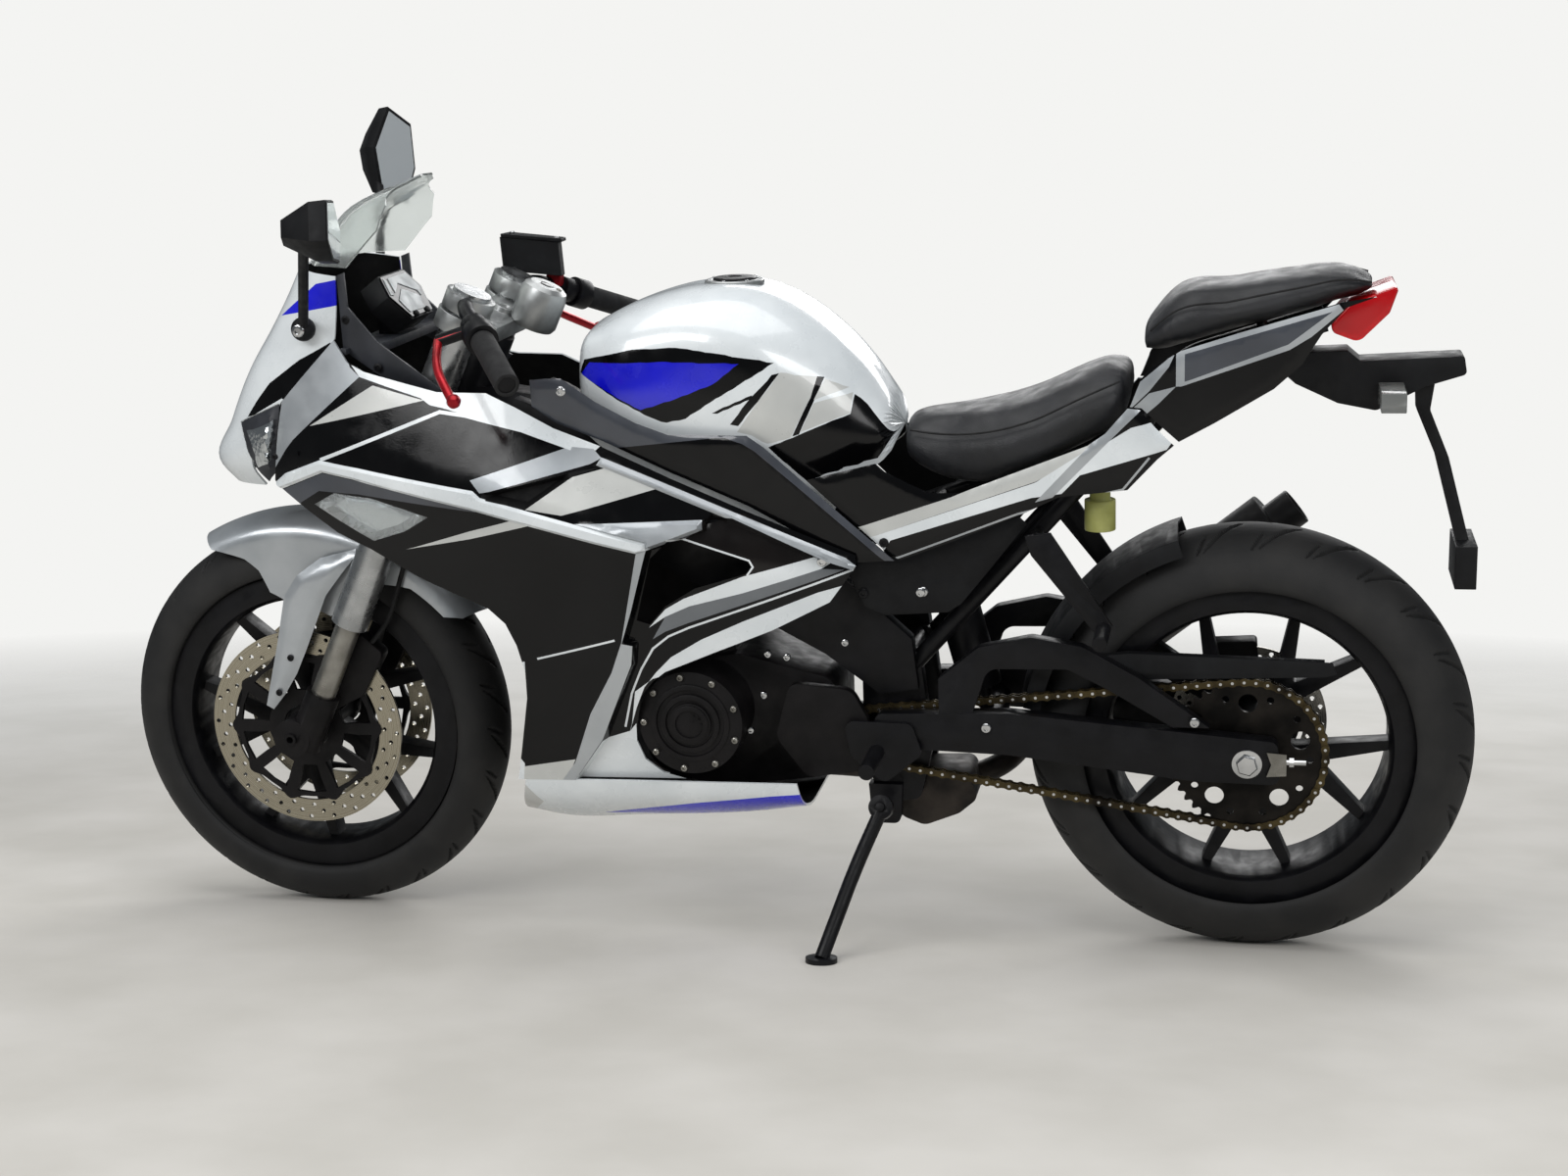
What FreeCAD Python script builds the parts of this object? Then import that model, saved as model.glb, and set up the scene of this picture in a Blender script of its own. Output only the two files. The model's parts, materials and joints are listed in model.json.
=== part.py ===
import FreeCAD, Part
import math
import os

# Full-fairing sport bike, millimetres. The bike is drawn upright: X points to the rear, Y to the
# rider's right, Z up, the ground at Z = 0 and X = 0 halfway between the axles. Each finished piece
# is then leaned to the left about the ground line, onto its side stand.

SIZES = [
    ("lean_angle", 10, "lean to the left on the side stand, degrees"),
    ("wheelbase", 1380, "from axle to axle"),
    ("front_tyre_height", 77, "front tyre's crown above the bead seat"),
    ("front_tyre_width", 112, "widest part of the front tyre"),
    ("front_rim_width", 88, "front rim over its flanges"),
    ("rear_tyre_height", 86, "rear tyre's crown above the bead seat"),
    ("rear_tyre_width", 148, "widest part of the rear tyre"),
    ("rear_rim_width", 118, "rear rim over its flanges"),
    ("rim_seat_radius", 219, "bead seat of both rims"),
    ("rim_ring_depth", 29, "rim ring below the bead seat"),
    ("rim_flange_height", 9, "rim flanges above the bead seat"),
    ("rim_flange_width", 6, "rim flanges across"),
    ("tyre_shoulder_share", 0.46, "depth of the crown arc as a share of the tyre's width"),
    ("tyre_crown_wall", 12, "rubber at the crown"),
    ("fit_gap", 0.3, "gap between pieces that seat on each other"),
    ("hub_radius", 34, "wheel hub"),
    ("spoke_width", 26, "spoke stem at the hub, across the wheel plane"),
    ("spoke_arm_width", 13, "each arm of a forked spoke at the rim"),
    ("spoke_depth", 30, "spoke along the axle"),
    ("axle_radius", 9, "wheel axles"),
    ("axle_bore_radius", 5, "hollow of both axles"),
    ("front_disc_radius", 149, "front brake disc"),
    ("rear_disc_radius", 110, "rear brake disc"),
    ("disc_thickness", 4.5, "brake discs"),
    ("front_disc_offset", 64, "front discs from the middle plane"),
    ("rear_disc_offset", 72, "rear disc from the middle plane"),
    ("rake_angle", 25, "steering axis from upright, degrees"),
    ("axle_offset", 39, "front axle ahead of the steering axis"),
    ("fork_offset", 24, "fork legs ahead of the steering axis"),
    ("fork_half_spacing", 100, "fork leg from the middle plane"),
    ("fork_tube_radius", 27, "upper fork tubes"),
    ("fork_rod_radius", 18.5, "chromed lower fork tubes"),
    ("fork_casting_radius", 25, "axle castings"),
    ("fork_casting_top", 78, "casting top, along the leg from the axle"),
    ("fork_tube_start", 197, "upper tube start, along the leg from the axle"),
    ("bar_clamp_room", 34, "fork tube above the upper yoke"),
    ("lower_yoke_height", 455, "lower yoke, along the leg from the axle"),
    ("upper_yoke_height", 668, "upper yoke, along the leg from the axle"),
    ("yoke_thickness", 26, "both yokes"),
    ("stem_radius", 15, "steering stem"),
    ("stem_bore_radius", 8, "hollow of the steering stem"),
    ("head_tube_radius", 29, "head tube"),
    ("moving_gap", 6, "gap between pieces that move past each other"),
    ("bar_radius", 11, "handlebars"),
    ("grip_radius", 16.5, "grips"),
    ("swingarm_pivot_x", 208, "swingarm pivot behind the middle"),
    ("swingarm_pivot_z", 336, "swingarm pivot above the ground"),
    ("swingarm_inner_half", 96, "swingarm arms, inner faces from the middle plane"),
    ("swingarm_arm_width", 28, "swingarm arms across"),
    ("chain_offset", 86, "chain from the middle plane"),
    ("chain_width", 9, "chain across"),
    ("chain_height", 13, "chain link height"),
    ("rear_sprocket_radius", 104, "pitch radius of the rear sprocket"),
    ("front_sprocket_radius", 34, "pitch radius of the front sprocket"),
    ("front_sprocket_x", 140, "front sprocket behind the middle"),
    ("front_sprocket_z", 318, "front sprocket above the ground"),
    ("sprocket_thickness", 6, "both sprockets"),
    ("panel_wall", 4, "body panels"),
    ("screen_wall", 3, "windscreen"),
    ("header_radius", 11, "exhaust header"),
    ("link_pipe_radius", 17, "pipe from the collector to the silencer"),
    ("hose_radius", 3.5, "front brake hose"),
    ("silencer_radius", 48, "silencer body"),
    ("stand_radius", 10, "side stand leg"),
    ("stand_pivot_radius", 6, "side stand pivot bolt"),
    ("frame_spar_half", 92, "outer faces of the frame spars from the middle plane"),
    ("pivot_plate_half", 78, "outer faces of the pivot plates from the middle plane"),
    ("frame_spar_width", 26, "frame spars and pivot plates across"),
    ("subframe_radius", 12, "subframe rails"),
    ("subframe_half", 79, "subframe rails from the middle plane"),
]

SIDES = (-1, 1)
SIDE_NAMES = ((-1, "Left"), (1, "Right"))

doc = FreeCAD.newDocument("SportBike")
sheet = doc.addObject("Spreadsheet::Sheet", "Sizes")
for row, (alias, value, meaning) in enumerate(SIZES, start=1):
    sheet.set(f"A{row}", alias)
    sheet.set(f"B{row}", str(value))
    sheet.setAlias(f"B{row}", alias)
    sheet.set(f"C{row}", meaning)
doc.recompute()


def size(alias):
    """Value of a named cell."""
    return float(sheet.get(alias))


def vec(x, y, z):
    return FreeCAD.Vector(x, y, z)


# Main places, worked out from the sheet. All outlines are drawn from the front axle, which keeps its
# place, so larger tyres lower the ground and a longer wheelbase moves the rear axle back.
RAKE = math.radians(size("rake_angle"))
FRONT_RADIUS = size("rim_seat_radius") + size("front_tyre_height")
REAR_RADIUS = size("rim_seat_radius") + size("rear_tyre_height")
FRONT_AXLE = vec(-690, 0, 296)
GROUND = FRONT_AXLE.z - FRONT_RADIUS
REAR_AXLE = vec(FRONT_AXLE.x + size("wheelbase"), 0, GROUND + REAR_RADIUS)
DRAWN_REAR_AXLE = vec(690, 0, 305)
DRAWN_HEAD = (487, 662)
DRAWN_FENDER_RADIUS = 310
STEER_UP = vec(math.sin(RAKE), 0, math.cos(RAKE))
STEER_BACK = vec(math.cos(RAKE), 0, -math.sin(RAKE))
STEER_FOOT = FRONT_AXLE + STEER_BACK * size("axle_offset")
FORK_FOOT = FRONT_AXLE + STEER_BACK * (size("axle_offset") - size("fork_offset"))
SWINGARM_PIVOT = vec(size("swingarm_pivot_x"), 0, size("swingarm_pivot_z"))
FRONT_SPROCKET = vec(size("front_sprocket_x"), 0, size("front_sprocket_z"))
SHOCK_TUBE = vec(255, 0, 628)
SWING_BRIDGE = vec(330, 0, 320)
RESERVOIR_TOP = 668

NODES = {}
BENDS = {}


def steer_point(along, back=0.0, across=0.0):
    """Point given along the steering axis, behind it and across the bike."""
    return STEER_FOOT + STEER_UP * along + STEER_BACK * back + vec(0, across, 0)


def fork_point(along, side=0, forward=0.0):
    """Point given along a fork leg from the axle, ahead of it and on one side."""
    across = side * size("fork_half_spacing")
    return FORK_FOOT + STEER_UP * along - STEER_BACK * forward + vec(0, across, 0)


def on_head(points):
    """Side-view points of the frame's head, carried along the steering axis with the yokes."""
    low, high = head_ends()
    carried = []
    for x, z, *corner in points:
        point = vec(x, 0, z)
        along = (point - STEER_FOOT).dot(STEER_UP)
        share = (along - DRAWN_HEAD[0]) / (DRAWN_HEAD[1] - DRAWN_HEAD[0])
        spot = point + STEER_UP * (low + share * (high - low) - along)
        carried.append((spot.x, spot.z, *corner))
    return carried


def head_ends():
    """Both ends of the head tube along the steering axis, clear of the yokes."""
    low = size("lower_yoke_height") + size("yoke_thickness") + size("moving_gap")
    return low, size("upper_yoke_height") - size("moving_gap")


def on_fender(points, crown):
    """Side-view points of the front fender, carried out from the axle with its hoop."""
    share = crown / DRAWN_FENDER_RADIUS
    return [(FRONT_AXLE.x + (x - FRONT_AXLE.x) * share, FRONT_AXLE.z + (z - FRONT_AXLE.z) * share, *corner)
            for x, z, *corner in points]


def on_arm(points, stretch=False):
    """Side-view points drawn beside the swingarm, carried along when the rear axle moves."""
    drawn, real = DRAWN_REAR_AXLE - SWINGARM_PIVOT, REAR_AXLE - SWINGARM_PIVOT
    along, real_along = vec(drawn.x, 0, drawn.z), vec(real.x, 0, real.z)
    along.normalize()
    real_along.normalize()
    carried = []
    for x, z, *corner in points:
        point = vec(x, 0, z) - SWINGARM_PIVOT
        reach = point.dot(along)
        rise = point.dot(vec(-along.z, 0, along.x))
        reach = reach * real.Length / drawn.Length if stretch else reach + real.Length - drawn.Length
        spot = SWINGARM_PIVOT + real_along * reach + vec(-real_along.z, 0, real_along.x) * rise
        carried.append((spot.x, spot.z, *corner))
    return carried


def pointing(start, direction):
    """Placement at a point with its own Z axis along a direction."""
    return FreeCAD.Placement(start, FreeCAD.Rotation(vec(0, 0, 1), direction))


def bar(name, radius, start, end):
    """Round bar between two points, its radius bound to the sheet."""
    piece = doc.addObject("Part::Cylinder", name)
    piece.setExpression("Radius", radius)
    piece.Height = (end - start).Length
    piece.Placement = pointing(start, end - start)
    return piece


def ball(name, radius, centre):
    piece = doc.addObject("Part::Sphere", name)
    piece.setExpression("Radius", radius)
    piece.Placement = FreeCAD.Placement(centre, FreeCAD.Rotation())
    return piece


def cross_bar(name, radius, centre, from_y, to_y):
    """Round bar across the bike."""
    start = vec(centre.x, from_y, centre.z)
    return bar(name, radius, start, vec(centre.x, to_y, centre.z))


def block(name, low, high):
    piece = doc.addObject("Part::Box", name)
    piece.Length = high.x - low.x
    piece.Width = high.y - low.y
    piece.Height = high.z - low.z
    piece.Placement = FreeCAD.Placement(low, FreeCAD.Rotation())
    return piece


def fuse(name, pieces):
    union = doc.addObject("Part::MultiFuse", name)
    union.Shapes = pieces
    return union


def cut(name, base, tool):
    result = doc.addObject("Part::Cut", name)
    result.Base = base
    result.Tool = tool
    return result


def gather(name, pieces):
    """Separate solids that share a node."""
    group = doc.addObject("Part::Compound", name)
    group.Links = pieces
    return group


def feature(name, shape):
    piece = doc.addObject("Part::Feature", name)
    piece.Shape = shape
    return piece


def node(label, piece):
    """Enter a finished piece under its file name."""
    piece.Label = label
    NODES[label] = piece
    return piece


def corner_edges(points):
    """Closed outline of lines; a third column rounds that corner by its radius with an arc."""
    count = len(points)
    edges = []
    joints = []
    for index, row in enumerate(points):
        here = vec(row[0], row[1], 0)
        radius = row[2] if len(row) > 2 else 0
        before = vec(points[index - 1][0], points[index - 1][1], 0)
        after = vec(points[(index + 1) % count][0], points[(index + 1) % count][1], 0)
        back, ahead = before - here, after - here
        if radius <= 0:
            joints.append((here, None, here))
            continue
        half = back.getAngle(ahead) / 2
        reach = min(radius / math.tan(half), 0.45 * back.Length, 0.45 * ahead.Length)
        true_radius = reach * math.tan(half)
        back.normalize()
        ahead.normalize()
        middle = back + ahead
        middle.normalize()
        centre = here + middle * (true_radius / math.sin(half))
        joints.append((here + back * reach, centre - middle * true_radius, here + ahead * reach))
    for index, (start, crown, end) in enumerate(joints):
        if crown is not None:
            edges.append(Part.Arc(start, crown, end))
        following = joints[(index + 1) % count][0]
        edges.append(Part.LineSegment(end, following))
    return edges


def plate(name, points, thickness, outer_y):
    """Plate cut to an outline in the side view; outer_y is signed by side and marks the outer face."""
    body = doc.addObject("PartDesign::Body", name)
    plane = next(part for part in body.Origin.OriginFeatures if part.Role == "XZ_Plane")
    sketch = body.newObject("Sketcher::SketchObject", name + "Outline")
    sketch.AttachmentSupport = [(plane, "")]
    sketch.MapMode = "FlatFace"
    sketch.addGeometry(corner_edges(points), False)
    pad = body.newObject("PartDesign::Pad", name + "Pad")
    pad.Profile = sketch
    pad.setExpression("Length", thickness)
    value = float(sheet.evalExpression(thickness.replace("Sizes.", "")))
    top = outer_y + value if outer_y < 0 else outer_y
    body.Placement = FreeCAD.Placement(vec(0, top, 0), FreeCAD.Rotation())
    return body


def prism(points, low_y, high_y, shrink=0.0):
    """Solid with a side-view outline, drawn in by shrink, from one Y to another."""
    edges = [curve.toShape() for curve in corner_edges(points)]
    face = Part.Face(Part.Wire(edges))
    if shrink:
        face = face.makeOffset2D(-shrink)
    face.rotate(vec(0, 0, 0), vec(1, 0, 0), 90)
    face.translate(vec(0, low_y, 0))
    return face.extrude(vec(0, high_y - low_y, 0))


def loft(sections, ruled=True):
    """Solid between closed sections of straight lines with equal numbers of points."""
    wires = [Part.makePolygon(list(section) + [section[0]]) for section in sections]
    return Part.makeLoft(wires, True, ruled)


def pipe(name, points, radius, bend_share=0.45):
    """Round tube along straight runs joined by tangent arcs; its bend radii are kept in BENDS."""
    edges = []
    BENDS[name] = []
    start = points[0]
    for index in range(1, len(points) - 1):
        here = points[index]
        back, ahead = points[index - 1] - here, points[index + 1] - here
        reach = bend_share * min(back.Length, ahead.Length)
        half = back.getAngle(ahead) / 2
        back.normalize()
        ahead.normalize()
        middle = back + ahead
        middle.normalize()
        rounded = reach * math.tan(half)
        BENDS[name].append(round(rounded, 1))
        centre = here + middle * (rounded / math.sin(half))
        edges.append(Part.LineSegment(start, here + back * reach).toShape())
        edges.append(Part.Arc(here + back * reach, centre - middle * rounded,
                              here + ahead * reach).toShape())
        start = here + ahead * reach
    edges.append(Part.LineSegment(start, points[-1]).toShape())
    path = Part.Wire(edges)
    ring = Part.Wire([Part.makeCircle(radius, points[0], points[1] - points[0])])
    return feature(name, path.makePipeShell([ring], True, False))


def wheel_sketch(body, name, geometry):
    plane = next(part for part in body.Origin.OriginFeatures if part.Role == "XZ_Plane")
    sketch = body.newObject("Sketcher::SketchObject", name)
    sketch.AttachmentSupport = [(plane, "")]
    sketch.MapMode = "FlatFace"
    sketch.addGeometry(geometry, False)
    return sketch


def on_axle(piece, axle):
    """Turn a piece drawn about Z so that it runs about the axle."""
    piece.Placement = FreeCAD.Placement(axle, FreeCAD.Rotation(vec(1, 0, 0), -90))
    return piece


# Thickness of a tyre's side wall, and of its foot where the bead wire lies.
SIDE_WALL = 8
BEAD_WALL = 9


def tyre(label, radius, width, rim_width, axle):
    """Tyre: round crown, leaning walls and an air space, revolved about the axle."""
    half = width / 2
    bead = size("rim_seat_radius") + size("fit_gap")
    over_flange = size("rim_seat_radius") + size("rim_flange_height") + 1.5
    wall = size("tyre_crown_wall")
    shoulder = radius - size("tyre_shoulder_share") * width
    foot_half = rim_width / 2 - size("rim_flange_width") - 1
    body = doc.addObject("PartDesign::Body", label)
    outer = [vec(bead, -foot_half, 0), vec(over_flange, -foot_half, 0), vec(shoulder, -half, 0),
             vec(radius, 0, 0), vec(shoulder, half, 0), vec(over_flange, foot_half, 0),
             vec(bead, foot_half, 0)]
    inner = [vec(bead, foot_half - BEAD_WALL, 0), vec(over_flange, foot_half - SIDE_WALL, 0),
             vec(shoulder, half - SIDE_WALL, 0), vec(radius - wall, 0, 0),
             vec(shoulder, SIDE_WALL - half, 0), vec(over_flange, SIDE_WALL - foot_half, 0),
             vec(bead, BEAD_WALL - foot_half, 0)]
    geometry = []
    for line in (outer, inner):
        geometry.extend([Part.LineSegment(line[0], line[1]), Part.LineSegment(line[1], line[2]),
                         Part.Arc(line[2], line[3], line[4]), Part.LineSegment(line[4], line[5]),
                         Part.LineSegment(line[5], line[6])])
    geometry.append(Part.LineSegment(outer[6], inner[0]))
    geometry.append(Part.LineSegment(inner[6], outer[0]))
    sketch = wheel_sketch(body, label + "Section", geometry)
    turn = body.newObject("PartDesign::Revolution", label + "Turn")
    turn.Profile = sketch
    turn.ReferenceAxis = (sketch, ["V_Axis"])
    turn.Angle = 360
    on_axle(body, axle)
    return node(label, body)


def rim(label, width, hub_low, hub_high, first_angle, axle):
    """Cast rim with a hub and five forked spokes."""
    seat = size("rim_seat_radius")
    well = seat - size("rim_ring_depth")
    half = width / 2
    ring = doc.addObject("PartDesign::Body", label + "Ring")
    top, flange = seat + size("rim_flange_height"), size("rim_flange_width")
    profile = [(well, -half + 10), (well + 6, -half), (top, -half), (top, flange - half),
               (seat, flange - half), (seat, 18 - half), (seat - 14, 26 - half), (seat - 14, half - 26),
               (seat, half - 18), (seat, half - flange), (top, half - flange), (top, half),
               (well + 6, half), (well, half - 10)]
    corners = [vec(r, a, 0) for r, a in profile]
    lines = [Part.LineSegment(corners[i - 1], corners[i]) for i in range(len(corners))]
    sketch = wheel_sketch(ring, label + "Section", lines)
    turn = ring.newObject("PartDesign::Revolution", label + "Turn")
    turn.Profile = sketch
    turn.ReferenceAxis = (sketch, ["V_Axis"])
    turn.Angle = 360
    on_axle(ring, axle)
    pieces = [ring, cross_bar(label + "Hub", "Sizes.hub_radius", axle, hub_low, hub_high)]
    depth = size("spoke_depth") / 2
    stem, arm = size("spoke_width") / 2, size("spoke_arm_width") / 2
    out = well + 8
    away = out * math.tan(math.radians(17.5))
    # Half of a forked spoke; columns: distance from the axle, distance from its middle, corner radius.
    half_fork = [(20, stem, 0), (62, stem - 2, 30), (out, away + arm, 0), (out, away - arm, 0), (104, 2.5, 6)]
    fork_rows = half_fork + [(r, -t, corner) for r, t, corner in reversed(half_fork)]
    for number in range(5):
        turned = math.radians(first_angle + 72 * number)
        ahead = vec(math.cos(turned), 0, math.sin(turned))
        aside = vec(-math.sin(turned), 0, math.cos(turned))
        outline = []
        for r, t, corner in fork_rows:
            spot = axle + ahead * r + aside * t
            outline.append((spot.x, spot.z, corner))
        pieces.append(plate(f"{label}Spoke{number}", outline, "Sizes.spoke_depth", -depth))
    whole = fuse(label + "Cast", pieces)
    bore = cross_bar(label + "Bore", "Sizes.axle_radius + Sizes.fit_gap", axle, -width, width)
    return node(label, cut(label, whole, bore))


def disc(label, radius, inner, offset, axle):
    """Brake disc: a ring on five arms round a centre that seats on the hub's end."""
    thick = size("disc_thickness")
    low, high = offset - thick / 2, offset + thick / 2
    blank = cross_bar(label + "Blank", radius, axle, low, high)
    hole = cross_bar(label + "Hole", inner, axle, low - thick, high + thick)
    pieces = [cut(label + "Ring", blank, hole)]
    pieces.append(cross_bar(label + "Centre", "Sizes.hub_radius + 14", axle, low, high))
    reach = float(sheet.evalExpression(inner.replace("Sizes.", ""))) + 6
    for number in range(5):
        arm = doc.addObject("Part::Box", f"{label}Arm{number}")
        arm.Length = reach
        arm.Width = thick
        arm.Height = 16
        turned = FreeCAD.Rotation(vec(0, -1, 0), 72 * number + 18)
        shift = turned.multVec(vec(0, 0, -8))
        arm.Placement = FreeCAD.Placement(vec(axle.x, low, axle.z) + shift, turned)
        pieces.append(arm)
    whole = fuse(label + "Body", pieces)
    bore = cross_bar(label + "Bore", "Sizes.axle_radius + 3", axle, low - 5, high + 5)
    return cut(label, whole, bore)


def wheels():
    front_half = size("front_disc_offset") - size("disc_thickness") / 2
    rear_left = size("chain_offset") - size("sprocket_thickness") / 2
    rear_right = size("rear_disc_offset") - size("disc_thickness") / 2
    tyre("front_tyre", FRONT_RADIUS, size("front_tyre_width"), size("front_rim_width"), FRONT_AXLE)
    tyre("rear_tyre", REAR_RADIUS, size("rear_tyre_width"), size("rear_rim_width"), REAR_AXLE)
    rim("front_rim", size("front_rim_width"), -front_half, front_half, -33, FRONT_AXLE)
    rim("rear_rim", size("rear_rim_width"), -rear_left, rear_right, -90, REAR_AXLE)
    front_discs = [disc("FrontDisc" + tag, "Sizes.front_disc_radius", "Sizes.front_disc_radius - 34",
                        side * size("front_disc_offset"), FRONT_AXLE) for side, tag in SIDE_NAMES]
    node("front_disc", gather("front_disc", front_discs))
    node("rear_disc", disc("rear_disc", "Sizes.rear_disc_radius", "Sizes.rear_disc_radius - 32",
                           size("rear_disc_offset"), REAR_AXLE))
    low = -size("chain_offset") - size("sprocket_thickness") / 2
    high = low + size("sprocket_thickness")
    blank = cross_bar("SprocketBlank", "Sizes.rear_sprocket_radius - Sizes.chain_height / 2 - 1.2",
                      REAR_AXLE, low, high)
    holes = []
    for number in range(5):
        angle = math.radians(72 * number)
        centre = REAR_AXLE + vec(math.cos(angle), 0, math.sin(angle)) * 70
        holes.append(cross_bar(f"SprocketHole{number}", "18", centre, low - 5, high + 5))
    holes.append(cross_bar("SprocketBore", "Sizes.axle_radius + 3", REAR_AXLE, low - 5, high + 5))
    node("rear_sprocket", cut("rear_sprocket", blank, fuse("SprocketHoles", holes)))


def fork_tube_end():
    """Top of the fork tubes, along the leg from the axle."""
    return size("upper_yoke_height") + size("yoke_thickness") + size("bar_clamp_room")


def fork():
    """Legs, castings and axle, and the two yokes."""
    tube_from, tube_to = size("fork_tube_start"), fork_tube_end()
    rod_from = size("fork_casting_top")
    tubes, rods, castings = [], [], []
    for side, tag in SIDE_NAMES:
        tubes.append(bar("ForkTube" + tag, "Sizes.fork_tube_radius",
                         fork_point(tube_from, side), fork_point(tube_to, side)))
        rods.append(bar("ForkRod" + tag, "Sizes.fork_rod_radius",
                        fork_point(rod_from, side), fork_point(tube_from, side)))
        leg = bar("Casting" + tag, "Sizes.fork_casting_radius",
                  fork_point(-12, side), fork_point(rod_from, side))
        half = size("fork_half_spacing")
        boss = cross_bar("AxleBoss" + tag, "Sizes.fork_casting_radius + 3", FRONT_AXLE,
                         side * (half - 24), side * (half + 24))
        castings.append(fuse("CastingWhole" + tag, [leg, boss]))
    node("fork_tubes", gather("fork_tubes", tubes))
    node("fork_rods", gather("fork_rods", rods))
    ends = size("fork_half_spacing") + 30
    axle = cross_bar("FrontAxleBar", "Sizes.axle_radius", FRONT_AXLE, -ends, ends)
    bore = cross_bar("FrontAxleBore", "Sizes.axle_bore_radius", FRONT_AXLE, -ends - 1, ends + 1)
    whole = fuse("CastingsOnAxle", castings + [axle])
    node("axle_castings", cut("axle_castings", whole, bore))

    yokes = []
    thick = size("yoke_thickness")
    for name, along in (("Lower", size("lower_yoke_height")), ("Upper", size("upper_yoke_height"))):
        clamps = []
        for side, tag in SIDE_NAMES:
            clamps.append(bar("Clamp" + name + tag, "Sizes.fork_tube_radius + 10",
                              fork_point(along, side), fork_point(along + thick, side)))
        bridge = doc.addObject("Part::Box", "Bridge" + name)
        bridge.Length = 62
        bridge.setExpression("Width", "Sizes.fork_half_spacing * 2")
        bridge.setExpression("Height", "Sizes.yoke_thickness")
        corner = fork_point(along, -1, 12)
        bridge.Placement = FreeCAD.Placement(corner, FreeCAD.Rotation(vec(0, 1, 0), size("rake_angle")))
        yokes.extend(clamps + [bridge])
    low, high = size("lower_yoke_height"), size("upper_yoke_height") + size("yoke_thickness")
    stem = bar("Stem", "Sizes.stem_radius", steer_point(low - 4), steer_point(high + 8))
    whole = fuse("YokesWhole", yokes + [stem])
    tools = [bar("StemBore", "Sizes.stem_bore_radius", steer_point(low - 6), steer_point(high + 10))]
    for side, tag in SIDE_NAMES:
        tools.append(bar("YokeBore" + tag, "Sizes.fork_tube_radius + Sizes.fit_gap",
                         fork_point(low - 20, side), fork_point(high + 20, side)))
    node("triple_clamps", cut("triple_clamps", whole, fuse("YokeBores", tools)))


def handlebars():
    """Clip-on bars above the upper yoke, their grips, levers and switches."""
    clamp_from = size("upper_yoke_height") + size("yoke_thickness") + 4
    clamp_to = fork_tube_end() - 6
    bore = "Sizes.bar_radius + Sizes.fit_gap"
    bars, grips, controls = [], [], []
    for side, tag in SIDE_NAMES:
        clamp = bar("BarClamp" + tag, "Sizes.fork_tube_radius + 8",
                    fork_point(clamp_from, side), fork_point(clamp_to, side))
        hole = bar("BarClampHole" + tag, "Sizes.fork_tube_radius + Sizes.fit_gap",
                   fork_point(clamp_from - 5, side), fork_point(clamp_to + 5, side))
        root = fork_point((clamp_from + clamp_to) / 2, side) + vec(6, side * 31, 0)
        elbow = root + vec(14, side * 36, -4)
        end = root + vec(124.3, side * 209, -75.1)
        run = end - elbow
        length = run.Length
        run.normalize()
        tube = pipe("BarTube" + tag, [root, elbow, end], size("bar_radius"))
        bars.append(fuse("Bar" + tag, [cut("BarRing" + tag, clamp, hole), tube]))

        def sleeve(name, radius, start, stop):
            """Ring on the straight of the bar, from one distance past the elbow to another."""
            whole = bar(name + tag, radius, elbow + run * start, elbow + run * stop)
            inside = bar(name + "Bore" + tag, bore, elbow + run * (start - 3), elbow + run * (stop + 3))
            return whole, inside
        grip, grip_bore = sleeve("Grip", "Sizes.grip_radius", length - 128, length + 1.5)
        grips.append(cut("GripSleeve" + tag, grip, grip_bore))
        pod, pod_bore = sleeve("Switch", "Sizes.grip_radius + 6", length - 154, length - 129)
        controls.append(cut("SwitchPod" + tag, pod, pod_bore))
        perch, perch_bore = sleeve("Perch", "Sizes.bar_radius + 7", length - 178, length - 156)
        perch_at = elbow + run * (length - 167)
        pivot = perch_at + vec(-52, side * 6, -16)
        arm = bar("PerchArm" + tag, "9", perch_at, pivot)
        tip = root + vec(48.3, side * 205, -99.1)
        lever = pipe("Lever" + tag, [pivot, pivot + (tip - pivot) * 0.45 + vec(-10, side * 6, 0), tip], 6)
        whole = fuse("PerchWhole" + tag, [perch, arm, lever])
        controls.append(cut("PerchCut" + tag, whole, perch_bore))
    node("handlebars", gather("handlebars", bars))
    node("grips", gather("grips", grips))
    node("controls", gather("controls", controls))


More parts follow.
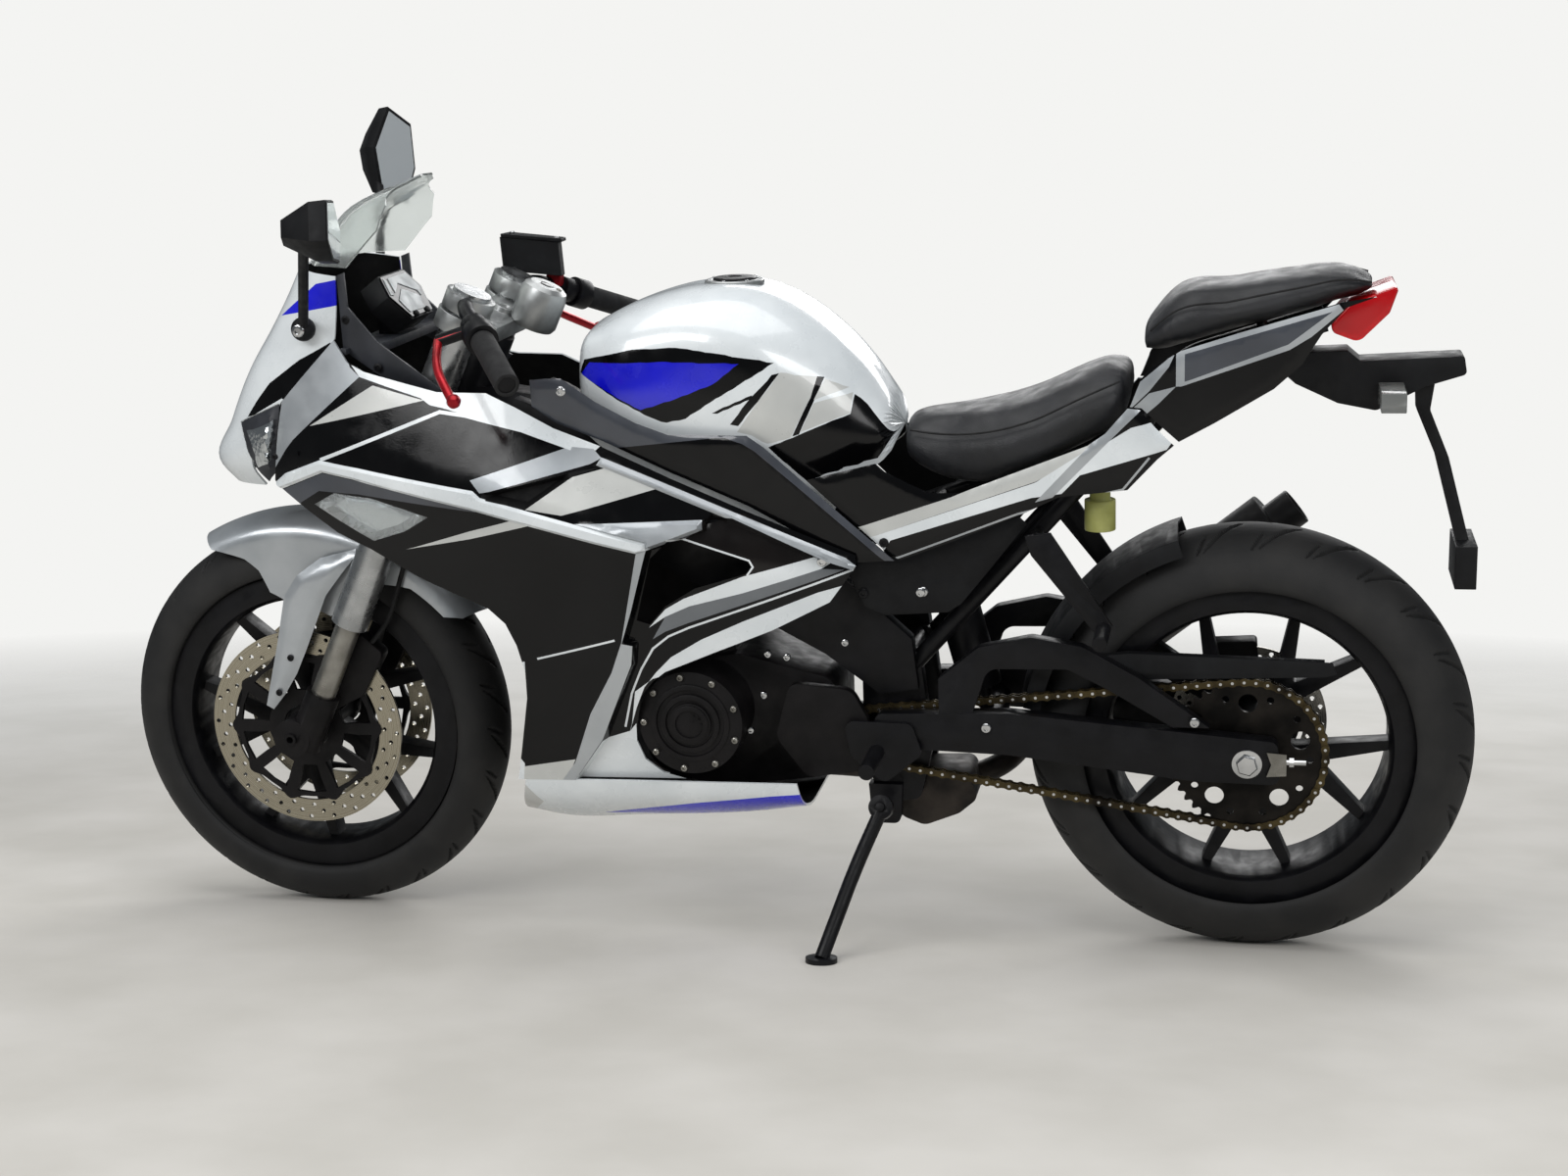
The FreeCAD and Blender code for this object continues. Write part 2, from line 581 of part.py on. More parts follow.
def front_fender():
    """Mudguard hoop around the front tyre with side skirts that reach the legs."""
    crown = FRONT_RADIUS + 14
    half = size("front_tyre_width") / 2 + 7
    edge = crown - 26
    body = doc.addObject("PartDesign::Body", "FenderHoop")
    wall = 3.5
    points = [vec(edge, -half, 0), vec(crown - 4, -half, 0), vec(crown + 9, -half * 0.45, 0),
              vec(crown + 14, 0, 0), vec(crown + 9, half * 0.45, 0), vec(crown - 4, half, 0),
              vec(edge, half, 0), vec(edge, half - wall, 0), vec(crown - 6, half - wall, 0),
              vec(crown + 5, half * 0.42, 0), vec(crown + 14 - wall - 1, 0, 0),
              vec(crown + 5, -half * 0.42, 0), vec(crown - 6, wall - half, 0), vec(edge, wall - half, 0)]
    lines = [Part.LineSegment(points[i - 1], points[i]) for i in range(len(points))]
    sketch = wheel_sketch(body, "FenderSection", lines)
    turn = body.newObject("PartDesign::Revolution", "FenderTurn")
    turn.Profile = sketch
    turn.ReferenceAxis = (sketch, ["V_Axis"])
    turn.Angle = 88
    base = FreeCAD.Placement(FRONT_AXLE, FreeCAD.Rotation(vec(1, 0, 0), -90))
    spin = FreeCAD.Placement(vec(0, 0, 0), FreeCAD.Rotation(vec(0, 0, 1), -122))
    body.Placement = base.multiply(spin)
    pieces = [body]
    skirt = [(-752, 566), (-690, 596), (-598, 586), (-552, 530), (-590, 478), (-640, 462), (-706, 494)]
    skirt = on_fender(skirt, crown)
    tongue = [(-590, 572, 6), (-656, 548, 8), (-698, 504, 20), (-742, 332, 4), (-731, 330, 4),
              (-689, 385, 20), (-667, 430, 20), (-633, 505, 20), (-588, 560, 6)]
    tongue = on_fender(tongue, crown)
    (pin_x, pin_z), = on_fender([(-634, 552)], crown)
    for side, tag in SIDE_NAMES:
        pieces.append(plate("FenderSkirt" + tag, skirt, "3.5", side * (half + 0.2)))
        tube_face = size("fork_half_spacing") - size("fork_tube_radius") - size("fit_gap")
        lug = cross_bar("FenderLug" + tag, "9", fork_point(215), side * (half - 3), side * tube_face)
        arm = plate("FenderTongue" + tag, tongue, "3.5", side * (half + 27))
        pin = cross_bar("TonguePin" + tag, "7", vec(pin_x, 0, pin_z), side * half, side * (half + 25))
        pieces.extend([lug, arm, pin])
    node("front_fender", fuse("front_fender", pieces))


# Room between a disc's face and the slot of its caliper, and past its rim.
DISC_ROOM = 1.5
DISC_RIM_ROOM = 3


def front_brake():
    """Calipers over the discs, each seated on the inner face of its casting, and the brake hose."""
    face = size("fork_half_spacing") - size("fork_casting_radius") - size("fit_gap")
    outline = [(-668, 352, 6), (-640, 404, 8), (-592, 446, 10), (-556, 415, 10), (-592, 350, 8),
               (-640, 326, 8)]
    near = size("front_disc_offset") + size("disc_thickness") / 2 + DISC_ROOM
    far = size("front_disc_offset") - size("disc_thickness") / 2 - DISC_ROOM
    calipers = []
    for side, tag in SIDE_NAMES:
        caliper = plate("CaliperBlock" + tag, outline, "29", side * face)
        slot = cross_bar("CaliperSlot" + tag, f"Sizes.front_disc_radius + {DISC_RIM_ROOM}", FRONT_AXLE,
                         side * near, side * far)
        calipers.append(cut("Caliper" + tag, caliper, slot))
    node("front_caliper", gather("front_caliper", calipers))
    # The hose leaves the caliper's top edge square and ends under the lower yoke. The other rows are
    # along the leg, behind it and across.
    foot = vec(-574.2, -69, 430.7)
    away = vec(0.6525, 0, 0.7578)
    rows = [(300, 38, -71), (385, 28, -64), (size("lower_yoke_height") - size("fit_gap"), 22, -58)]
    path = [foot + away * size("fit_gap"), foot + away * 45]
    path += [FORK_FOOT + STEER_UP * along + STEER_BACK * back + vec(0, across, 0)
             for along, back, across in rows]
    node("front_hose", pipe("front_hose", path, size("hose_radius")))


# Body panels. Each row of a form table is one upright section of the outer skin, front to back.
# Columns: x; then height and half width of the top edge, the crease, the sill and the foot.
FAIRING_FORM = [
    (-705, 905, 82, 770, 122, 690, 128, 600, 118),
    (-640, 905, 112, 755, 155, 680, 158, 560, 140),
    (-550, 905, 140, 738, 192, 640, 190, 500, 165),
    (-430, 880, 160, 705, 218, 580, 205, 400, 180),
    (-300, 830, 170, 672, 228, 500, 206, 235, 165),
    (-200, 775, 170, 645, 228, 440, 200, 235, 158),
    (-100, 725, 168, 622, 218, 400, 190, 235, 152),
    (20, 672, 166, 600, 200, 400, 180, 235, 150),
    (190, 612, 160, 560, 172, 450, 165, 235, 150),
]

# Side-view outlines; columns: x, z, corner radius where there is one.
FAIRING_OUTLINE = [
    (-650, 802), (-563, 888), (-513, 864), (-403, 826), (-333, 822), (-293, 801), (-239, 772),
    (-175, 747), (-81, 703), (25, 657), (170, 597), (156, 560, 20), (125, 523, 20), (14, 475, 30),
    (-70, 445, 30), (-112, 415, 20), (-138, 358, 30), (-143, 314, 20), (-118, 279, 20),
    (-79, 263), (-318, 263), (-297, 408, 60), (-305, 480, 40), (-341, 521, 20), (-438, 564),
    (-506, 605), (-618, 661), (-664, 688),
]
VENT_OUTLINE = [
    (-112, 612, 12), (-80, 618, 6), (22, 588, 8), (24, 570, 8), (-62, 534, 30), (-112, 492, 30),
    (-128, 512, 10),
]
INDICATOR_OUTLINE = [(-598, 662), (-562, 681), (-500, 677), (-416, 654), (-454, 632), (-504, 616)]
BELLY_OUTLINE = [
    (-316, 262.6), (-354, 184, 10), (-210, 188), (50, 206, 10), (90, 227, 10), (75, 262.6),
]
BELLY_FORM = [
    (-360, 263, 173, 186, 60), (-300, 263, 169, 184, 100), (-150, 263, 161, 188, 104),
    (0, 263, 156, 198, 104), (95, 263, 153, 210, 96),
]


def skin_panel(form, outline, side, holes=()):
    """Thin side panel: a faceted skin trimmed to its side-view outline."""
    wall = size("panel_wall")
    sections = []
    for x, *pairs in form:
        rim_points = list(zip(pairs[0::2], pairs[1::2]))
        outside = [vec(x, side * half, z) for z, half in rim_points]
        inside = [vec(x, side * (half - wall), z) for z, half in reversed(rim_points)]
        sections.append(outside + inside)
    skin = loft(sections)
    trimmed = skin.common(prism(outline, -400, 400))
    for hole in holes:
        trimmed = trimmed.cut(prism(hole, -400, 400))
    return trimmed


def side_fairings():
    """Both side panels and the clear lamps of the front indicators in them."""
    panels, lenses = [], []
    for side in SIDES:
        skin = skin_panel(FAIRING_FORM, FAIRING_OUTLINE, side, [VENT_OUTLINE, INDICATOR_OUTLINE])
        seat_y = size("frame_spar_half") + size("fit_gap")
        stay = Part.makeCylinder(7, 224 - seat_y, vec(-200, side * seat_y, 650), vec(0, side, 0))
        panels.append(skin.fuse(stay))
        lens = skin_panel(FAIRING_FORM, FAIRING_OUTLINE, side)
        lenses.append(lens.common(prism(INDICATOR_OUTLINE, -400, 400, size("fit_gap"))))
    node("side_fairings", feature("side_fairings", Part.makeCompound(panels)))
    node("front_indicators", feature("front_indicators", Part.makeCompound(lenses)))


def belly_pan():
    wall = size("panel_wall")
    sections = []
    for x, top_z, top_half, low_z, low_half in BELLY_FORM:
        sections.append([
            vec(x, -top_half, top_z), vec(x, -low_half, low_z), vec(x, low_half, low_z),
            vec(x, top_half, top_z), vec(x, top_half - wall, top_z),
            vec(x, low_half - wall / 2, low_z + wall), vec(x, wall / 2 - low_half, low_z + wall),
            vec(x, wall - top_half, top_z)])
    shape = loft(sections).common(prism(BELLY_OUTLINE, -400, 400))
    node("belly_pan", feature("belly_pan", shape))


# Cowl levels; columns: height, nose x, half width at the nose, half width behind.
COWL_FORM = [
    (672, -770, 60, 112), (700, -795, 62, 128), (765, -768, 66, 142), (845, -728, 62, 138),
    (895, -694, 58, 132), (945, -660, 60, 128), (990, -632, 64, 122),
]
COWL_BACK = -560
HEADLAMP_OUTLINE = [(-728, 768), (-653, 799), (-664, 702), (-692, 680), (-708, 712)]
# Flat backs of the lamps in plan; columns: x, y.
HEADLAMP_BACK = [(-760, 0), (-742, 34), (-716, 76), (-640, 100), (-600, 104), (-600, -104), (-640, -100),
                 (-716, -76), (-742, -34), (-760, 0)]
COWL_OUTLINE = [(-830, 674), (-700, 674), (-700, 740), (-651.5, 800.5), (-564.5, 890), (-552, 975, 14),
                (-620, 986), (-830, 986)]


def cowl_section(level, inset):
    """Level section of the cowl from one rear edge round the nose to the other."""
    height, nose_x, nose_half, back_half = level
    run = COWL_BACK - nose_x
    rows = [(COWL_BACK, back_half), (nose_x + 0.55 * run, back_half * 0.98),
            (nose_x + 0.2 * run, (nose_half + back_half) * 0.54), (nose_x + 0.03 * run, nose_half)]
    left = [vec(x + (inset if half == nose_half else 0), -(half - inset), height) for x, half in rows]
    nose = [vec(nose_x + inset, 0, height)]
    right = [vec(point.x, -point.y, height) for point in reversed(left)]
    return left + nose + right


def front_cowl():
    wall = size("panel_wall")
    outer = loft([cowl_section(level, 0) for level in COWL_FORM])
    (low, *low_row), *between, (high, *high_row) = COWL_FORM
    levels = [(low - 1, *low_row), *between, (high + 1, *high_row)]
    inner = loft([cowl_section(level, wall) for level in levels])
    shell = outer.cut(inner).common(prism(COWL_OUTLINE, -400, 400))
    node("front_cowl", feature("front_cowl", shell.cut(prism(HEADLAMP_OUTLINE, -400, 400))))
    core = Part.Face(Part.makePolygon([vec(x, y, 0) for x, y in HEADLAMP_BACK]))
    core = core.extrude(vec(0, 0, 1200))
    lamps = outer.common(prism(HEADLAMP_OUTLINE, -400, 400, size("fit_gap"))).cut(core)
    node("headlamps", feature("headlamps", lamps))


# Tank sections; columns: x, top z, crown half, shoulder half, shoulder z, side half, side z,
# foot half, foot z.
TANK_FORM = [
    (-238, 884, 40, 92, 868, 104, 846, 92, 762),
    (-160, 922, 58, 126, 892, 146, 826, 128, 716),
    (-60, 946, 68, 140, 902, 152, 832, 124, 658.7),
    (30, 940, 66, 136, 886, 148, 806, 118, 622),
    (110, 897, 56, 112, 852, 132, 780, 108, 626),
    (170, 838, 48, 92, 804, 112, 758, 96, 690),
    (216, 770, 38, 68, 762, 86, 746, 78, 726),
]


def tank():
    sections = []
    for x, top, crown, shoulder, shoulder_z, side_half, side_z, foot, foot_z in TANK_FORM:
        left = [vec(x, -crown, top - 3), vec(x, -shoulder, shoulder_z), vec(x, -side_half, side_z),
                vec(x, -foot, foot_z)]
        right = [vec(x, -point.y, point.z) for point in reversed(left)]
        sections.append([vec(x, 0, top)] + left + right)
    node("fuel_tank", feature("fuel_tank", loft(sections)))


# Seat sections; columns: x, top z, top half, edge half, edge z, foot z.
RIDER_SEAT_FORM = [
    (222, 757, 40, 78, 742, 712), (270, 759, 56, 96, 736, 690), (320, 765, 72, 116, 738, 686),
    (402, 785, 84, 134, 758, 712), (469, 815, 80, 126, 788, 742), (528, 838, 62, 106, 812, 770),
]
PILLION_SEAT_FORM = [
    (545, 872, 54, 88, 866, 852), (582, 918, 66, 104, 896, 866), (664, 934, 68, 106, 914, 890),
    (745, 946, 64, 98, 930, 910), (805, 951, 52, 84, 940, 925), (848, 938, 34, 60, 934, 930),
]


def seat(label, form):
    sections = []
    for x, top, top_half, edge_half, edge_z, foot_z in form:
        left = [vec(x, -top_half, top - 2), vec(x, -edge_half, edge_z), vec(x, 4 - edge_half, foot_z)]
        right = [vec(x, -point.y, point.z) for point in reversed(left)]
        sections.append([vec(x, 0, top)] + left + right)
    node(label, feature(label, loft(sections)))


# Flat-sided covers; columns of an outline: x, z, corner radius. Each row of COVERS: label, outline,
# inner half width and outer half width at the front and at the rear.
TANK_COVER_OUTLINE = [
    (-272, 836), (-240, 842), (-174, 802), (-112, 771), (-78, 759), (25, 759), (48, 743), (98, 698),
    (210, 592), (168, 602), (25, 662), (-81, 708), (-175, 752), (-239, 777),
]
SEAT_PANEL_OUTLINE = [
    (104, 698), (198, 720), (255, 688), (300, 676), (336, 687), (478, 736), (506, 760), (536, 780),
    (566, 764), (590, 740), (527, 685), (440, 672), (389, 648), (228, 588, 8),
]
TAIL_PANEL_OUTLINE = [
    (541, 800), (541, 852), (598, 864), (715, 898), (800, 921), (844, 927), (806, 914, 6), (776, 880, 6),
    (752, 842), (717, 811), (642, 768), (596, 744), (570, 768),
]
FRAME_COVER_OUTLINE = [
    (150, 574), (160, 536, 10), (186, 486, 12), (214, 484, 12), (285, 504, 12), (304, 516, 12), (394, 628, 4),
    (384, 638, 4), (228, 580), (176, 586),
]
LAMP_OUTLINE = [(782, 882, 10), (812, 916, 6), (874, 939.4, 4), (862, 904, 10), (824, 866, 14)]


def side_cover(outline, front_half, rear_half, wall, side, low_x, high_x):
    """Cover whose outer face leans from one half width at the front to another at the rear."""
    corners = [vec(low_x, side * front_half, 0), vec(high_x, side * rear_half, 0),
               vec(high_x, side * (rear_half - wall), 0), vec(low_x, side * (front_half - wall), 0)]
    face = Part.Face(Part.makePolygon(corners + [corners[0]]))
    slab = face.extrude(vec(0, 0, 1200))
    return slab.common(prism(outline, -400, 400))


# Covers; columns: label, outline, outer half width at the front and rear, front x, rear x, wall, and
# the place and the reach of the boss that seats the cover.
COVERS = [
    ("tank_side_covers", TANK_COVER_OUTLINE, 168, 158, -300, 230, 5, (-30, 728), 137.5),
    ("seat_side_panels", SEAT_PANEL_OUTLINE, 160, 122, 90, 600, 6, (330, 655), 90.4),
    ("tail_panels", TAIL_PANEL_OUTLINE, 126, 80, 540, 850, 5, (640, 846), 69.2),
    ("frame_covers", FRAME_COVER_OUTLINE, 118, 100, 140, 400, 5, (200, 494), 92.3),
]


def covers():
    for label, outline, front_half, rear_half, low_x, high_x, wall, (boss_x, boss_z), reach in COVERS:
        pair = []
        for side in SIDES:
            panel = side_cover(outline, front_half, rear_half, wall, side, low_x, high_x)
            share = (boss_x - low_x) / (high_x - low_x)
            inner = front_half + (rear_half - front_half) * share - wall / 2
            boss = Part.makeCylinder(8, inner - reach, vec(boss_x, side * inner, boss_z), vec(0, -side, 0))
            pair.append(panel.fuse(boss))
        node(label, feature(label, Part.makeCompound(pair)))
    lamp = prism(LAMP_OUTLINE, -64, 64)
    node("tail_lamp", feature("tail_lamp", lamp))


# Windscreen levels; columns: height, front x, shoulder x, shoulder half, edge x, edge half.
SCREEN_FORM = [
    (986.3, -640, -606, 88, -548, 116), (1030, -606, -570, 90, -506, 112),
    (1072, -556, -524, 84, -462, 104), (1104, -470, -452, 52, -430, 84),
]


def windscreen():
    """Curved clear screen that rises from the cowl."""
    wall = size("screen_wall")
    sections = []
    for z, front, shoulder, shoulder_half, edge, edge_half in SCREEN_FORM:
        left = [vec(edge, -edge_half, z), vec(shoulder, -shoulder_half, z),
                vec(front + 8, -shoulder_half * 0.45, z)]
        inner = [vec(edge, wall - edge_half, z), vec(shoulder + wall, wall - shoulder_half, z),
                 vec(front + 8 + wall, -shoulder_half * 0.45, z)]
        right = [vec(p.x, -p.y, z) for p in reversed(left)]
        inner_right = [vec(p.x, -p.y, z) for p in inner]
        sections.append(left + [vec(front, 0, z)] + right + inner_right
                        + [vec(front + wall, 0, z)] + list(reversed(inner)))
    node("windscreen", feature("windscreen", loft(sections)))


def dash():
    """Shroud inside the screen and the six-sided instrument pod that stands on it."""
    facing = vec(0.8, 0, 0.6)
    upward = vec(-0.6, 0, 0.8)
    middle = vec(-506, 0, 934)
    # The pod's face; columns: across, up the face.
    face = [(-66, 4), (-48, 38), (48, 38), (66, 4), (42, -38), (-42, -38)]
    corners = [middle + vec(0, across, 0) + upward * up for across, up in face]
    pod = Part.Face(Part.makePolygon(corners + [corners[0]])).extrude(facing * -34)
    foot = Part.makeBox(30, 60, 35, vec(-540, -30, 881))
    node("instrument_panel", feature("instrument_panel", pod.fuse(foot)))
    outline = [(-556, 872), (-557, 976), (-546, 980), (-544, 932), (-500, 884), (-448, 850), (-405, 822),
               (-416, 812), (-500, 838)]
    panels = [side_cover(outline, 126, 158, 5, side, -557, -405) for side in SIDES]
    bridge = Part.makeBox(56, 252, 12.7, vec(-556, -126, 868))
    lips = Part.makeBox(11, 286.4, 8, vec(-556, -143.2, 868))
    node("cockpit_trim", feature("cockpit_trim", bridge.multiFuse(panels + [lips])))


def mirrors():
    """Ball-footed stalks that carry five-sided housings, the right one turned upright."""
    # Columns: side, its name, middle of the glass, the way it faces, its long axis.
    rows = [(-1, "Left", vec(-474, -322, 1056), vec(0.96, 0.28, 0), vec(-0.27, 0.93, -0.24)),
            (1, "Right", vec(-634, 322, 1114), vec(0.88, -0.47, 0), vec(0.02, 0.04, 1))]
    # Glass outline as shares of its half length and half height.
    glass = [(-1, -0.55), (-0.86, 0.72), (0.15, 1), (1, 0.22), (0.62, -0.86), (-0.35, -1)]
    half_length, half_height, depth = 72, 42, 62
    heads = []
    for side, tag, middle, facing, along in rows:
        facing.normalize()
        over = facing.cross(along)
        over.normalize()
        along = over.cross(facing)
        base = vec(-604, side * 146.5, 905)
        sections = []
        for back, share in ((0, 1), (-depth * 0.35, 0.96), (-depth, 0.42)):
            centre = middle + facing * back
            sections.append([centre + along * (a * half_length * share) + over * (b * half_height * share)
                             for a, b in glass])
        housing = feature("MirrorHousing" + tag, loft(sections))
        foot = ball("MirrorFoot" + tag, "17", base)
        stalk = bar("MirrorStalk" + tag, "7", base, middle - facing * depth * 0.6)
        heads.append(fuse("Mirror" + tag, [foot, stalk, housing]))
    node("mirrors", gather("mirrors", heads))


def frame():
    """Head tube, twin spars, pivot plates and the side stand's bracket; the subframe behind them."""
    low, high = head_ends()
    head = bar("HeadTube", "Sizes.head_tube_radius", steer_point(low), steer_point(high))
    bore = bar("HeadBore", "Sizes.stem_radius + Sizes.fit_gap", steer_point(low - 5), steer_point(high + 5))
    stay_end = vec(-600, 0, 800)
    pieces = [head, bar("CowlStay", "9", steer_point((low + high) / 2), stay_end),
              cross_bar("CowlStayBar", "8", stay_end, -134.6, 134.6)]
    spar = [*on_head([(-338, 742), (-330, 700)]), (-120, 560), (110, 436), (185, 380), (240, 388), (232, 460),
            (90, 590), (-90, 672), *on_head([(-300, 790), (-322, 798)])]
    gusset = on_head([(-440, 728), (-300, 690), (-300, 790), (-408, 806)])
    pieces.append(plate("HeadGusset", gusset, "56", 28))
    pivot = [(159, 430, 10), (159, 300, 12), (178, 212, 10), (238, 222, 14), (256, 300, 10), (240, 440, 10)]
    half = size("subframe_half")
    rear = []
    for side, tag in SIDE_NAMES:
        pieces.append(plate("Spar" + tag, spar, "Sizes.frame_spar_width", side * size("frame_spar_half")))
        pieces.append(plate("PivotPlate" + tag, pivot, "Sizes.frame_spar_width",
                            side * size("pivot_plate_half")))
        rail = [vec(80, side * half, 570), vec(330, side * half, 654), vec(530, side * 66, 728),
                vec(590, side * 60, 830), vec(782, side * 47, 890)]
        rear.append(pipe("Rail" + tag, rail, size("subframe_radius"), 0.3))
        rear.append(bar("Strut" + tag, "Sizes.subframe_radius", vec(215, side * (half - 10), 400),
                        vec(500, side * (half - 10), 715)))
    (head_x, head_z), = on_head([(-315, 735)])
    # Cross tubes; columns: list they join, x, z, reach on each side.
    cross_tubes = [
        (pieces, head_x, head_z, 80), (pieces, -60, 636, 80), (pieces, 222, 425, 80),
        (pieces, 205, 262, 66), (rear, 500, 716, 66), (rear, 700, 858.3, 54),
        (rear, SHOCK_TUBE.x, SHOCK_TUBE.z, 80),
    ]
    for number, (group, x, z, reach) in enumerate(cross_tubes):
        group.append(cross_bar(f"Cross{number}", "12", vec(x, 0, z), -reach, reach))
    # Rests under the seats; columns: x, half width, foot z, top z.
    for number, (x, rest_half, foot_z, top_z) in enumerate([(380, 68, 672, 702), (700, 40, 856, 896.3)]):
        for side in SIDES:
            start = vec(x, side * rest_half, foot_z)
            rear.append(bar(f"SeatRest{number}{side}", "7", start, vec(x, side * rest_half, top_z)))
    # The fluid reservoir hangs from the left rail.
    rear.append(bar("ReservoirHanger", "5", vec(490, -69, 708), vec(490, -69, RESERVOIR_TOP)))
    pieces.append(stand_bracket())
    whole = fuse("FrameWhole", pieces)
    pivot_bore = cross_bar("FramePivotBore", "8 + Sizes.fit_gap", SWINGARM_PIVOT, -100, 100)
    node("main_frame", cut("main_frame", whole, fuse("FrameBores", [bore, pivot_bore])))
    node("subframe", cut("subframe", fuse("SubframeWhole", rear), whole))
    cup = bar("ReservoirCup", "21", vec(490, -69, RESERVOIR_TOP - 54), vec(490, -69, RESERVOIR_TOP - 12))
    cap = bar("ReservoirCap", "14", vec(490, -69, RESERVOIR_TOP - 14), vec(490, -69, RESERVOIR_TOP - 0.3))
    node("fluid_reservoir", fuse("fluid_reservoir", [cup, cap]))


def engine():
    """Crankcase with its leaning cylinder, side covers and the output sprocket."""
    case = plate("Case", [(-150, 405, 30), (-160, 262, 40), (-60, 230, 30), (96, 250, 30), (118, 290, 20),
                          (118, 396, 20), (-20, 430, 20)], "160", 80)
    barrel = plate("Barrel", [(-140, 395), (-215, 560), (-126, 612), (-20, 420)], "118", 59)
    left_middle = vec(-72, 0, 351)
    left = cross_bar("LeftCover", "74", left_middle, -160, -70)
    right = cross_bar("RightCover", "78", vec(-20, 0, 350), 70, 148)
    middle = size("chain_offset")
    thick = size("sprocket_thickness")
    shaft = cross_bar("OutputShaft", "13", FRONT_SPROCKET, -middle - 8, -40)
    neck = block("OutputNeck", vec(100, -70, 296), vec(146, 0, 340))
    gear = cross_bar("OutputGear", "Sizes.front_sprocket_radius - Sizes.chain_height / 2 - Sizes.fit_gap",
                     FRONT_SPROCKET, -middle - thick / 2, -middle + thick / 2)
    mount = cross_bar("EngineMount", "9", vec(-125, 0, 582), -65.7, 65.7)
    cap = cross_bar("LeftCap", "30", left_middle, -166, -150)
    cover_outline = [(62, 400, 16), (150, 392, 24), (172, 350, 20), (172, 276, 16), (84, 262, 20),
                     (40, 320, 24)]
    guard = plate("SprocketCover", cover_outline, "16", -119)
    pegs = [cross_bar(f"CoverPeg{number}", "8", vec(x, 0, z), -110, -60)
            for number, (x, z) in enumerate([(78, 384), (66, 318), (92, 276)])]
    node("engine", fuse("engine", [case, barrel, left, right, shaft, neck, gear, mount, cap, guard] + pegs))


def cooling():
    core = doc.addObject("Part::Box", "RadiatorCore")
    core.Length = 34
    core.Width = 250
    core.Height = 230
    core.Placement = FreeCAD.Placement(vec(-318, -125, 420), FreeCAD.Rotation(vec(0, 1, 0), -14))
    hangers = [bar(f"RadiatorHanger{side}", "7", vec(-352, side * 79, 632), vec(-325.5, side * 79, 695.2))
               for side in SIDES]
    node("radiator", fuse("radiator", [core] + hangers))


def exhaust():
    """Header from the cylinder, under the engine to the collector, and the raised silencer."""
    start, end = vec(448, 182, 352), vec(722, 196, 566)
    run = end - start
    run.normalize()
    header = pipe("Header", [vec(-195.3, 0, 515.9), vec(-258, 0, 487), vec(-264, 16, 340), vec(-236, 36, 211),
                             vec(-100, 40, 212), vec(60, 30, 229), vec(215, 24, 222)], size("header_radius"))
    box_outline = [(192, 246, 8), (202, 184, 20), (238, 170, 20), (288, 190, 20), (316, 214, 14),
                   (300, 250, 14)]
    box = plate("Collector", box_outline, "92", 46)
    link = pipe("Link", [vec(275, 24, 212), vec(345, 60, 232), vec(392, 130, 280), start - run * 50,
                         start - run * size("fit_gap")], size("link_pipe_radius"), 0.35)
    node("exhaust_pipe", fuse("exhaust_pipe", [header, box, link]))
    body = bar("SilencerBody", "Sizes.silencer_radius", start, end)
    tip = bar("SilencerTip", "Sizes.silencer_radius - 20", end - run * 5, end + run * 40)
    hole = bar("SilencerHole", "Sizes.silencer_radius - 24", end, end + run * 50)
    node("silencer", cut("silencer", fuse("SilencerWhole", [body, tip]), hole))


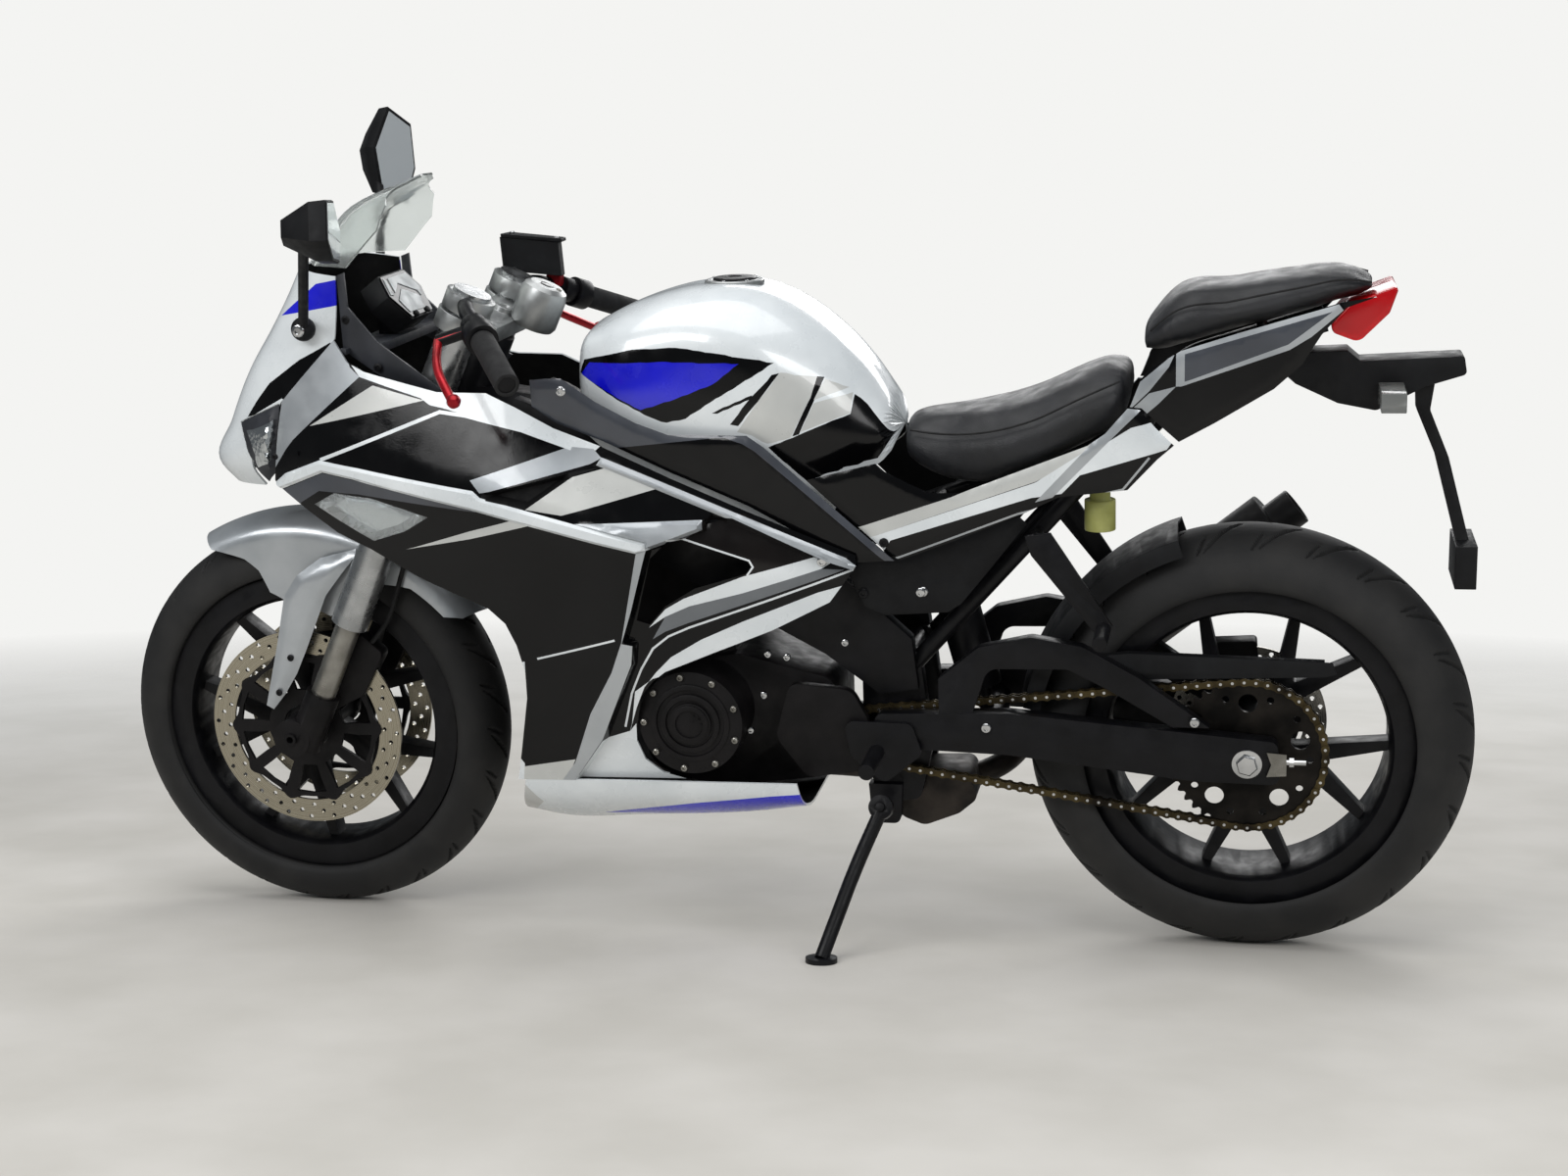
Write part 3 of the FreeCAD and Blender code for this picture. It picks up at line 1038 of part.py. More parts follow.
def rear_parts():
    """Shock, hugger, chain guard, rear fender with the plate arm, lamps and footpegs."""
    top = vec(SHOCK_TUBE.x, 0, SHOCK_TUBE.z - 12 - 15 - size("fit_gap"))
    run = SWING_BRIDGE - top
    run.normalize()
    bottom = SWING_BRIDGE - run * (20 + size("fit_gap"))
    spring = bar("ShockSpring", "30", top + run * 40, bottom - run * 30)
    rod = bar("ShockRod", "13", top + run * 10, bottom)
    eye = cross_bar("ShockEye", "15", top, -22, 22)
    node("rear_shock", fuse("rear_shock", [spring, rod, eye]))

    crown, half = REAR_RADIUS + 12, size("rear_tyre_width") / 2 + 4
    body = doc.addObject("PartDesign::Body", "HuggerHoop")
    points = [vec(crown - 30, -half, 0), vec(crown - 6, -half + 4, 0), vec(crown + 3, 0, 0),
              vec(crown - 6, half - 4, 0), vec(crown - 30, half, 0), vec(crown - 30, half - 3, 0),
              vec(crown - 9, half - 7, 0), vec(crown, 0, 0), vec(crown - 9, 7 - half, 0),
              vec(crown - 30, 3 - half, 0)]
    lines = [Part.LineSegment(points[i - 1], points[i]) for i in range(len(points))]
    sketch = wheel_sketch(body, "HuggerSection", lines)
    turn = body.newObject("PartDesign::Revolution", "HuggerTurn")
    turn.Profile = sketch
    turn.ReferenceAxis = (sketch, ["V_Axis"])
    turn.Angle = 62
    base = FreeCAD.Placement(REAR_AXLE, FreeCAD.Rotation(vec(1, 0, 0), -90))
    body.Placement = base.multiply(FreeCAD.Placement(vec(0, 0, 0), FreeCAD.Rotation(vec(0, 0, 1), -170)))
    inner = size("swingarm_inner_half") + 2.7
    # The stays hold the hoop by its front end, in from its crown.
    stay_x = REAR_AXLE.x - (crown - 22) * 0.878
    stay_z = REAR_AXLE.z + (crown - 22) * 0.478
    stay_outline = [(stay_x - 15, stay_z - 6), (stay_x + 15, stay_z - 6), (stay_x + 15, stay_z + 6),
                    (stay_x - 15, stay_z + 6)]
    stays = [plate(f"HuggerStay{side}", stay_outline, str(inner - half + 4), side * inner) for side in SIDES]
    node("rear_hugger", fuse("rear_hugger", [body] + stays))

    face = size("chain_offset") + size("chain_width") / 2 + 5
    guard_side = [(470, 408), (470, 440), (530, 447), (800, 440), (806, 424), (790, 420)]
    guard_top = [(472, 437), (530, 444), (790, 437.6), (790, 440.6), (530, 447), (472, 440)]
    guard = plate("GuardPlate", on_arm(guard_side), "3", -face)
    shelf = plate("GuardShelf", on_arm(guard_top), str(face - 80), -face)
    (lug_x, lug_z), = on_arm([(500, 420)])
    lug = cross_bar("GuardLug", "4", vec(lug_x, 0, lug_z), -size("swingarm_inner_half") - 2.7, -face + 1)
    node("chain_guard", fuse("chain_guard", [guard, shelf, lug]))

    outline = [(700, 846), (812, 850), (828, 836), (960, 842, 4), (964, 818, 6), (912, 802),
               (850, 770, 12), (800, 780), (745, 806)]
    # The plate's arm leans back further as the rear tyre does, so that the plate clears it.
    away = REAR_AXLE.x - DRAWN_REAR_AXLE.x
    arm = [(900, 812), (902, 770, 12), (928, 708, 20), (960, 586), (976, 590), (946, 704, 20), (920, 768, 12),
           (926, 812)]
    arm_top, arm_drop = 812, 226
    arm = [(x + away * (arm_top - z) / arm_drop, z, *corner) for x, z, *corner in arm]
    holder = block("PlateHolder", vec(956 + away, -55, 534), vec(984 + away, 55, 592))
    blade = plate("FenderBlade", outline, "60", 30)
    plate_arm = plate("PlateArm", arm, "26", 13)
    node("rear_fender", fuse("rear_fender", [blade, plate_arm, holder]))
    lamps = []
    for side, tag in SIDE_NAMES:
        lamps.append(block("RearIndicator" + tag, vec(852, min(side * 30.3, side * 118), 782),
                           vec(884, max(side * 30.3, side * 118), 808)))
    node("indicators", gather("indicators", lamps))

    heel_outline = [(140, 352, 12), (150, 300, 20), (196, 262, 12), (250, 306, 12), (236, 350, 12)]
    hanger_outline = [(396, 622), (430, 626), (512, 500), (490, 488), (404, 596)]
    pegs = []
    for side, tag in SIDE_NAMES:
        heel = plate("HeelPlate" + tag, heel_outline, "6", side * 134)
        peg = cross_bar("Peg" + tag, "11", vec(186, 0, 308), side * 132, side * 222)
        post = cross_bar("PegPost" + tag, "7", vec(194, 0, 298), side * 78.3, side * 130)
        pegs.append(fuse("RiderPeg" + tag, [heel, peg, post]))
        hanger = plate("Hanger" + tag, hanger_outline, "8", side * 150)
        rear_peg = cross_bar("RearPeg" + tag, "10", vec(500, 0, 496), side * 146, side * 226)
        post = cross_bar("HangerPost" + tag, "7", vec(408, 0, 613), side * 81.3, side * 146)
        pegs.append(fuse("PillionPeg" + tag, [hanger, rear_peg, post]))
    node("footpegs", gather("footpegs", pegs))


def drive():
    """Swingarm with the rear axle, its pivot bolt and the rear caliper."""
    inner, width = size("swingarm_inner_half"), size("swingarm_arm_width")
    outer = inner + width
    axle_x, axle_z = REAR_AXLE.x, REAR_AXLE.z
    pivot = SWINGARM_PIVOT
    arm = [(pivot.x - 26, pivot.z + 24, 12), (pivot.x + 160, 366), (axle_x + 40, axle_z + 30, 12),
           (axle_x + 44, axle_z - 30, 12), (axle_x - 70, axle_z - 28), (pivot.x + 160, 306),
           (pivot.x - 26, pivot.z - 24, 12)]
    brace = [(272, 362), (272, 412), (328, 458, 20), (400, 474, 20), (470, 462, 20), (545, 420), (640, 352),
             (590, 352), (505, 402), (450, 430, 20), (340, 428, 20), (318, 362)]
    brace = on_arm(brace, True)
    pieces = []
    for side, tag in SIDE_NAMES:
        beam = plate("Arm" + tag, arm, "Sizes.swingarm_arm_width", side * outer)
        arch = plate("Brace" + tag, brace, "Sizes.swingarm_arm_width - 6", side * (outer - 3))
        pieces.extend([beam, arch])
    pieces.append(cross_bar("SwingBridge", "20", SWING_BRIDGE, -inner - 2, inner + 2))
    pieces.append(cross_bar("RearAxleBar", "Sizes.axle_radius", REAR_AXLE, -outer - 8, outer + 8))
    pieces.append(cross_bar("PivotBolt", "8", pivot, -outer - 3.5, outer + 3.5))
    whole = fuse("SwingWhole", pieces)
    bore = cross_bar("RearAxleBore", "Sizes.axle_bore_radius", REAR_AXLE, -outer - 10, outer + 10)
    node("swingarm", cut("swingarm", whole, bore))

    near = size("rear_disc_offset")
    block_outline = on_arm([(628, 372, 6), (628, 420, 6), (700, 424, 6), (704, 376, 6)])
    caliper = plate("RearCaliperBlock", block_outline, "33", size("swingarm_inner_half") - size("fit_gap"))
    thick = size("disc_thickness") / 2 + DISC_ROOM
    slot = cross_bar("RearCaliperSlot", f"Sizes.rear_disc_radius + {DISC_RIM_ROOM}", REAR_AXLE,
                     near - thick, near + thick)
    bracket = plate("RearCaliperBracket", on_arm([(636, 322), (628, 382), (704, 382), (700, 322)]), "8",
                    size("swingarm_inner_half") - size("fit_gap"))
    node("rear_caliper", fuse("rear_caliper", [cut("RearCaliperCut", caliper, slot), bracket]))


def chain():
    """Fixed loop around both sprockets."""
    near, far = FRONT_SPROCKET, REAR_AXLE
    small, large = size("front_sprocket_radius"), size("rear_sprocket_radius")
    half = size("chain_height") / 2
    gap = far - near
    length = math.hypot(gap.x, gap.z)
    slope = math.atan2(gap.z, gap.x)
    lift = math.asin((large - small) / length)

    def at(centre, radius, angle):
        return vec(centre.x + radius * math.cos(angle), 0, centre.z + radius * math.sin(angle))

    def loop(grow):
        near_r, far_r = small + grow, large + grow
        top, low = slope + lift + math.pi / 2, slope - lift - math.pi / 2
        near_top, near_low = at(near, near_r, top), at(near, near_r, low)
        far_top, far_low = at(far, far_r, top), at(far, far_r, low)
        edges = [Part.LineSegment(near_top, far_top).toShape(),
                 Part.Arc(far_top, at(far, far_r, slope), far_low).toShape(),
                 Part.LineSegment(far_low, near_low).toShape(),
                 Part.Arc(near_low, at(near, near_r, slope + math.pi), near_top).toShape()]
        return Part.Face(Part.Wire(edges))
    width = size("chain_width")
    band = loop(half).cut(loop(-half))
    band.translate(vec(0, -size("chain_offset") - width / 2, 0))
    node("chain", feature("chain", band.extrude(vec(0, width, 0))))


# Side stand: its pivot, and the unit direction that its bolt runs, tilted so that the leg tucks in.
STAND_PIVOT = vec(190, -132, 226)
STAND_AXIS = vec(0, 0.925, -0.38)


def tyre_dip(width):
    """How far a tyre's round crown reaches below the upright ground line when the bike leans."""
    depth = size("tyre_shoulder_share") * width
    arc = (depth ** 2 + (width / 2) ** 2) / (2 * depth)
    return arc * (1 - math.cos(math.radians(size("lean_angle"))))


def stand_bracket():
    """Lug under the left pivot plate with the stand's bolt."""
    face = size("pivot_plate_half")
    bolt = bar("StandBolt", "Sizes.stand_pivot_radius", STAND_PIVOT - STAND_AXIS * 13,
               STAND_PIVOT + STAND_AXIS * 52)
    lug = plate("StandLug", [(166, 246), (214, 246), (210, 188, 10), (170, 188, 10)], "22", -face - 13)
    return fuse("StandLugWhole", [bolt, lug])


def stand():
    """Side stand, down on the ground."""
    lean = math.radians(size("lean_angle"))
    dip = max(tyre_dip(size("front_tyre_width")), tyre_dip(size("rear_tyre_width")))
    floor = GROUND * math.cos(lean) - dip
    level = FreeCAD.Placement(vec(0, 0, 0), FreeCAD.Rotation(vec(1, 0, 0), -size("lean_angle")))
    foot_x, foot_y = 123, -262
    foot = level.multVec(vec(foot_x, foot_y, floor + 5))
    knee = vec(158, -168, 150)
    leg = pipe("StandLeg", [STAND_PIVOT - vec(0, 0, 4), knee, foot], size("stand_radius"))
    eye = bar("StandEye", "17", STAND_PIVOT - STAND_AXIS * 8, STAND_PIVOT + STAND_AXIS * 8)
    pad = doc.addObject("Part::Cylinder", "StandPad")
    pad.Radius = 22
    pad.Height = 7
    pad.Placement = level.multiply(FreeCAD.Placement(vec(foot_x, foot_y, floor), FreeCAD.Rotation()))
    whole = fuse("StandWhole", [leg, eye, pad])
    bore = bar("StandBore", "Sizes.stand_pivot_radius + Sizes.fit_gap", STAND_PIVOT - STAND_AXIS * 40,
               STAND_PIVOT + STAND_AXIS * 40)
    under = doc.addObject("Part::Box", "StandGround")
    under.Length = 100
    under.Width = 100
    under.Height = 40
    corner = vec(foot_x - 50, foot_y - 50, floor - 40)
    under.Placement = level.multiply(FreeCAD.Placement(corner, FreeCAD.Rotation()))
    node("side_stand", cut("side_stand", whole, fuse("StandTools", [bore, under])))


def placed():
    """Lean every piece onto the stand and set the origin under the middle of the bike's box."""
    lean = FreeCAD.Rotation(vec(1, 0, 0), size("lean_angle"))
    for piece in NODES.values():
        own = piece.Placement
        piece.Placement = FreeCAD.Placement(vec(0, 0, 0), lean).multiply(own)
    doc.recompute()
    box = FreeCAD.BoundBox()
    for piece in NODES.values():
        box.add(piece.Shape.optimalBoundingBox(False))
    shift = vec(-box.Center.x, -box.Center.y, -box.ZMin)
    for piece in NODES.values():
        own = piece.Placement
        piece.Placement = FreeCAD.Placement(own.Base + shift, own.Rotation)
    doc.recompute()
    return FreeCAD.Placement(shift, lean)


wheels()
fork()
handlebars()
front_fender()
front_brake()
side_fairings()
belly_pan()
front_cowl()
tank()
seat("rider_seat", RIDER_SEAT_FORM)
seat("pillion_seat", PILLION_SEAT_FORM)
covers()
windscreen()
dash()
mirrors()
frame()
engine()
cooling()
exhaust()
rear_parts()
drive()
chain()
stand()
doc.recompute()
STANCE = placed()

for item in doc.Objects:
    if "Invalid" in item.State or "Error" in item.State:
        raise RuntimeError(f"{item.Name} failed to build: {item.State}")
os.makedirs("parts", exist_ok=True)
faulty = [label for label, piece in NODES.items()
          if piece.Shape.isNull() or not piece.Shape.isValid() or not piece.Shape.Solids]
if faulty:
    raise RuntimeError(f"no valid solid in {faulty}")
for label, piece in NODES.items():
    piece.Shape.exportStep(f"parts/{label}.step")
print(f"{len(NODES)} pieces, stance {STANCE}")
print(f"bend radii of the hose, mm: {BENDS['front_hose']}")
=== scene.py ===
# %% [markdown]
# A full-fairing sport bike leans on its side stand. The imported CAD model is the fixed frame. Painted
# panels, seats, lenses and small fittings are built around it, since skins, pads and paint lines are what
# Blender does well.
# %% Load the frame
import json
import math
import bpy
import numpy as np
from mathutils import Matrix, Vector
from mathutils.geometry import delaunay_2d_cdt


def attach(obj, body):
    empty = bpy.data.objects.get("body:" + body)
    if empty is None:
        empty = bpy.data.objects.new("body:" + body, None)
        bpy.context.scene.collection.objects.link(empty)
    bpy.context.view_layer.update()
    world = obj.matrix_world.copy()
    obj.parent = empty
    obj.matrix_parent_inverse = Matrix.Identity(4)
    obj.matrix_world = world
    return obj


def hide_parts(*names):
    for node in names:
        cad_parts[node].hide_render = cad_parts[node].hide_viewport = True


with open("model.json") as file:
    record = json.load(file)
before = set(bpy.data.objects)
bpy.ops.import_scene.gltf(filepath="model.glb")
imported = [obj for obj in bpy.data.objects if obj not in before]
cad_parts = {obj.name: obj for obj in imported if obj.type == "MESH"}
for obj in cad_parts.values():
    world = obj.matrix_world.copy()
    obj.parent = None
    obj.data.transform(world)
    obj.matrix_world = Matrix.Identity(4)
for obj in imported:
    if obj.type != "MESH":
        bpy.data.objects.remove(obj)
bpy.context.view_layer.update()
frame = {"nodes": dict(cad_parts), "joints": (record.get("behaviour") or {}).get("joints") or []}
CAD = frame["nodes"]
print(len(CAD), "nodes in the frame")

# %% [markdown]
# Every piece is drawn upright in millimetres: X to the rear, Y to the rider's right, Z up. The front
# wheel's joint tells where the leaning bike stands, so one matrix takes a drawn point to its place.
# %% Stance
FRONT_AXLE = Vector((-690, 0, 296))
REAR_AXLE = Vector((690, 0, 305))
joint_at = {joint["name"]: Vector(joint["pos_m"]) for joint in frame["joints"]}
LEAN_ANGLE = math.radians(10)
LEAN = Matrix.Rotation(LEAN_ANGLE, 4, "X")
MM = Matrix.Scale(0.001, 4)
shift = joint_at["front_wheel_spin"] - LEAN @ MM @ FRONT_AXLE
STANCE = Matrix.Translation(shift) @ LEAN @ MM
print("stance shift", [round(v, 4) for v in shift])

# %% [markdown]
# The camera stands where the photographer did, over three metres to the left, with a normal lens. Its
# place came from matching both wheels and the stand's foot.
# %% Camera
CAMERA_PLACE = Vector((0.706, -3.280, 0.761))
HEADING, DROP = 11.89, 4.6
camera_data = bpy.data.cameras.new("photo_camera")
camera_data.lens, camera_data.sensor_width = 52.29, 36
camera = bpy.data.objects.new("photo_camera", camera_data)
bpy.context.collection.objects.link(camera)
aim = Matrix.Rotation(math.radians(HEADING), 4, "Z") @ Matrix.Rotation(math.radians(90 - DROP), 4, "X")
camera.matrix_world = Matrix.Translation(shift + CAMERA_PLACE) @ aim
bpy.context.scene.camera = camera
print("camera at", [round(v, 3) for v in camera.matrix_world.translation])

# %% [markdown]
# A pale sky of plain colours: soft, bluish light falls on the bike, reflections get a dimmer grey so that
# black panels stay black, and the camera and the clear parts see a nearly white background.
# %% Sky
scene = bpy.context.scene
scene.view_settings.view_transform = "Standard"


def srgb(code):
    """Linear colour from a hex code."""
    values = [int(code[i:i + 2], 16) / 255 for i in (0, 2, 4)]
    return [v / 12.92 if v <= 0.04045 else ((v + 0.055) / 1.055) ** 2.4 for v in values] + [1.0]


def add(tree, kind, values=None, **settings):
    """Add one node; values are numbers for its inputs or the sockets that feed them."""
    node = tree.nodes.new("ShaderNode" + kind)
    for name, value in settings.items():
        setattr(node, name, value)
    for name, value in (values or {}).items():
        if isinstance(value, bpy.types.NodeSocket):
            tree.links.new(value, node.inputs[name])
        else:
            node.inputs[name].default_value = value
    return node


scene.world = bpy.data.worlds.new("pale_sky")
scene.world.use_nodes = True
sky = scene.world.node_tree
sky.nodes.clear()
rays = add(sky, "LightPath").outputs
seen = add(sky, "Math", {0: rays["Is Camera Ray"], 1: rays["Is Transmission Ray"]}, operation="MAXIMUM")
soft = add(sky, "Background", {"Color": srgb("DDE3EA"), "Strength": 0.46})
dim = add(sky, "Background", {"Color": srgb("C9CFD4"), "Strength": 0.22})
around = add(sky, "MixShader", {0: rays["Is Glossy Ray"], 1: soft.outputs[0], 2: dim.outputs[0]})
white = add(sky, "Background", {"Color": srgb("F4F4F2"), "Strength": 1.0})
mixed = add(sky, "MixShader", {0: seen.outputs[0], 1: around.outputs[0], 2: white.outputs[0]})
add(sky, "OutputWorld", {0: mixed.outputs[0]})
print("sky of", len(sky.nodes), "nodes")

# %% [markdown]
# One broad lamp above and three long ones at the sides give the daylight a direction, and their
# reflections draw the edges of the black panels. The floor is plain and pale and only catches the shadow.
# %% Lamps and floor
# Columns: name, place, target, width, length, watts.
LAMPS = [
    ("top_lamp", (-0.2, -0.6, 3.4), (0, 0, 0.5), 2.6, 3.6, 62),
    ("left_lamp", (-1.9, -3.4, 2.3), (-0.2, 0, 0.5), 1.2, 3.0, 72),
    ("rear_left_lamp", (2.6, -2.6, 1.9), (0.3, 0, 0.5), 1.0, 2.4, 40),
    ("right_lamp", (0.6, 3.4, 2.6), (0, 0, 0.6), 1.6, 3.0, 60),
]
for name, place, target, width, length, watts in LAMPS:
    lamp_data = bpy.data.lights.new(name, "AREA")
    lamp_data.shape = "RECTANGLE"
    lamp_data.size, lamp_data.size_y = length, width
    lamp_data.energy = watts
    lamp = bpy.data.objects.new(name, lamp_data)
    bpy.context.collection.objects.link(lamp)
    lamp.location = place
    lamp.rotation_euler = (Vector(target) - Vector(place)).to_track_quat("-Z", "Y").to_euler()

bpy.ops.mesh.primitive_plane_add(size=40, location=(0, 0, 0))
floor = bpy.context.object
floor.name = "floor"
print(len(LAMPS), "lamps and a floor")

# %% [markdown]
# A painted panel is plastic under a colour coat and a clear coat. One flat colour would look new, so
# tone and gloss wander a little, and a relief 2 mm from crest to crest is the orange peel of sprayed paint.
# %% Painted finishes
FINISH = {}


def begin(name, color, roughness, metallic=0.0, sockets=None):
    """Material with one principled shader on object coordinates."""
    material = bpy.data.materials.new(name)
    material.use_nodes = True
    material.diffuse_color = srgb(color)
    tree = material.node_tree
    tree.nodes.clear()
    shader = add(tree, "BsdfPrincipled", {"Base Color": srgb(color), "Roughness": roughness,
                                          "Metallic": metallic, **(sockets or {})})
    add(tree, "OutputMaterial", {0: shader.outputs[0]})
    where = add(tree, "TexCoord").outputs["Object"]
    FINISH[name] = material
    return tree, shader, where


def patches(tree, where, size, low, high, edges=(0.35, 0.65)):
    """Soft patches as numbers from low to high; size is patches per metre and detail."""
    cloud = add(tree, "TexNoise", {"Vector": where, "Scale": size[0], "Detail": size[1]})
    return add(tree, "MapRange", {0: cloud.outputs[0], 1: edges[0], 2: edges[1], 3: low, 4: high}).outputs[0]


def two_tone(tree, shader, pattern, dark, light):
    """Base colour that a pattern leads between two tones."""
    tones = add(tree, "Mix", {0: pattern, 6: srgb(dark), 7: srgb(light)}, data_type="RGBA")
    tree.links.new(tones.outputs[2], shader.inputs["Base Color"])


def relief(tree, shader, height, depth):
    """Raise the surface by a pattern; depth in metres."""
    bump = add(tree, "Bump", {"Height": height, "Distance": depth, "Strength": 1.0})
    tree.links.new(bump.outputs[0], shader.inputs["Normal"])


def grain(tree, shader, where, per_metre, detail, depth):
    """Even grain, as a tool, the sand or a spray gun leaves it."""
    cloud = add(tree, "TexNoise", {"Vector": where, "Scale": per_metre, "Detail": detail})
    relief(tree, shader, cloud.outputs[0], depth)


def used(tree, shader, where, tones, dust, rubbed, roughness):
    """Signs of use: dust in two tones, and patches rubbed smooth or gone dull."""
    two_tone(tree, shader, patches(tree, where, dust, 0, 1), *tones)
    tree.links.new(patches(tree, where, rubbed, *roughness), shader.inputs["Roughness"])


# Columns: name, dark, light, roughness, metallic; and what it gives the eye.
PAINTS = [
    ("pearl_white_paint", "CDD2D4", "DFE3E4", 0.28, 0.05),  # cool white that shades softly
    ("silver_paint", "9DA2A6", "B4B8BB", 0.34, 0.55),  # metal flake: bright faces, grey edges
    ("light_grey_paint", "B4B5B2", "C4C5C1", 0.32, 0.1),  # warmer and flatter than the white
    ("mid_grey_paint", "595D61", "6A6E72", 0.34, 0.2),  # reads as a shadow beside the white
    ("slate_grey_paint", "30333A", "3C4048", 0.36, 0.1),  # bluish, lifts edges off the black
    ("gloss_black_paint", "040405", "070708", 0.12, 0.0),  # a dark mirror for the lamps
    ("brown_black_paint", "0E0B0B", "151211", 0.2, 0.0),  # dusty black round the vent
    ("ultramarine_paint", "0404B0", "0608CC", 0.24, 0.0),  # full, deep blue without flake
]
PEEL_PER_METRE, PEEL_DEPTH = 480, 0.00005
for name, dark, light, roughness, metallic in PAINTS:
    # The black paints get less coat and shine, or the pale sky would turn them grey.
    black = "black" in name
    tree, shader, where = begin(name, light, roughness, metallic, {
        "Coat Weight": 0.06 if black else 0.8, "Coat Roughness": 0.05,
        "Specular IOR Level": 0.26 if black else 0.5})
    used(tree, shader, where, (dark, light), (9, 5), (30, 4), (roughness - 0.05, roughness + 0.08))
    grain(tree, shader, where, PEEL_PER_METRE, 1, PEEL_DEPTH)
PEARL, SILVER, BLACK, PALE, SLATE, BLUE = (
    f"{tone}_paint" for tone in "pearl_white silver gloss_black light_grey slate_grey ultramarine".split())
print("paints", len(PAINTS))

# %% [markdown]
# Moulded and cast surfaces take their grain from the tool or the sand: about 1 mm on moulded plastic,
# 2 to 3 mm on cast metal under satin black. On machined metal it is drawn coarser than life, so that it
# shows. One table and one loop make them all, since only numbers differ.
# %% Moulded, cast and machined finishes
# Columns: name, dark, light, roughness, metallic, grain per metre, grain depth in metres; and what it
# gives the eye.
GRAINED = [
    ("moulded_black_plastic", "0B0B0D", "131416", 0.55, 0.0, 900, 0.00012),  # dull, pebbled trim
    ("moulded_grey_plastic", "202227", "2A2C32", 0.50, 0.0, 900, 0.00010),  # dull, dark blue-grey
    ("satin_black_coating", "08080A", "0F0F12", 0.40, 0.0, 420, 0.00010),  # soft wide highlights
    ("cast_black_metal", "0A090A", "151314", 0.46, 0.1, 320, 0.00018),  # sandy under its coat
    ("inner_black_plastic", "070708", "0D0D0E", 0.70, 0.0, 700, 0.00010),  # unlit back of a panel
    ("grip_rubber", "0C0C0D", "161617", 0.80, 0.0, 600, 0.00020),  # no shine at all
    ("silver_cast_aluminium", "9A9C9C", "B9BBBA", 0.38, 0.85, 700, 0.00008),  # grey, blurred mirror
    ("anodised_silver_tube", "A3A5A6", "BDBFC0", 0.28, 0.95, 900, 0.00003),  # smooth, pale metal
    ("satin_steel_rod", "7A7872", "A09E98", 0.32, 0.95, 900, 0.00003),  # warmer, darker metal
    ("bright_plated_steel", "B5B6B7", "CFD0D1", 0.14, 1.0, 700, 0.00002),  # sharp small glints
    ("oiled_chain_steel", "211C15", "54492F", 0.46, 0.85, 500, 0.00010),  # brown, greasy glints
    ("black_sprocket_steel", "151413", "2A2724", 0.42, 0.8, 500, 0.00006),  # dark with bare teeth
    ("red_anodised_aluminium", "8E0B16", "B81222", 0.30, 0.6, 800, 0.00003),  # red with a metal core
    ("heat_stained_steel", "1B1816", "38322D", 0.48, 0.6, 260, 0.00010),  # brown bloom of a hot pipe
    ("matt_black_silencer", "0D0D0E", "191919", 0.52, 0.3, 500, 0.00008),  # flat, heat-proof black
    ("radiator_black_fins", "0B0B0C", "18191A", 0.50, 0.5, 500, 0.00010),  # dark, broken glints
    ("yellowed_clear_plastic", "8A8B4A", "A6A763", 0.35, 0.0, 400, 0.00005),  # fluid behind old plastic
    ("black_instrument_face", "050506", "0A0A0C", 0.16, 0.0, 300, 0.00002),  # glassy black
    ("silver_bezel_plastic", "8D9091", "A9ACAD", 0.26, 0.6, 500, 0.00003),  # plated plastic
    ("silver_display_film", "7E8283", "939798", 0.42, 0.2, 500, 0.00002),  # display switched off
    ("tyre_groove_painted_shade", "050505", "0B0B0B", 0.90, 0.0, 700, 0.00020),  # painted shade: darker black deep in the grooves
]
for name, dark, light, roughness, metallic, per_metre, depth in GRAINED:
    tree, shader, where = begin(name, light, roughness, metallic,
                                {"Specular IOR Level": 0.22 if "black" in name else 0.5})
    used(tree, shader, where, (dark, light), (22, 6), (60, 4), (roughness - 0.07, roughness + 0.1))
    grain(tree, shader, where, per_metre, 2, depth)
print("grained finishes", len(GRAINED))

# %% [markdown]
# Tyre rubber is dull, with pale dust in patches. Brake pads turn rings into the discs, and a ring pattern
# needs a radius: coordinates are moved to the axle, leaned with the bike and stripped of the part along it.
# %% Tyre rubber and brake discs
tree, shader, where = begin("tyre_rubber", "131315", 0.70)
two_tone(tree, shader, patches(tree, where, (14, 6), 0, 1, (0.42, 0.72)), "0C0C0D", "1D1C1B")
grain(tree, shader, where, 700, 3, 0.0002)


def turned_finish(name, axle_name, dark, light, roughness):
    """Metal with fine rings about a wheel's axle, as brake pads leave them."""
    tree, shader, where = begin(name, light, roughness, 1.0)
    upright = add(tree, "Mapping", {"Vector": where, "Location": joint_at[axle_name],
                                    "Rotation": (LEAN_ANGLE, 0, 0)}, vector_type="TEXTURE")
    flat = add(tree, "VectorMath", {0: upright.outputs[0], 1: (1, 0, 1)}, operation="MULTIPLY")
    radius = add(tree, "VectorMath", {0: flat.outputs[0]}, operation="LENGTH").outputs["Value"]
    rings = add(tree, "TexNoise", {"W": radius, "Scale": 900.0, "Detail": 4.0},
                noise_dimensions="1D").outputs[0]
    shade = add(tree, "MapRange", {0: rings, 1: 0.35, 2: 0.65, 3: 0, 4: 1})
    gloss = add(tree, "MapRange", {0: rings, 1: 0.35, 2: 0.65, 3: roughness - 0.08, 4: roughness + 0.1})
    two_tone(tree, shader, shade.outputs[0], dark, light)
    tree.links.new(gloss.outputs[0], shader.inputs["Roughness"])
    relief(tree, shader, rings, 0.00004)


# Stainless steel: the front pair is browned by heat and use, the rear one less.
turned_finish("front_disc_steel", "front_wheel_spin", "8D8674", "B5AF9F", 0.30)
turned_finish("rear_disc_steel", "rear_wheel_spin", "8D8A84", "B0AEA8", 0.30)
print("tyre rubber and two turned steels")

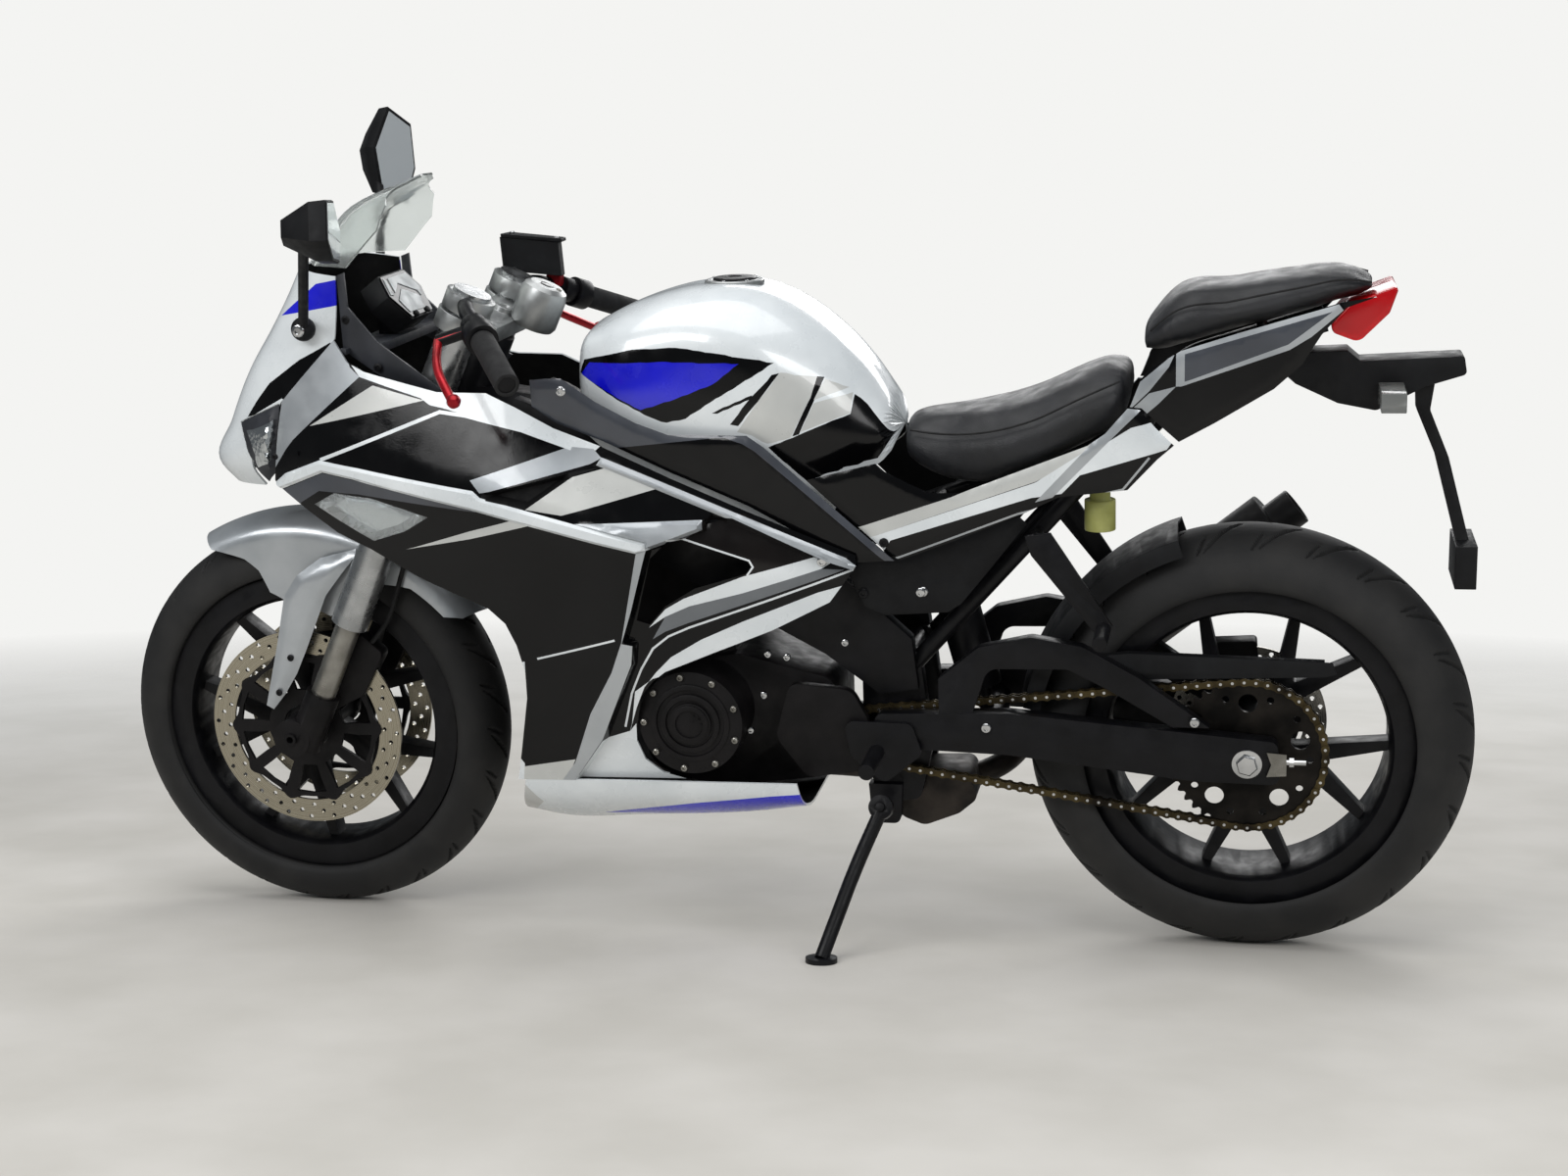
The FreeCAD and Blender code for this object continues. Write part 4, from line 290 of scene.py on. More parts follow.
# %% [markdown]
# The seats are black vinyl with a leather print. A cell pattern 2 mm across, with its borders sunk,
# reads as that print, and patches of gloss show where the rider slides.
# %% Seat vinyl
tree, shader, where = begin("seat_vinyl", "111215", 0.46)
used(tree, shader, where, ("0D0E11", "18191D"), (16, 5), (40, 3), (0.38, 0.55))
print_cells = add(tree, "TexVoronoi", {"Vector": where, "Scale": 520.0}, feature="DISTANCE_TO_EDGE")
creases = add(tree, "MapRange", {0: print_cells.outputs[0], 1: 0.0, 2: 0.35, 3: 0, 4: 1})
relief(tree, shader, creases.outputs[0], 0.00016)
print("leather print at", round(1000 / 520, 1), "mm")

# %% [markdown]
# Clear plastic with nothing on it would hardly show, so faint scuffs dull it here and there. Mirrors and
# the lamps' reflectors send light back.
# %% Clear plastics, mirror glass, chrome and floor
# Columns: name, colour, roughness, light let through, scuffs; and what it gives the eye.
CLEAR = [
    ("clear_screen_polycarbonate", "E9EEEC", 0.06, 0.92, 0.12),  # seen by its edges and scuffs
    ("clear_lens_polycarbonate", "F2F5F5", 0.04, 0.9, 0.06),  # shows the bowl behind it
    ("red_lens_acrylic", "C00812", 0.12, 0.35, 0.1),  # red with some depth
    ("smoked_lens_acrylic", "9A9C9A", 0.10, 0.6, 0.1),  # grey, half clear
]
for name, color, roughness, through, scuffs in CLEAR:
    tree, shader, where = begin(name, color, roughness, 0.0, {"Transmission Weight": through, "IOR": 1.49})
    haze = patches(tree, where, (70, 6), roughness, roughness + scuffs)
    tree.links.new(haze, shader.inputs["Roughness"])
    grain(tree, shader, where, 120, 2, 0.00003)

# Silvered glass: a calm, slightly grey mirror.
tree, shader, where = begin("mirror_glass", "DDE2E4", 0.02, 0.55)
tree.links.new(patches(tree, where, (25, 5), 0.01, 0.08), shader.inputs["Roughness"])
grain(tree, shader, where, 40, 2, 0.00001)

# Vapour-plated plastic: cells about 6 mm across break the light up as a reflector's facets do.
tree, shader, where = begin("reflector_chrome", "C8CCCE", 0.16, 1.0)
facets = add(tree, "TexVoronoi", {"Vector": where, "Scale": 160.0})
relief(tree, shader, facets.outputs[0], 0.0008)

# Worn concrete, nearly even; it fades out two to five metres away, so that no horizon shows.
tree, shader, where = begin("pale_floor", "C9C5BD", 0.85)
two_tone(tree, shader, patches(tree, where, (3, 8), 0, 1), "C2BEB6", "CFCBC4")
away = add(tree, "VectorMath", {0: where}, operation="LENGTH").outputs["Value"]
fade = add(tree, "MapRange", {0: away, 1: 1.9, 2: 5.0, 3: 1, 4: 0})
tree.links.new(fade.outputs[0], shader.inputs["Alpha"])
floor.data.materials.append(FINISH["pale_floor"])
print(len(FINISH), "finishes, of them clear", len(CLEAR))

# %% [markdown]
# The nodes whose CAD shape is already right keep it and only get their finish. The others get theirs
# too. Frame, arm, rims and bars are coated satin black, and so is every node that isn't listed.
# %% Finishes of the CAD nodes
NODE_FINISH = {
    "anodised_silver_tube": "fork_tubes", "black_sprocket_steel": "rear_sprocket",
    "cast_black_metal": "axle_castings front_caliper rear_caliper engine",
    "clear_lens_polycarbonate": "headlamps front_indicators",
    "clear_screen_polycarbonate": "windscreen", "front_disc_steel": "front_disc",
    "gloss_black_paint": "side_fairings seat_side_panels tail_panels",
    "grip_rubber": "grips front_hose", "heat_stained_steel": "exhaust_pipe",
    "matt_black_silencer": "silencer",
    "moulded_black_plastic": "frame_covers tank_side_covers instrument_panel mirrors rear_hugger "
                             "chain_guard rear_fender",
    "moulded_grey_plastic": "cockpit_trim", "oiled_chain_steel": "chain",
    "pearl_white_paint": "belly_pan front_cowl fuel_tank", "radiator_black_fins": "radiator",
    "rear_disc_steel": "rear_disc", "red_lens_acrylic": "tail_lamp",
    "satin_steel_rod": "fork_rods", "seat_vinyl": "rider_seat pillion_seat",
    "silver_cast_aluminium": "triple_clamps", "silver_paint": "front_fender",
    "smoked_lens_acrylic": "indicators", "tyre_rubber": "front_tyre rear_tyre",
    "yellowed_clear_plastic": "fluid_reservoir",
}
finish_of = dict.fromkeys(CAD, "satin_black_coating")
finish_of.update((label, finish) for finish, labels in NODE_FINISH.items() for label in labels.split())
for label, node_object in CAD.items():
    node_object.data.materials.clear()
    node_object.data.materials.append(FINISH[finish_of[label]])
print("finished", len(finish_of), "nodes")

# %% [markdown]
# A body panel's outline and paint lines are drawn flat, cut into triangles that keep every line, and
# lifted onto the curved surface. Subdividing a box would blur the lines, and this keeps them sharp, as
# masking tape does. The first tools measure flat points.
# %% Flat measures
def inside(points, outline):
    """True for each flat point inside a closed outline."""
    x, y = points[:, 0], points[:, 1]
    ring = np.asarray(outline, float)
    result = np.zeros(len(points), bool)
    for (x1, y1), (x2, y2) in zip(ring, np.roll(ring, -1, axis=0)):
        crosses = (y1 > y) != (y2 > y)
        with np.errstate(divide="ignore", invalid="ignore"):
            at = (x2 - x1) * (y - y1) / (y2 - y1) + x1
        result ^= crosses & (x < at)
    return result


def distance_to(points, line, closed=True):
    """Least distance from each flat point to a line."""
    ring = np.asarray(line, float)
    ends = np.roll(ring, -1, axis=0) if closed else ring[1:]
    best = np.full(len(points), 1e9)
    for a, b in zip(ring, ends):
        along = b - a
        share = np.clip(((points - a) @ along) / max(along @ along, 1e-9), 0, 1)
        best = np.minimum(best, np.hypot(*(points - a - share[:, None] * along).T))
    return best


def ramp(values):
    """Smooth step from 0 to 1."""
    values = np.clip(values, 0, 1)
    return values * values * (3 - 2 * values)


print("a quarter along, a smooth step is at", ramp(0.25))

# %% [markdown]
# Curved pieces are drawn as a table of sections, as a boat is lofted from its frames. Between two rows
# the values follow smooth curves that never overshoot where a value stays level.
# %% Curves through a form table
def between(keys, rows, key):
    """Rows of a table read at any key, with smooth curves through them."""
    keys, table = np.asarray(keys, float), np.asarray(rows, float)
    order = np.argsort(keys)
    keys, table = keys[order], table[order]
    slopes = np.gradient(table, keys, axis=0)
    steps = np.diff(keys)
    rise = np.diff(table, axis=0) / steps[:, None]
    for i, level in enumerate(np.abs(rise) < 1e-9):
        slopes[i][level] = slopes[i + 1][level] = 0
    key = np.clip(np.atleast_1d(np.asarray(key, float)), keys[0], keys[-1])
    cell = np.clip(np.searchsorted(keys, key, side="right") - 1, 0, len(keys) - 2)
    width = steps[cell][:, None]
    s = ((key - keys[cell]) / steps[cell])[:, None]
    return (table[cell] * (2 * s ** 3 - 3 * s ** 2 + 1) + slopes[cell] * width * (s ** 3 - 2 * s ** 2 + s)
            + table[cell + 1] * (3 * s ** 2 - 2 * s ** 3) + slopes[cell + 1] * width * (s ** 3 - s ** 2))


def form_rows(form, key):
    return between([row[0] for row in form], form, key)


def run_along(line):
    return np.concatenate([[0], np.cumsum(np.hypot(*np.diff(line, axis=0).T))])


print("halfway from 0 to 10:", form_rows([(0, 0), (1, 10)], 0.5)[0][1])

# %% [markdown]
# Triangles come from a constrained triangulation: the outline and every paint line are cut into short
# runs that it must keep, and a staggered grid of points fills the rest evenly.
# %% Flat cells
def taped_ends(ring, step):
    """Both ends of each short run that a closed line is cut into."""
    ring = [tuple(map(float, p)) for p in ring]
    ends = []
    for a, b in zip(ring, ring[1:] + ring[:1]):
        parts = max(1, round(math.dist(a, b) / step))
        marks = [(a[0] + (b[0] - a[0]) * k / parts, a[1] + (b[1] - a[1]) * k / parts)
                 for k in range(parts + 1)]
        for pair in zip(marks, marks[1:]):
            ends.extend(pair)
    return ends


def flat_cells(outline, lines, step, holes=()):
    """Triangles of a flat outline that keep every given line."""
    points = [end for ring in (outline, *lines, *holes) for end in taped_ends(ring, step)]
    edges = [(k, k + 1) for k in range(0, len(points), 2)]
    low, high = np.min(outline, axis=0), np.max(outline, axis=0)
    grid = np.array([(x, y) for j, y in enumerate(np.arange(low[1], high[1], step * 0.87))
                     for x in np.arange(low[0] + (j % 2) * step / 2, high[0], step)])
    grid = grid[inside(grid, outline)]
    near = np.full(len(grid), 1e9)
    for x, y in points:
        near = np.minimum(near, np.hypot(grid[:, 0] - x, grid[:, 1] - y))
    points += map(tuple, grid[near > step * 0.55])
    made = delaunay_2d_cdt([Vector(p) for p in points], edges, [], 0, 1e-4, False)
    flat, cells = np.array([tuple(v) for v in made[0]]), np.array(made[2])
    middle = flat[cells].mean(axis=1)
    keep = inside(middle, outline)
    for hole in holes:
        keep &= ~inside(middle, hole)
    cells = cells[keep]
    a, b, c = (flat[cells[:, k]] for k in range(3))
    cells = cells[np.abs(np.cross(b - a, c - a)) > 1e-3]
    kept, cells = np.unique(cells, return_inverse=True)
    return flat[kept], cells.reshape(-1, 3)


print(len(flat_cells([(0, 0), (10, 0), (10, 10), (0, 10)], [], 5)[1]), "cells in a small square")

# %% [markdown]
# A mesh from listed points keeps each triangle's finish. Each piece rides on a body and may stand in
# for CAD nodes.
# %% Pieces from points
def select(*objects):
    """Leave only these objects selected, the first one active."""
    bpy.ops.object.select_all(action="DESELECT")
    for item in objects:
        item.select_set(True)
    bpy.context.view_layer.objects.active = objects[0]


def mesh_piece(name, points, faces, finishes, chosen, angle=32):
    """Object whose mesh is given in upright millimetres."""
    mesh = bpy.data.meshes.new(name)
    placed = [STANCE @ Vector(p) for p in points]
    mesh.from_pydata(placed, [], [tuple(int(i) for i in face) for face in faces])
    for finish in finishes:
        mesh.materials.append(FINISH[finish])
    mesh.polygons.foreach_set("material_index", np.asarray(chosen, np.int32))
    mesh.update()
    made = bpy.data.objects.new(name, mesh)
    bpy.context.collection.objects.link(made)
    select(made)
    bpy.ops.object.shade_smooth_by_angle(angle=math.radians(angle))
    print(name, len(mesh.polygons), "faces")
    return made


def finish_piece(made, body, slot, *nodes):
    """Ride on a body and stand in for CAD nodes; the slot is not used."""
    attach(made, body)
    if nodes:
        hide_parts(*nodes)
    return made


# %% [markdown]
# A skin is the lifted sheet, a second sheet one wall's thickness behind it, and a rim of four-sided faces
# between them. Panels that come in pairs are drawn on the left and mirrored.
# %% Skins
def surface_normals(spots, cells):
    """Normals of a surface's points, from the cells round each."""
    a, b, c = (spots[cells[:, k]] for k in range(3))
    cell_normals = np.cross(b - a, c - a)
    normals = np.zeros_like(spots)
    for k in range(3):
        np.add.at(normals, cells[:, k], cell_normals)
    return normals / np.maximum(np.linalg.norm(normals, axis=1), 1e-9)[:, None]


def sheet_faces(cells, count):
    """Faces of a thin sheet's front, back and rim, and the front cell beside each rim face."""
    faces = [tuple(t) for t in cells] + [tuple(int(i) + count for i in t[::-1]) for t in cells]
    runs = {}
    for index, t in enumerate(cells):
        for i, j in ((t[0], t[1]), (t[1], t[2]), (t[2], t[0])):
            runs[int(i), int(j)] = index
    rim = [(ends, index) for ends, index in runs.items() if ends[::-1] not in runs]
    return faces + [(j, i, i + count, j + count) for (i, j), _ in rim], [index for _, index in rim]


def skin(name, place, outline, paint, base, step=9, wall=3.5, holes=(), mirrored=True,
         lining="inner_black_plastic", folds=()):
    """Panel from its flat outline, its paint in order, and the surface that carries it."""
    flat, cells = flat_cells(outline, [ring for _, ring in paint] + list(folds), step, holes)
    paints = dict.fromkeys(finish for finish, _ in paint)
    finishes = [base, lining] + [finish for finish in paints if finish not in (base, lining)]
    middle = flat[cells].mean(axis=1)
    chosen = np.zeros(len(cells), int)
    for finish, ring in paint:
        chosen[inside(middle, ring)] = finishes.index(finish)
    outer = place(flat)
    normals = surface_normals(outer, cells)
    # A left panel faces away from the bike's middle plane, and a wrapped one from its own middle.
    facing = (normals[:, 1].mean() * outer[:, 1].mean() if mirrored
              else (normals * (outer - outer.mean(axis=0))).sum(axis=1).mean())
    if facing < 0:
        cells, normals = cells[:, ::-1], -normals
    points = np.vstack([outer, outer - normals * wall])
    faces, beside = sheet_faces(cells, len(outer))
    chosen = [*chosen, *[1] * len(cells), *chosen[beside]]
    if mirrored:
        total = len(points)
        points = np.vstack([points, points * [1, -1, 1]])
        faces += [tuple(i + total for i in reversed(face)) for face in faces]
        chosen += chosen
    return mesh_piece(name, points, faces, finishes, chosen)


# %% [markdown]
# A stripe is an outline round its run. A relief is its edge and a second line beside it, where the step
# ends, so that the step is crisp.
# %% Lines on a panel
def thick_line(points, width):
    """Outlines of a painted line, one for each of its runs."""
    strips = []
    for (x1, y1), (x2, y2) in zip(points, points[1:]):
        run = Vector((x2 - x1, y2 - y1))
        side = Vector((-run.y, run.x)).normalized() * width / 2
        step = run.normalized() * width * 0.3
        back, ahead = (x1 - step.x, y1 - step.y), (x2 + step.x, y2 + step.y)
        strips.append([(back[0] + side.x, back[1] + side.y), (ahead[0] + side.x, ahead[1] + side.y),
                       (ahead[0] - side.x, ahead[1] - side.y), (back[0] - side.x, back[1] - side.y)])
    return strips


def offset_ring(ring, distance):
    """Closed line moved sideways by a distance, to the left of its run."""
    ring = np.asarray(ring, float)
    ahead = np.roll(ring, -1, axis=0) - ring
    ahead /= np.maximum(np.linalg.norm(ahead, axis=1), 1e-9)[:, None]
    both = ahead + np.roll(ahead, 1, axis=0)
    side = np.column_stack([-both[:, 1], both[:, 0]])
    length = np.linalg.norm(side, axis=1)
    side /= np.maximum(length, 0.8)[:, None] * np.maximum(length / 2, 0.6)[:, None]
    return [tuple(p) for p in ring + side * distance]


def fold_lines(ring, width):
    """A relief's edge and the line inside it where its step ends."""
    area = sum(a[0] * b[1] - b[0] * a[1] for a, b in zip(ring, ring[1:] + ring[:1]))
    return [ring, offset_ring(ring, width if area > 0 else -width)]


def shrunk(ring, share):
    """Ring drawn in towards its middle."""
    middle = np.mean(ring, axis=0)
    return [tuple(middle + (np.array(p) - middle) * share) for p in ring]


print("a shrunk square:", shrunk([(0, 0), (2, 0), (2, 2), (0, 2)], 0.5))

# %% [markdown]
# The side fairing leans out from the cockpit rim to a crease at the rider's knee and tucks in again
# towards the belly. Band, wing and blade stand proud of it, and the part behind the blade lies deeper,
# where the radiator's air comes out.
# %% Side fairings
# Columns: x; then height and half width of the top edge, the crease, the sill and the foot.
FAIRING_FORM = [
    (-705, 905, 82, 770, 122, 690, 128, 600, 118), (-640, 905, 112, 755, 155, 680, 158, 560, 140),
    (-550, 905, 140, 738, 192, 640, 190, 500, 165), (-430, 880, 160, 705, 218, 580, 205, 400, 180),
    (-300, 830, 170, 672, 228, 500, 206, 235, 165), (-200, 775, 170, 645, 228, 440, 200, 235, 158),
    (-100, 725, 168, 622, 218, 400, 190, 235, 152), (20, 672, 166, 600, 200, 400, 180, 235, 150),
    (190, 612, 160, 560, 172, 450, 165, 235, 150),
]
FAIRING_OUTLINE = [
    (-650, 802), (-563, 888), (-540, 860), (-513, 848), (-403, 822), (-333, 820), (-293, 801), (-239, 772),
    (-175, 747), (-81, 703), (25, 657), (170, 597), (171, 582), (156, 562), (132, 530), (53, 491), (-31, 458),
    (-100, 430), (-118, 416), (-137, 393), (-147, 350), (-151, 322), (-142, 293), (-118, 272), (-79, 263),
    (-326, 263), (-316, 309), (-299, 390), (-297, 430), (-305, 470), (-318, 502), (-341, 524), (-437, 564),
    (-510, 603), (-564, 624), (-618, 655), (-664, 684), (-668, 690),
]
# Edge of the blade at the rear, then the outlines of what stands proud or lies deep.
BLADE_REAR = [
    (-34, 648), (-35, 636), (-108, 612), (-136, 523), (-153, 476), (-138, 473), (-142, 445), (-196, 328),
    (-254, 248), (-318, 202),
]
BAND = [
    (-692, 669), (-647, 702), (-583, 726), (-518, 719), (-346, 693), (-336, 684), (-203, 648), (-109, 622),
    (-109, 610), (-121, 607), (-351, 667), (-530, 703), (-579, 709), (-673, 672),
]
WING = [(-205, 649), (-35, 649), (-34, 636), (-109, 611), (-109, 621)]
RIDGE = [(-179, 723), (-173, 733), (-5, 662), (157, 594), (171, 583), (165, 575), (133, 586), (-4, 650)]
VENT = [
    (-79, 623), (-65, 621), (24, 590), (29, 582), (23, 573), (-49, 553), (-92, 527), (-115, 501), (-133, 507),
    (-107, 597),
]
DUCT_HOLLOW = [(-332, 689), (-206, 716), (-175, 720), (-210, 709), (-272, 668), (-327, 680)]
# Paint in the order it is sprayed, each one over those before.
FAIRING_PAINT = [
    (SILVER, [
        (-720, 900), (-560, 900), (-534, 853), (-519, 841), (-630, 750), (-644, 735), (-720, 640)]),
    (BLACK, [(-631, 747), (-521, 838), (-498, 829), (-599, 772)]),
    (PALE, [(-498, 830), (-421, 811), (-599, 772)]),
    (BLACK, [(-644, 735), (-599, 770), (-421, 811), (-400, 802), (-580, 728), (-647, 704)]),
    (PEARL, [
        (-532, 856), (-500, 866), (-398, 834), (-339, 835), (-240, 790), (-170, 752), (-181, 742),
        (-220, 747), (-282, 772), (-360, 792), (-393, 801), (-412, 805), (-426, 814), (-519, 841)]),
    (SLATE, [
        (-690, 664), (-579, 708), (-530, 702), (-342, 678), (-343, 664), (-522, 682), (-588, 682),
        (-639, 653), (-700, 640)]),
    (PALE, [(-440, 610), (-356, 636), (-281, 656), (-260, 648), (-356, 625), (-455, 606)]),
    (PALE, [(-272, 668), (-210, 709), (-167, 719), (-94, 691), (-222, 660)]),
    ("brown_black_paint", [(-33, 648), (-30, 640), (20, 655), (133, 590), (25, 565), (-65, 622)]),
    (PALE, [(-342, 281), (-316, 283), (-239, 296), (-251, 272), (-316, 203), (-345, 199)]),
    (PEARL, [(-320, 440), (-296, 446), (-299, 402)]),
    (PEARL, [(-330, 312), (-314, 288), (-327, 206), (-350, 203)]),
    (PEARL, [
        (-197, 325), (-159, 338), (-149, 350), (-151, 322), (-142, 293), (-116, 272), (-60, 255), (-77, 220),
        (-213, 200), (-330, 200), (-254, 248)]),
    (PEARL, [
        (-142, 293), (-165, 322), (-155, 350), (-145, 400), (-118, 420), (-100, 425), (-31, 450), (53, 485),
        (138, 522), (160, 556), (116, 544), (13, 504), (-46, 478), (-90, 452), (-112, 430), (-131, 407),
        (-146, 374), (-159, 338)]),
    ("mid_grey_paint", [
        (-93, 512), (-59, 527), (15, 545), (122, 577), (153, 575), (56, 542), (-61, 503), (-95, 490),
        (-113, 479)]),
    (PEARL, [
        (-117, 496), (-92, 523), (-66, 538), (17, 569), (113, 593), (137, 586), (122, 577), (15, 545),
        (-59, 527), (-93, 512)]),
    (PEARL, BAND),
    (SILVER, WING),
    (SILVER, RIDGE),
    (SILVER, [
        (-350, 707), (-216, 748), (-184, 744), (-173, 732), (-187, 725), (-323, 692), (-336, 690)]),
    ("inner_black_plastic", DUCT_HOLLOW),
    (SILVER, [
        (-121, 610), (-108, 612), (-136, 523), (-153, 476), (-138, 473), (-142, 445), (-196, 328),
        (-254, 248), (-318, 202), (-266, 257), (-240, 291), (-209, 368), (-171, 433), (-153, 478)]),
]
# Columns: run of a painted stripe, width.
STRIPES = [
    ([(-276, 451), (-163, 481)], 3),
    ([(-580, 727), (-397, 796), (-360, 791), (-282, 771), (-215, 746)], 5),
    ([(165, 575), (55, 536), (-61, 496), (-91, 483), (-114, 465), (-133, 434), (-150, 397), (-165, 345)], 3),
    ([(-79, 625), (-63, 623), (26, 591), (31, 582), (23, 571)], 2.5),
]
for line, width in STRIPES:
    FAIRING_PAINT += [(PEARL, strip) for strip in thick_line(line, width)]
print(len(FAIRING_PAINT), "paint outlines")

# %% [markdown]
# The skin is read from the table, its creases softened by an average over a few heights. Band, wing and
# ridge are then raised and the hollow and the rear part let in, each by a smooth step from its edge.
# %% Side fairing skin
# Columns: outline, rise, run of its step.
RELIEFS = [(BAND, 4, 4), (WING, 7, 5), (RIDGE, 3.5, 4), (DUCT_HOLLOW, -16, 7)]
BEHIND_BLADE = BLADE_REAR + [(-318, 150), (300, 150), (300, 600), (171, 583), (165, 575), (-4, 650)]
BLADE_STEP, BLADE_RUN = 15, 5
CREASE_LIFTS = (-24, -12, 0, 12, 24)
INDICATOR = [(-598, 662), (-562, 681), (-500, 677), (-416, 654), (-454, 632), (-504, 616)]


def fairing_half(flat):
    """Half width of the smooth skin at side-view points."""
    rows = form_rows(FAIRING_FORM, flat[:, 0])
    heights, halves = rows[:, 7::-2], rows[:, 8:0:-2]
    half = np.zeros(len(flat))
    for lift in CREASE_LIFTS:
        for index, z in enumerate(flat[:, 1]):
            half[index] += np.interp(z + lift, heights[index], halves[index]) / len(CREASE_LIFTS)
    return half


def fairing_surface(flat):
    """Skin with its proud band, wing and ridge and its deeper rear part."""
    half = fairing_half(flat)
    step = BLADE_STEP * ramp(distance_to(flat, BLADE_REAR, False) / BLADE_RUN)
    half -= np.where(inside(flat, BEHIND_BLADE), step, 0)
    for ring, rise, run in RELIEFS:
        half += np.where(inside(flat, ring), rise * ramp(distance_to(flat, ring) / run), 0)
    return np.column_stack([flat[:, 0], -half, flat[:, 1]])


folds = [line for ring, _, run in RELIEFS for line in fold_lines(ring, run)]
folds += thick_line(BLADE_REAR, 2 * BLADE_RUN)
fairings = skin("side_fairings_skin", fairing_surface, FAIRING_OUTLINE, FAIRING_PAINT, BLACK,
                9, 3.5, [VENT, INDICATOR], folds=folds)
finish_piece(fairings, "chassis", "white_paint", "side_fairings")

# %% [markdown]
# The cowl wraps round the nose, so a side view can't hold it. It is drawn on its own skin instead: how
# far round from the middle of the nose, and how high. Each level is one smooth ring.
# %% Cowl surface
# Columns: height, nose x, half width at the nose, half width behind.
COWL_FORM = [
    (672, -770, 60, 112), (700, -795, 62, 128), (765, -768, 66, 142), (845, -728, 62, 138),
    (895, -694, 58, 132), (945, -660, 60, 128), (990, -632, 64, 122),
]
COWL_BACK, COWL_TURN = -560, 260
COWL_LOW, COWL_HIGH = COWL_FORM[0][0], COWL_FORM[-1][0]
RING_POINTS = 41


def cowl_ring(height):
    """Points of one level from the middle of the nose round to its rear edge."""
    _, nose_x, nose_half, back_half = form_rows(COWL_FORM, height)[0]
    run = COWL_BACK - nose_x
    ring = np.array([(nose_x, 0), (nose_x + 0.03 * run, -nose_half),
                     (nose_x + 0.2 * run, -(nose_half + back_half) * 0.54),
                     (nose_x + 0.55 * run, -back_half * 0.98), (COWL_BACK, -back_half)])
    whole = np.vstack([ring[:0:-1] * [1, -1], ring])
    return between(np.linspace(-1, 1, len(whole)), whole, np.linspace(0, 1, RING_POINTS))


COWL_RINGS = np.array([cowl_ring(z) for z in np.linspace(COWL_LOW, COWL_HIGH, 54)])


def on_rings(rings, level, share):
    """Spots between rings; level counts rings, and share runs from 0 to 1 round a ring."""
    share = np.clip(share, 0, 1) * (RING_POINTS - 1)
    i, j = np.minimum(share.astype(int), RING_POINTS - 2), np.minimum(level.astype(int), len(rings) - 2)
    u, v = (share - i)[:, None], (level - j)[:, None]
    return ((rings[j, i] * (1 - u) + rings[j, i + 1] * u) * (1 - v)
            + (rings[j + 1, i] * (1 - u) + rings[j + 1, i + 1] * u) * v)


def cowl_level(height):
    return np.clip((height - COWL_LOW) / (COWL_HIGH - COWL_LOW), 0, 1) * (len(COWL_RINGS) - 1)


def cowl_surface(flat):
    """Points of the cowl from distance round and height."""
    spot = on_rings(COWL_RINGS, cowl_level(flat[:, 1]), np.abs(flat[:, 0]) / COWL_TURN)
    return np.column_stack([spot[:, 0], spot[:, 1] * np.where(flat[:, 0] < 0, -1, 1), flat[:, 1]])


print(len(COWL_RINGS), "cowl rings of", RING_POINTS, "points")

# %% [markdown]
# Outline, headlamp openings and paint are drawn in side view, as the photograph shows them, and moved
# onto the cowl's skin and its mirror image.
# %% Front cowl
def on_cowl(points):
    """Side-view points as distance round and height, on one side."""
    round_at = np.linspace(0, COWL_TURN, RING_POINTS)
    return [(-float(np.interp(x, COWL_RINGS[int(cowl_level(z))][:, 0], round_at)), z) for x, z in points]


def both_sides(ring, across=0):
    """A flat ring and its mirror image; across is the coordinate that changes its sign."""
    signs = (1, -1) if across else (-1, 1)
    return [ring, [(a * signs[0], b * signs[1]) for a, b in reversed(ring)]]


COWL_EDGE = [
    (-700, 674), (-700, 740), (-652, 801), (-608, 845), (-565, 889), (-560, 940), (-556, 975), (-620, 986),
]
HEADLAMP = [
    (-728, 768), (-690, 785), (-655, 799), (-660, 750), (-665, 703), (-692, 680), (-709, 712), (-720, 740),
]
COWL_PAINT = [
    (BLACK, [
        (-714, 776), (-695, 800), (-672, 826), (-620, 860), (-572, 884), (-534, 870), (-639, 748),
        (-637, 800), (-650, 806), (-700, 780)]),
    (SILVER, [
        (-667, 748), (-640, 775), (-560, 850), (-520, 890), (-520, 880), (-600, 780), (-660, 735)]),
    (BLACK, [(-664, 735), (-640, 700), (-640, 660), (-664, 690)]),
    (BLUE, [(-655, 918), (-590, 965), (-560, 970), (-560, 935), (-620, 925)]),
]
edge, mirrored_edge = both_sides(on_cowl(COWL_EDGE))
cowl_paint = [(finish, side) for finish, ring in COWL_PAINT for side in both_sides(on_cowl(ring))]
cowl = skin("front_cowl_skin", cowl_surface, edge + mirrored_edge, cowl_paint, PEARL, 9, 3.5,
            both_sides(on_cowl(HEADLAMP)), False)
finish_piece(cowl, "chassis", "white_paint", "front_cowl")

# %% [markdown]
# Each headlamp is a clear lens that carries on the cowl's skin, and a chromed bowl that fills the
# opening. Both are cut from the cowl's own surface, so that they follow its curve.
# %% Headlamps
lamp_ring = on_cowl(HEADLAMP)
lens_ring = shrunk(lamp_ring, 0.985)
lens = skin("headlamp_lenses", cowl_surface, lens_ring, [], "clear_lens_polycarbonate", 7, 2.5,
            lining="clear_lens_polycarbonate")
finish_piece(lens, "chassis", "clear", "headlamps")


def bowl_surface(flat):
    """The cowl's surface, domed to the rear and to its side towards the middle of the lamp."""
    edge_shift, middle_shift, blend = 4, 34, 26
    away = ramp(distance_to(flat, lens_ring) / blend)
    shifts = edge_shift + (middle_shift - edge_shift) * away
    return cowl_surface(flat) + np.array([0.55, 0.83, 0]) * shifts[:, None]


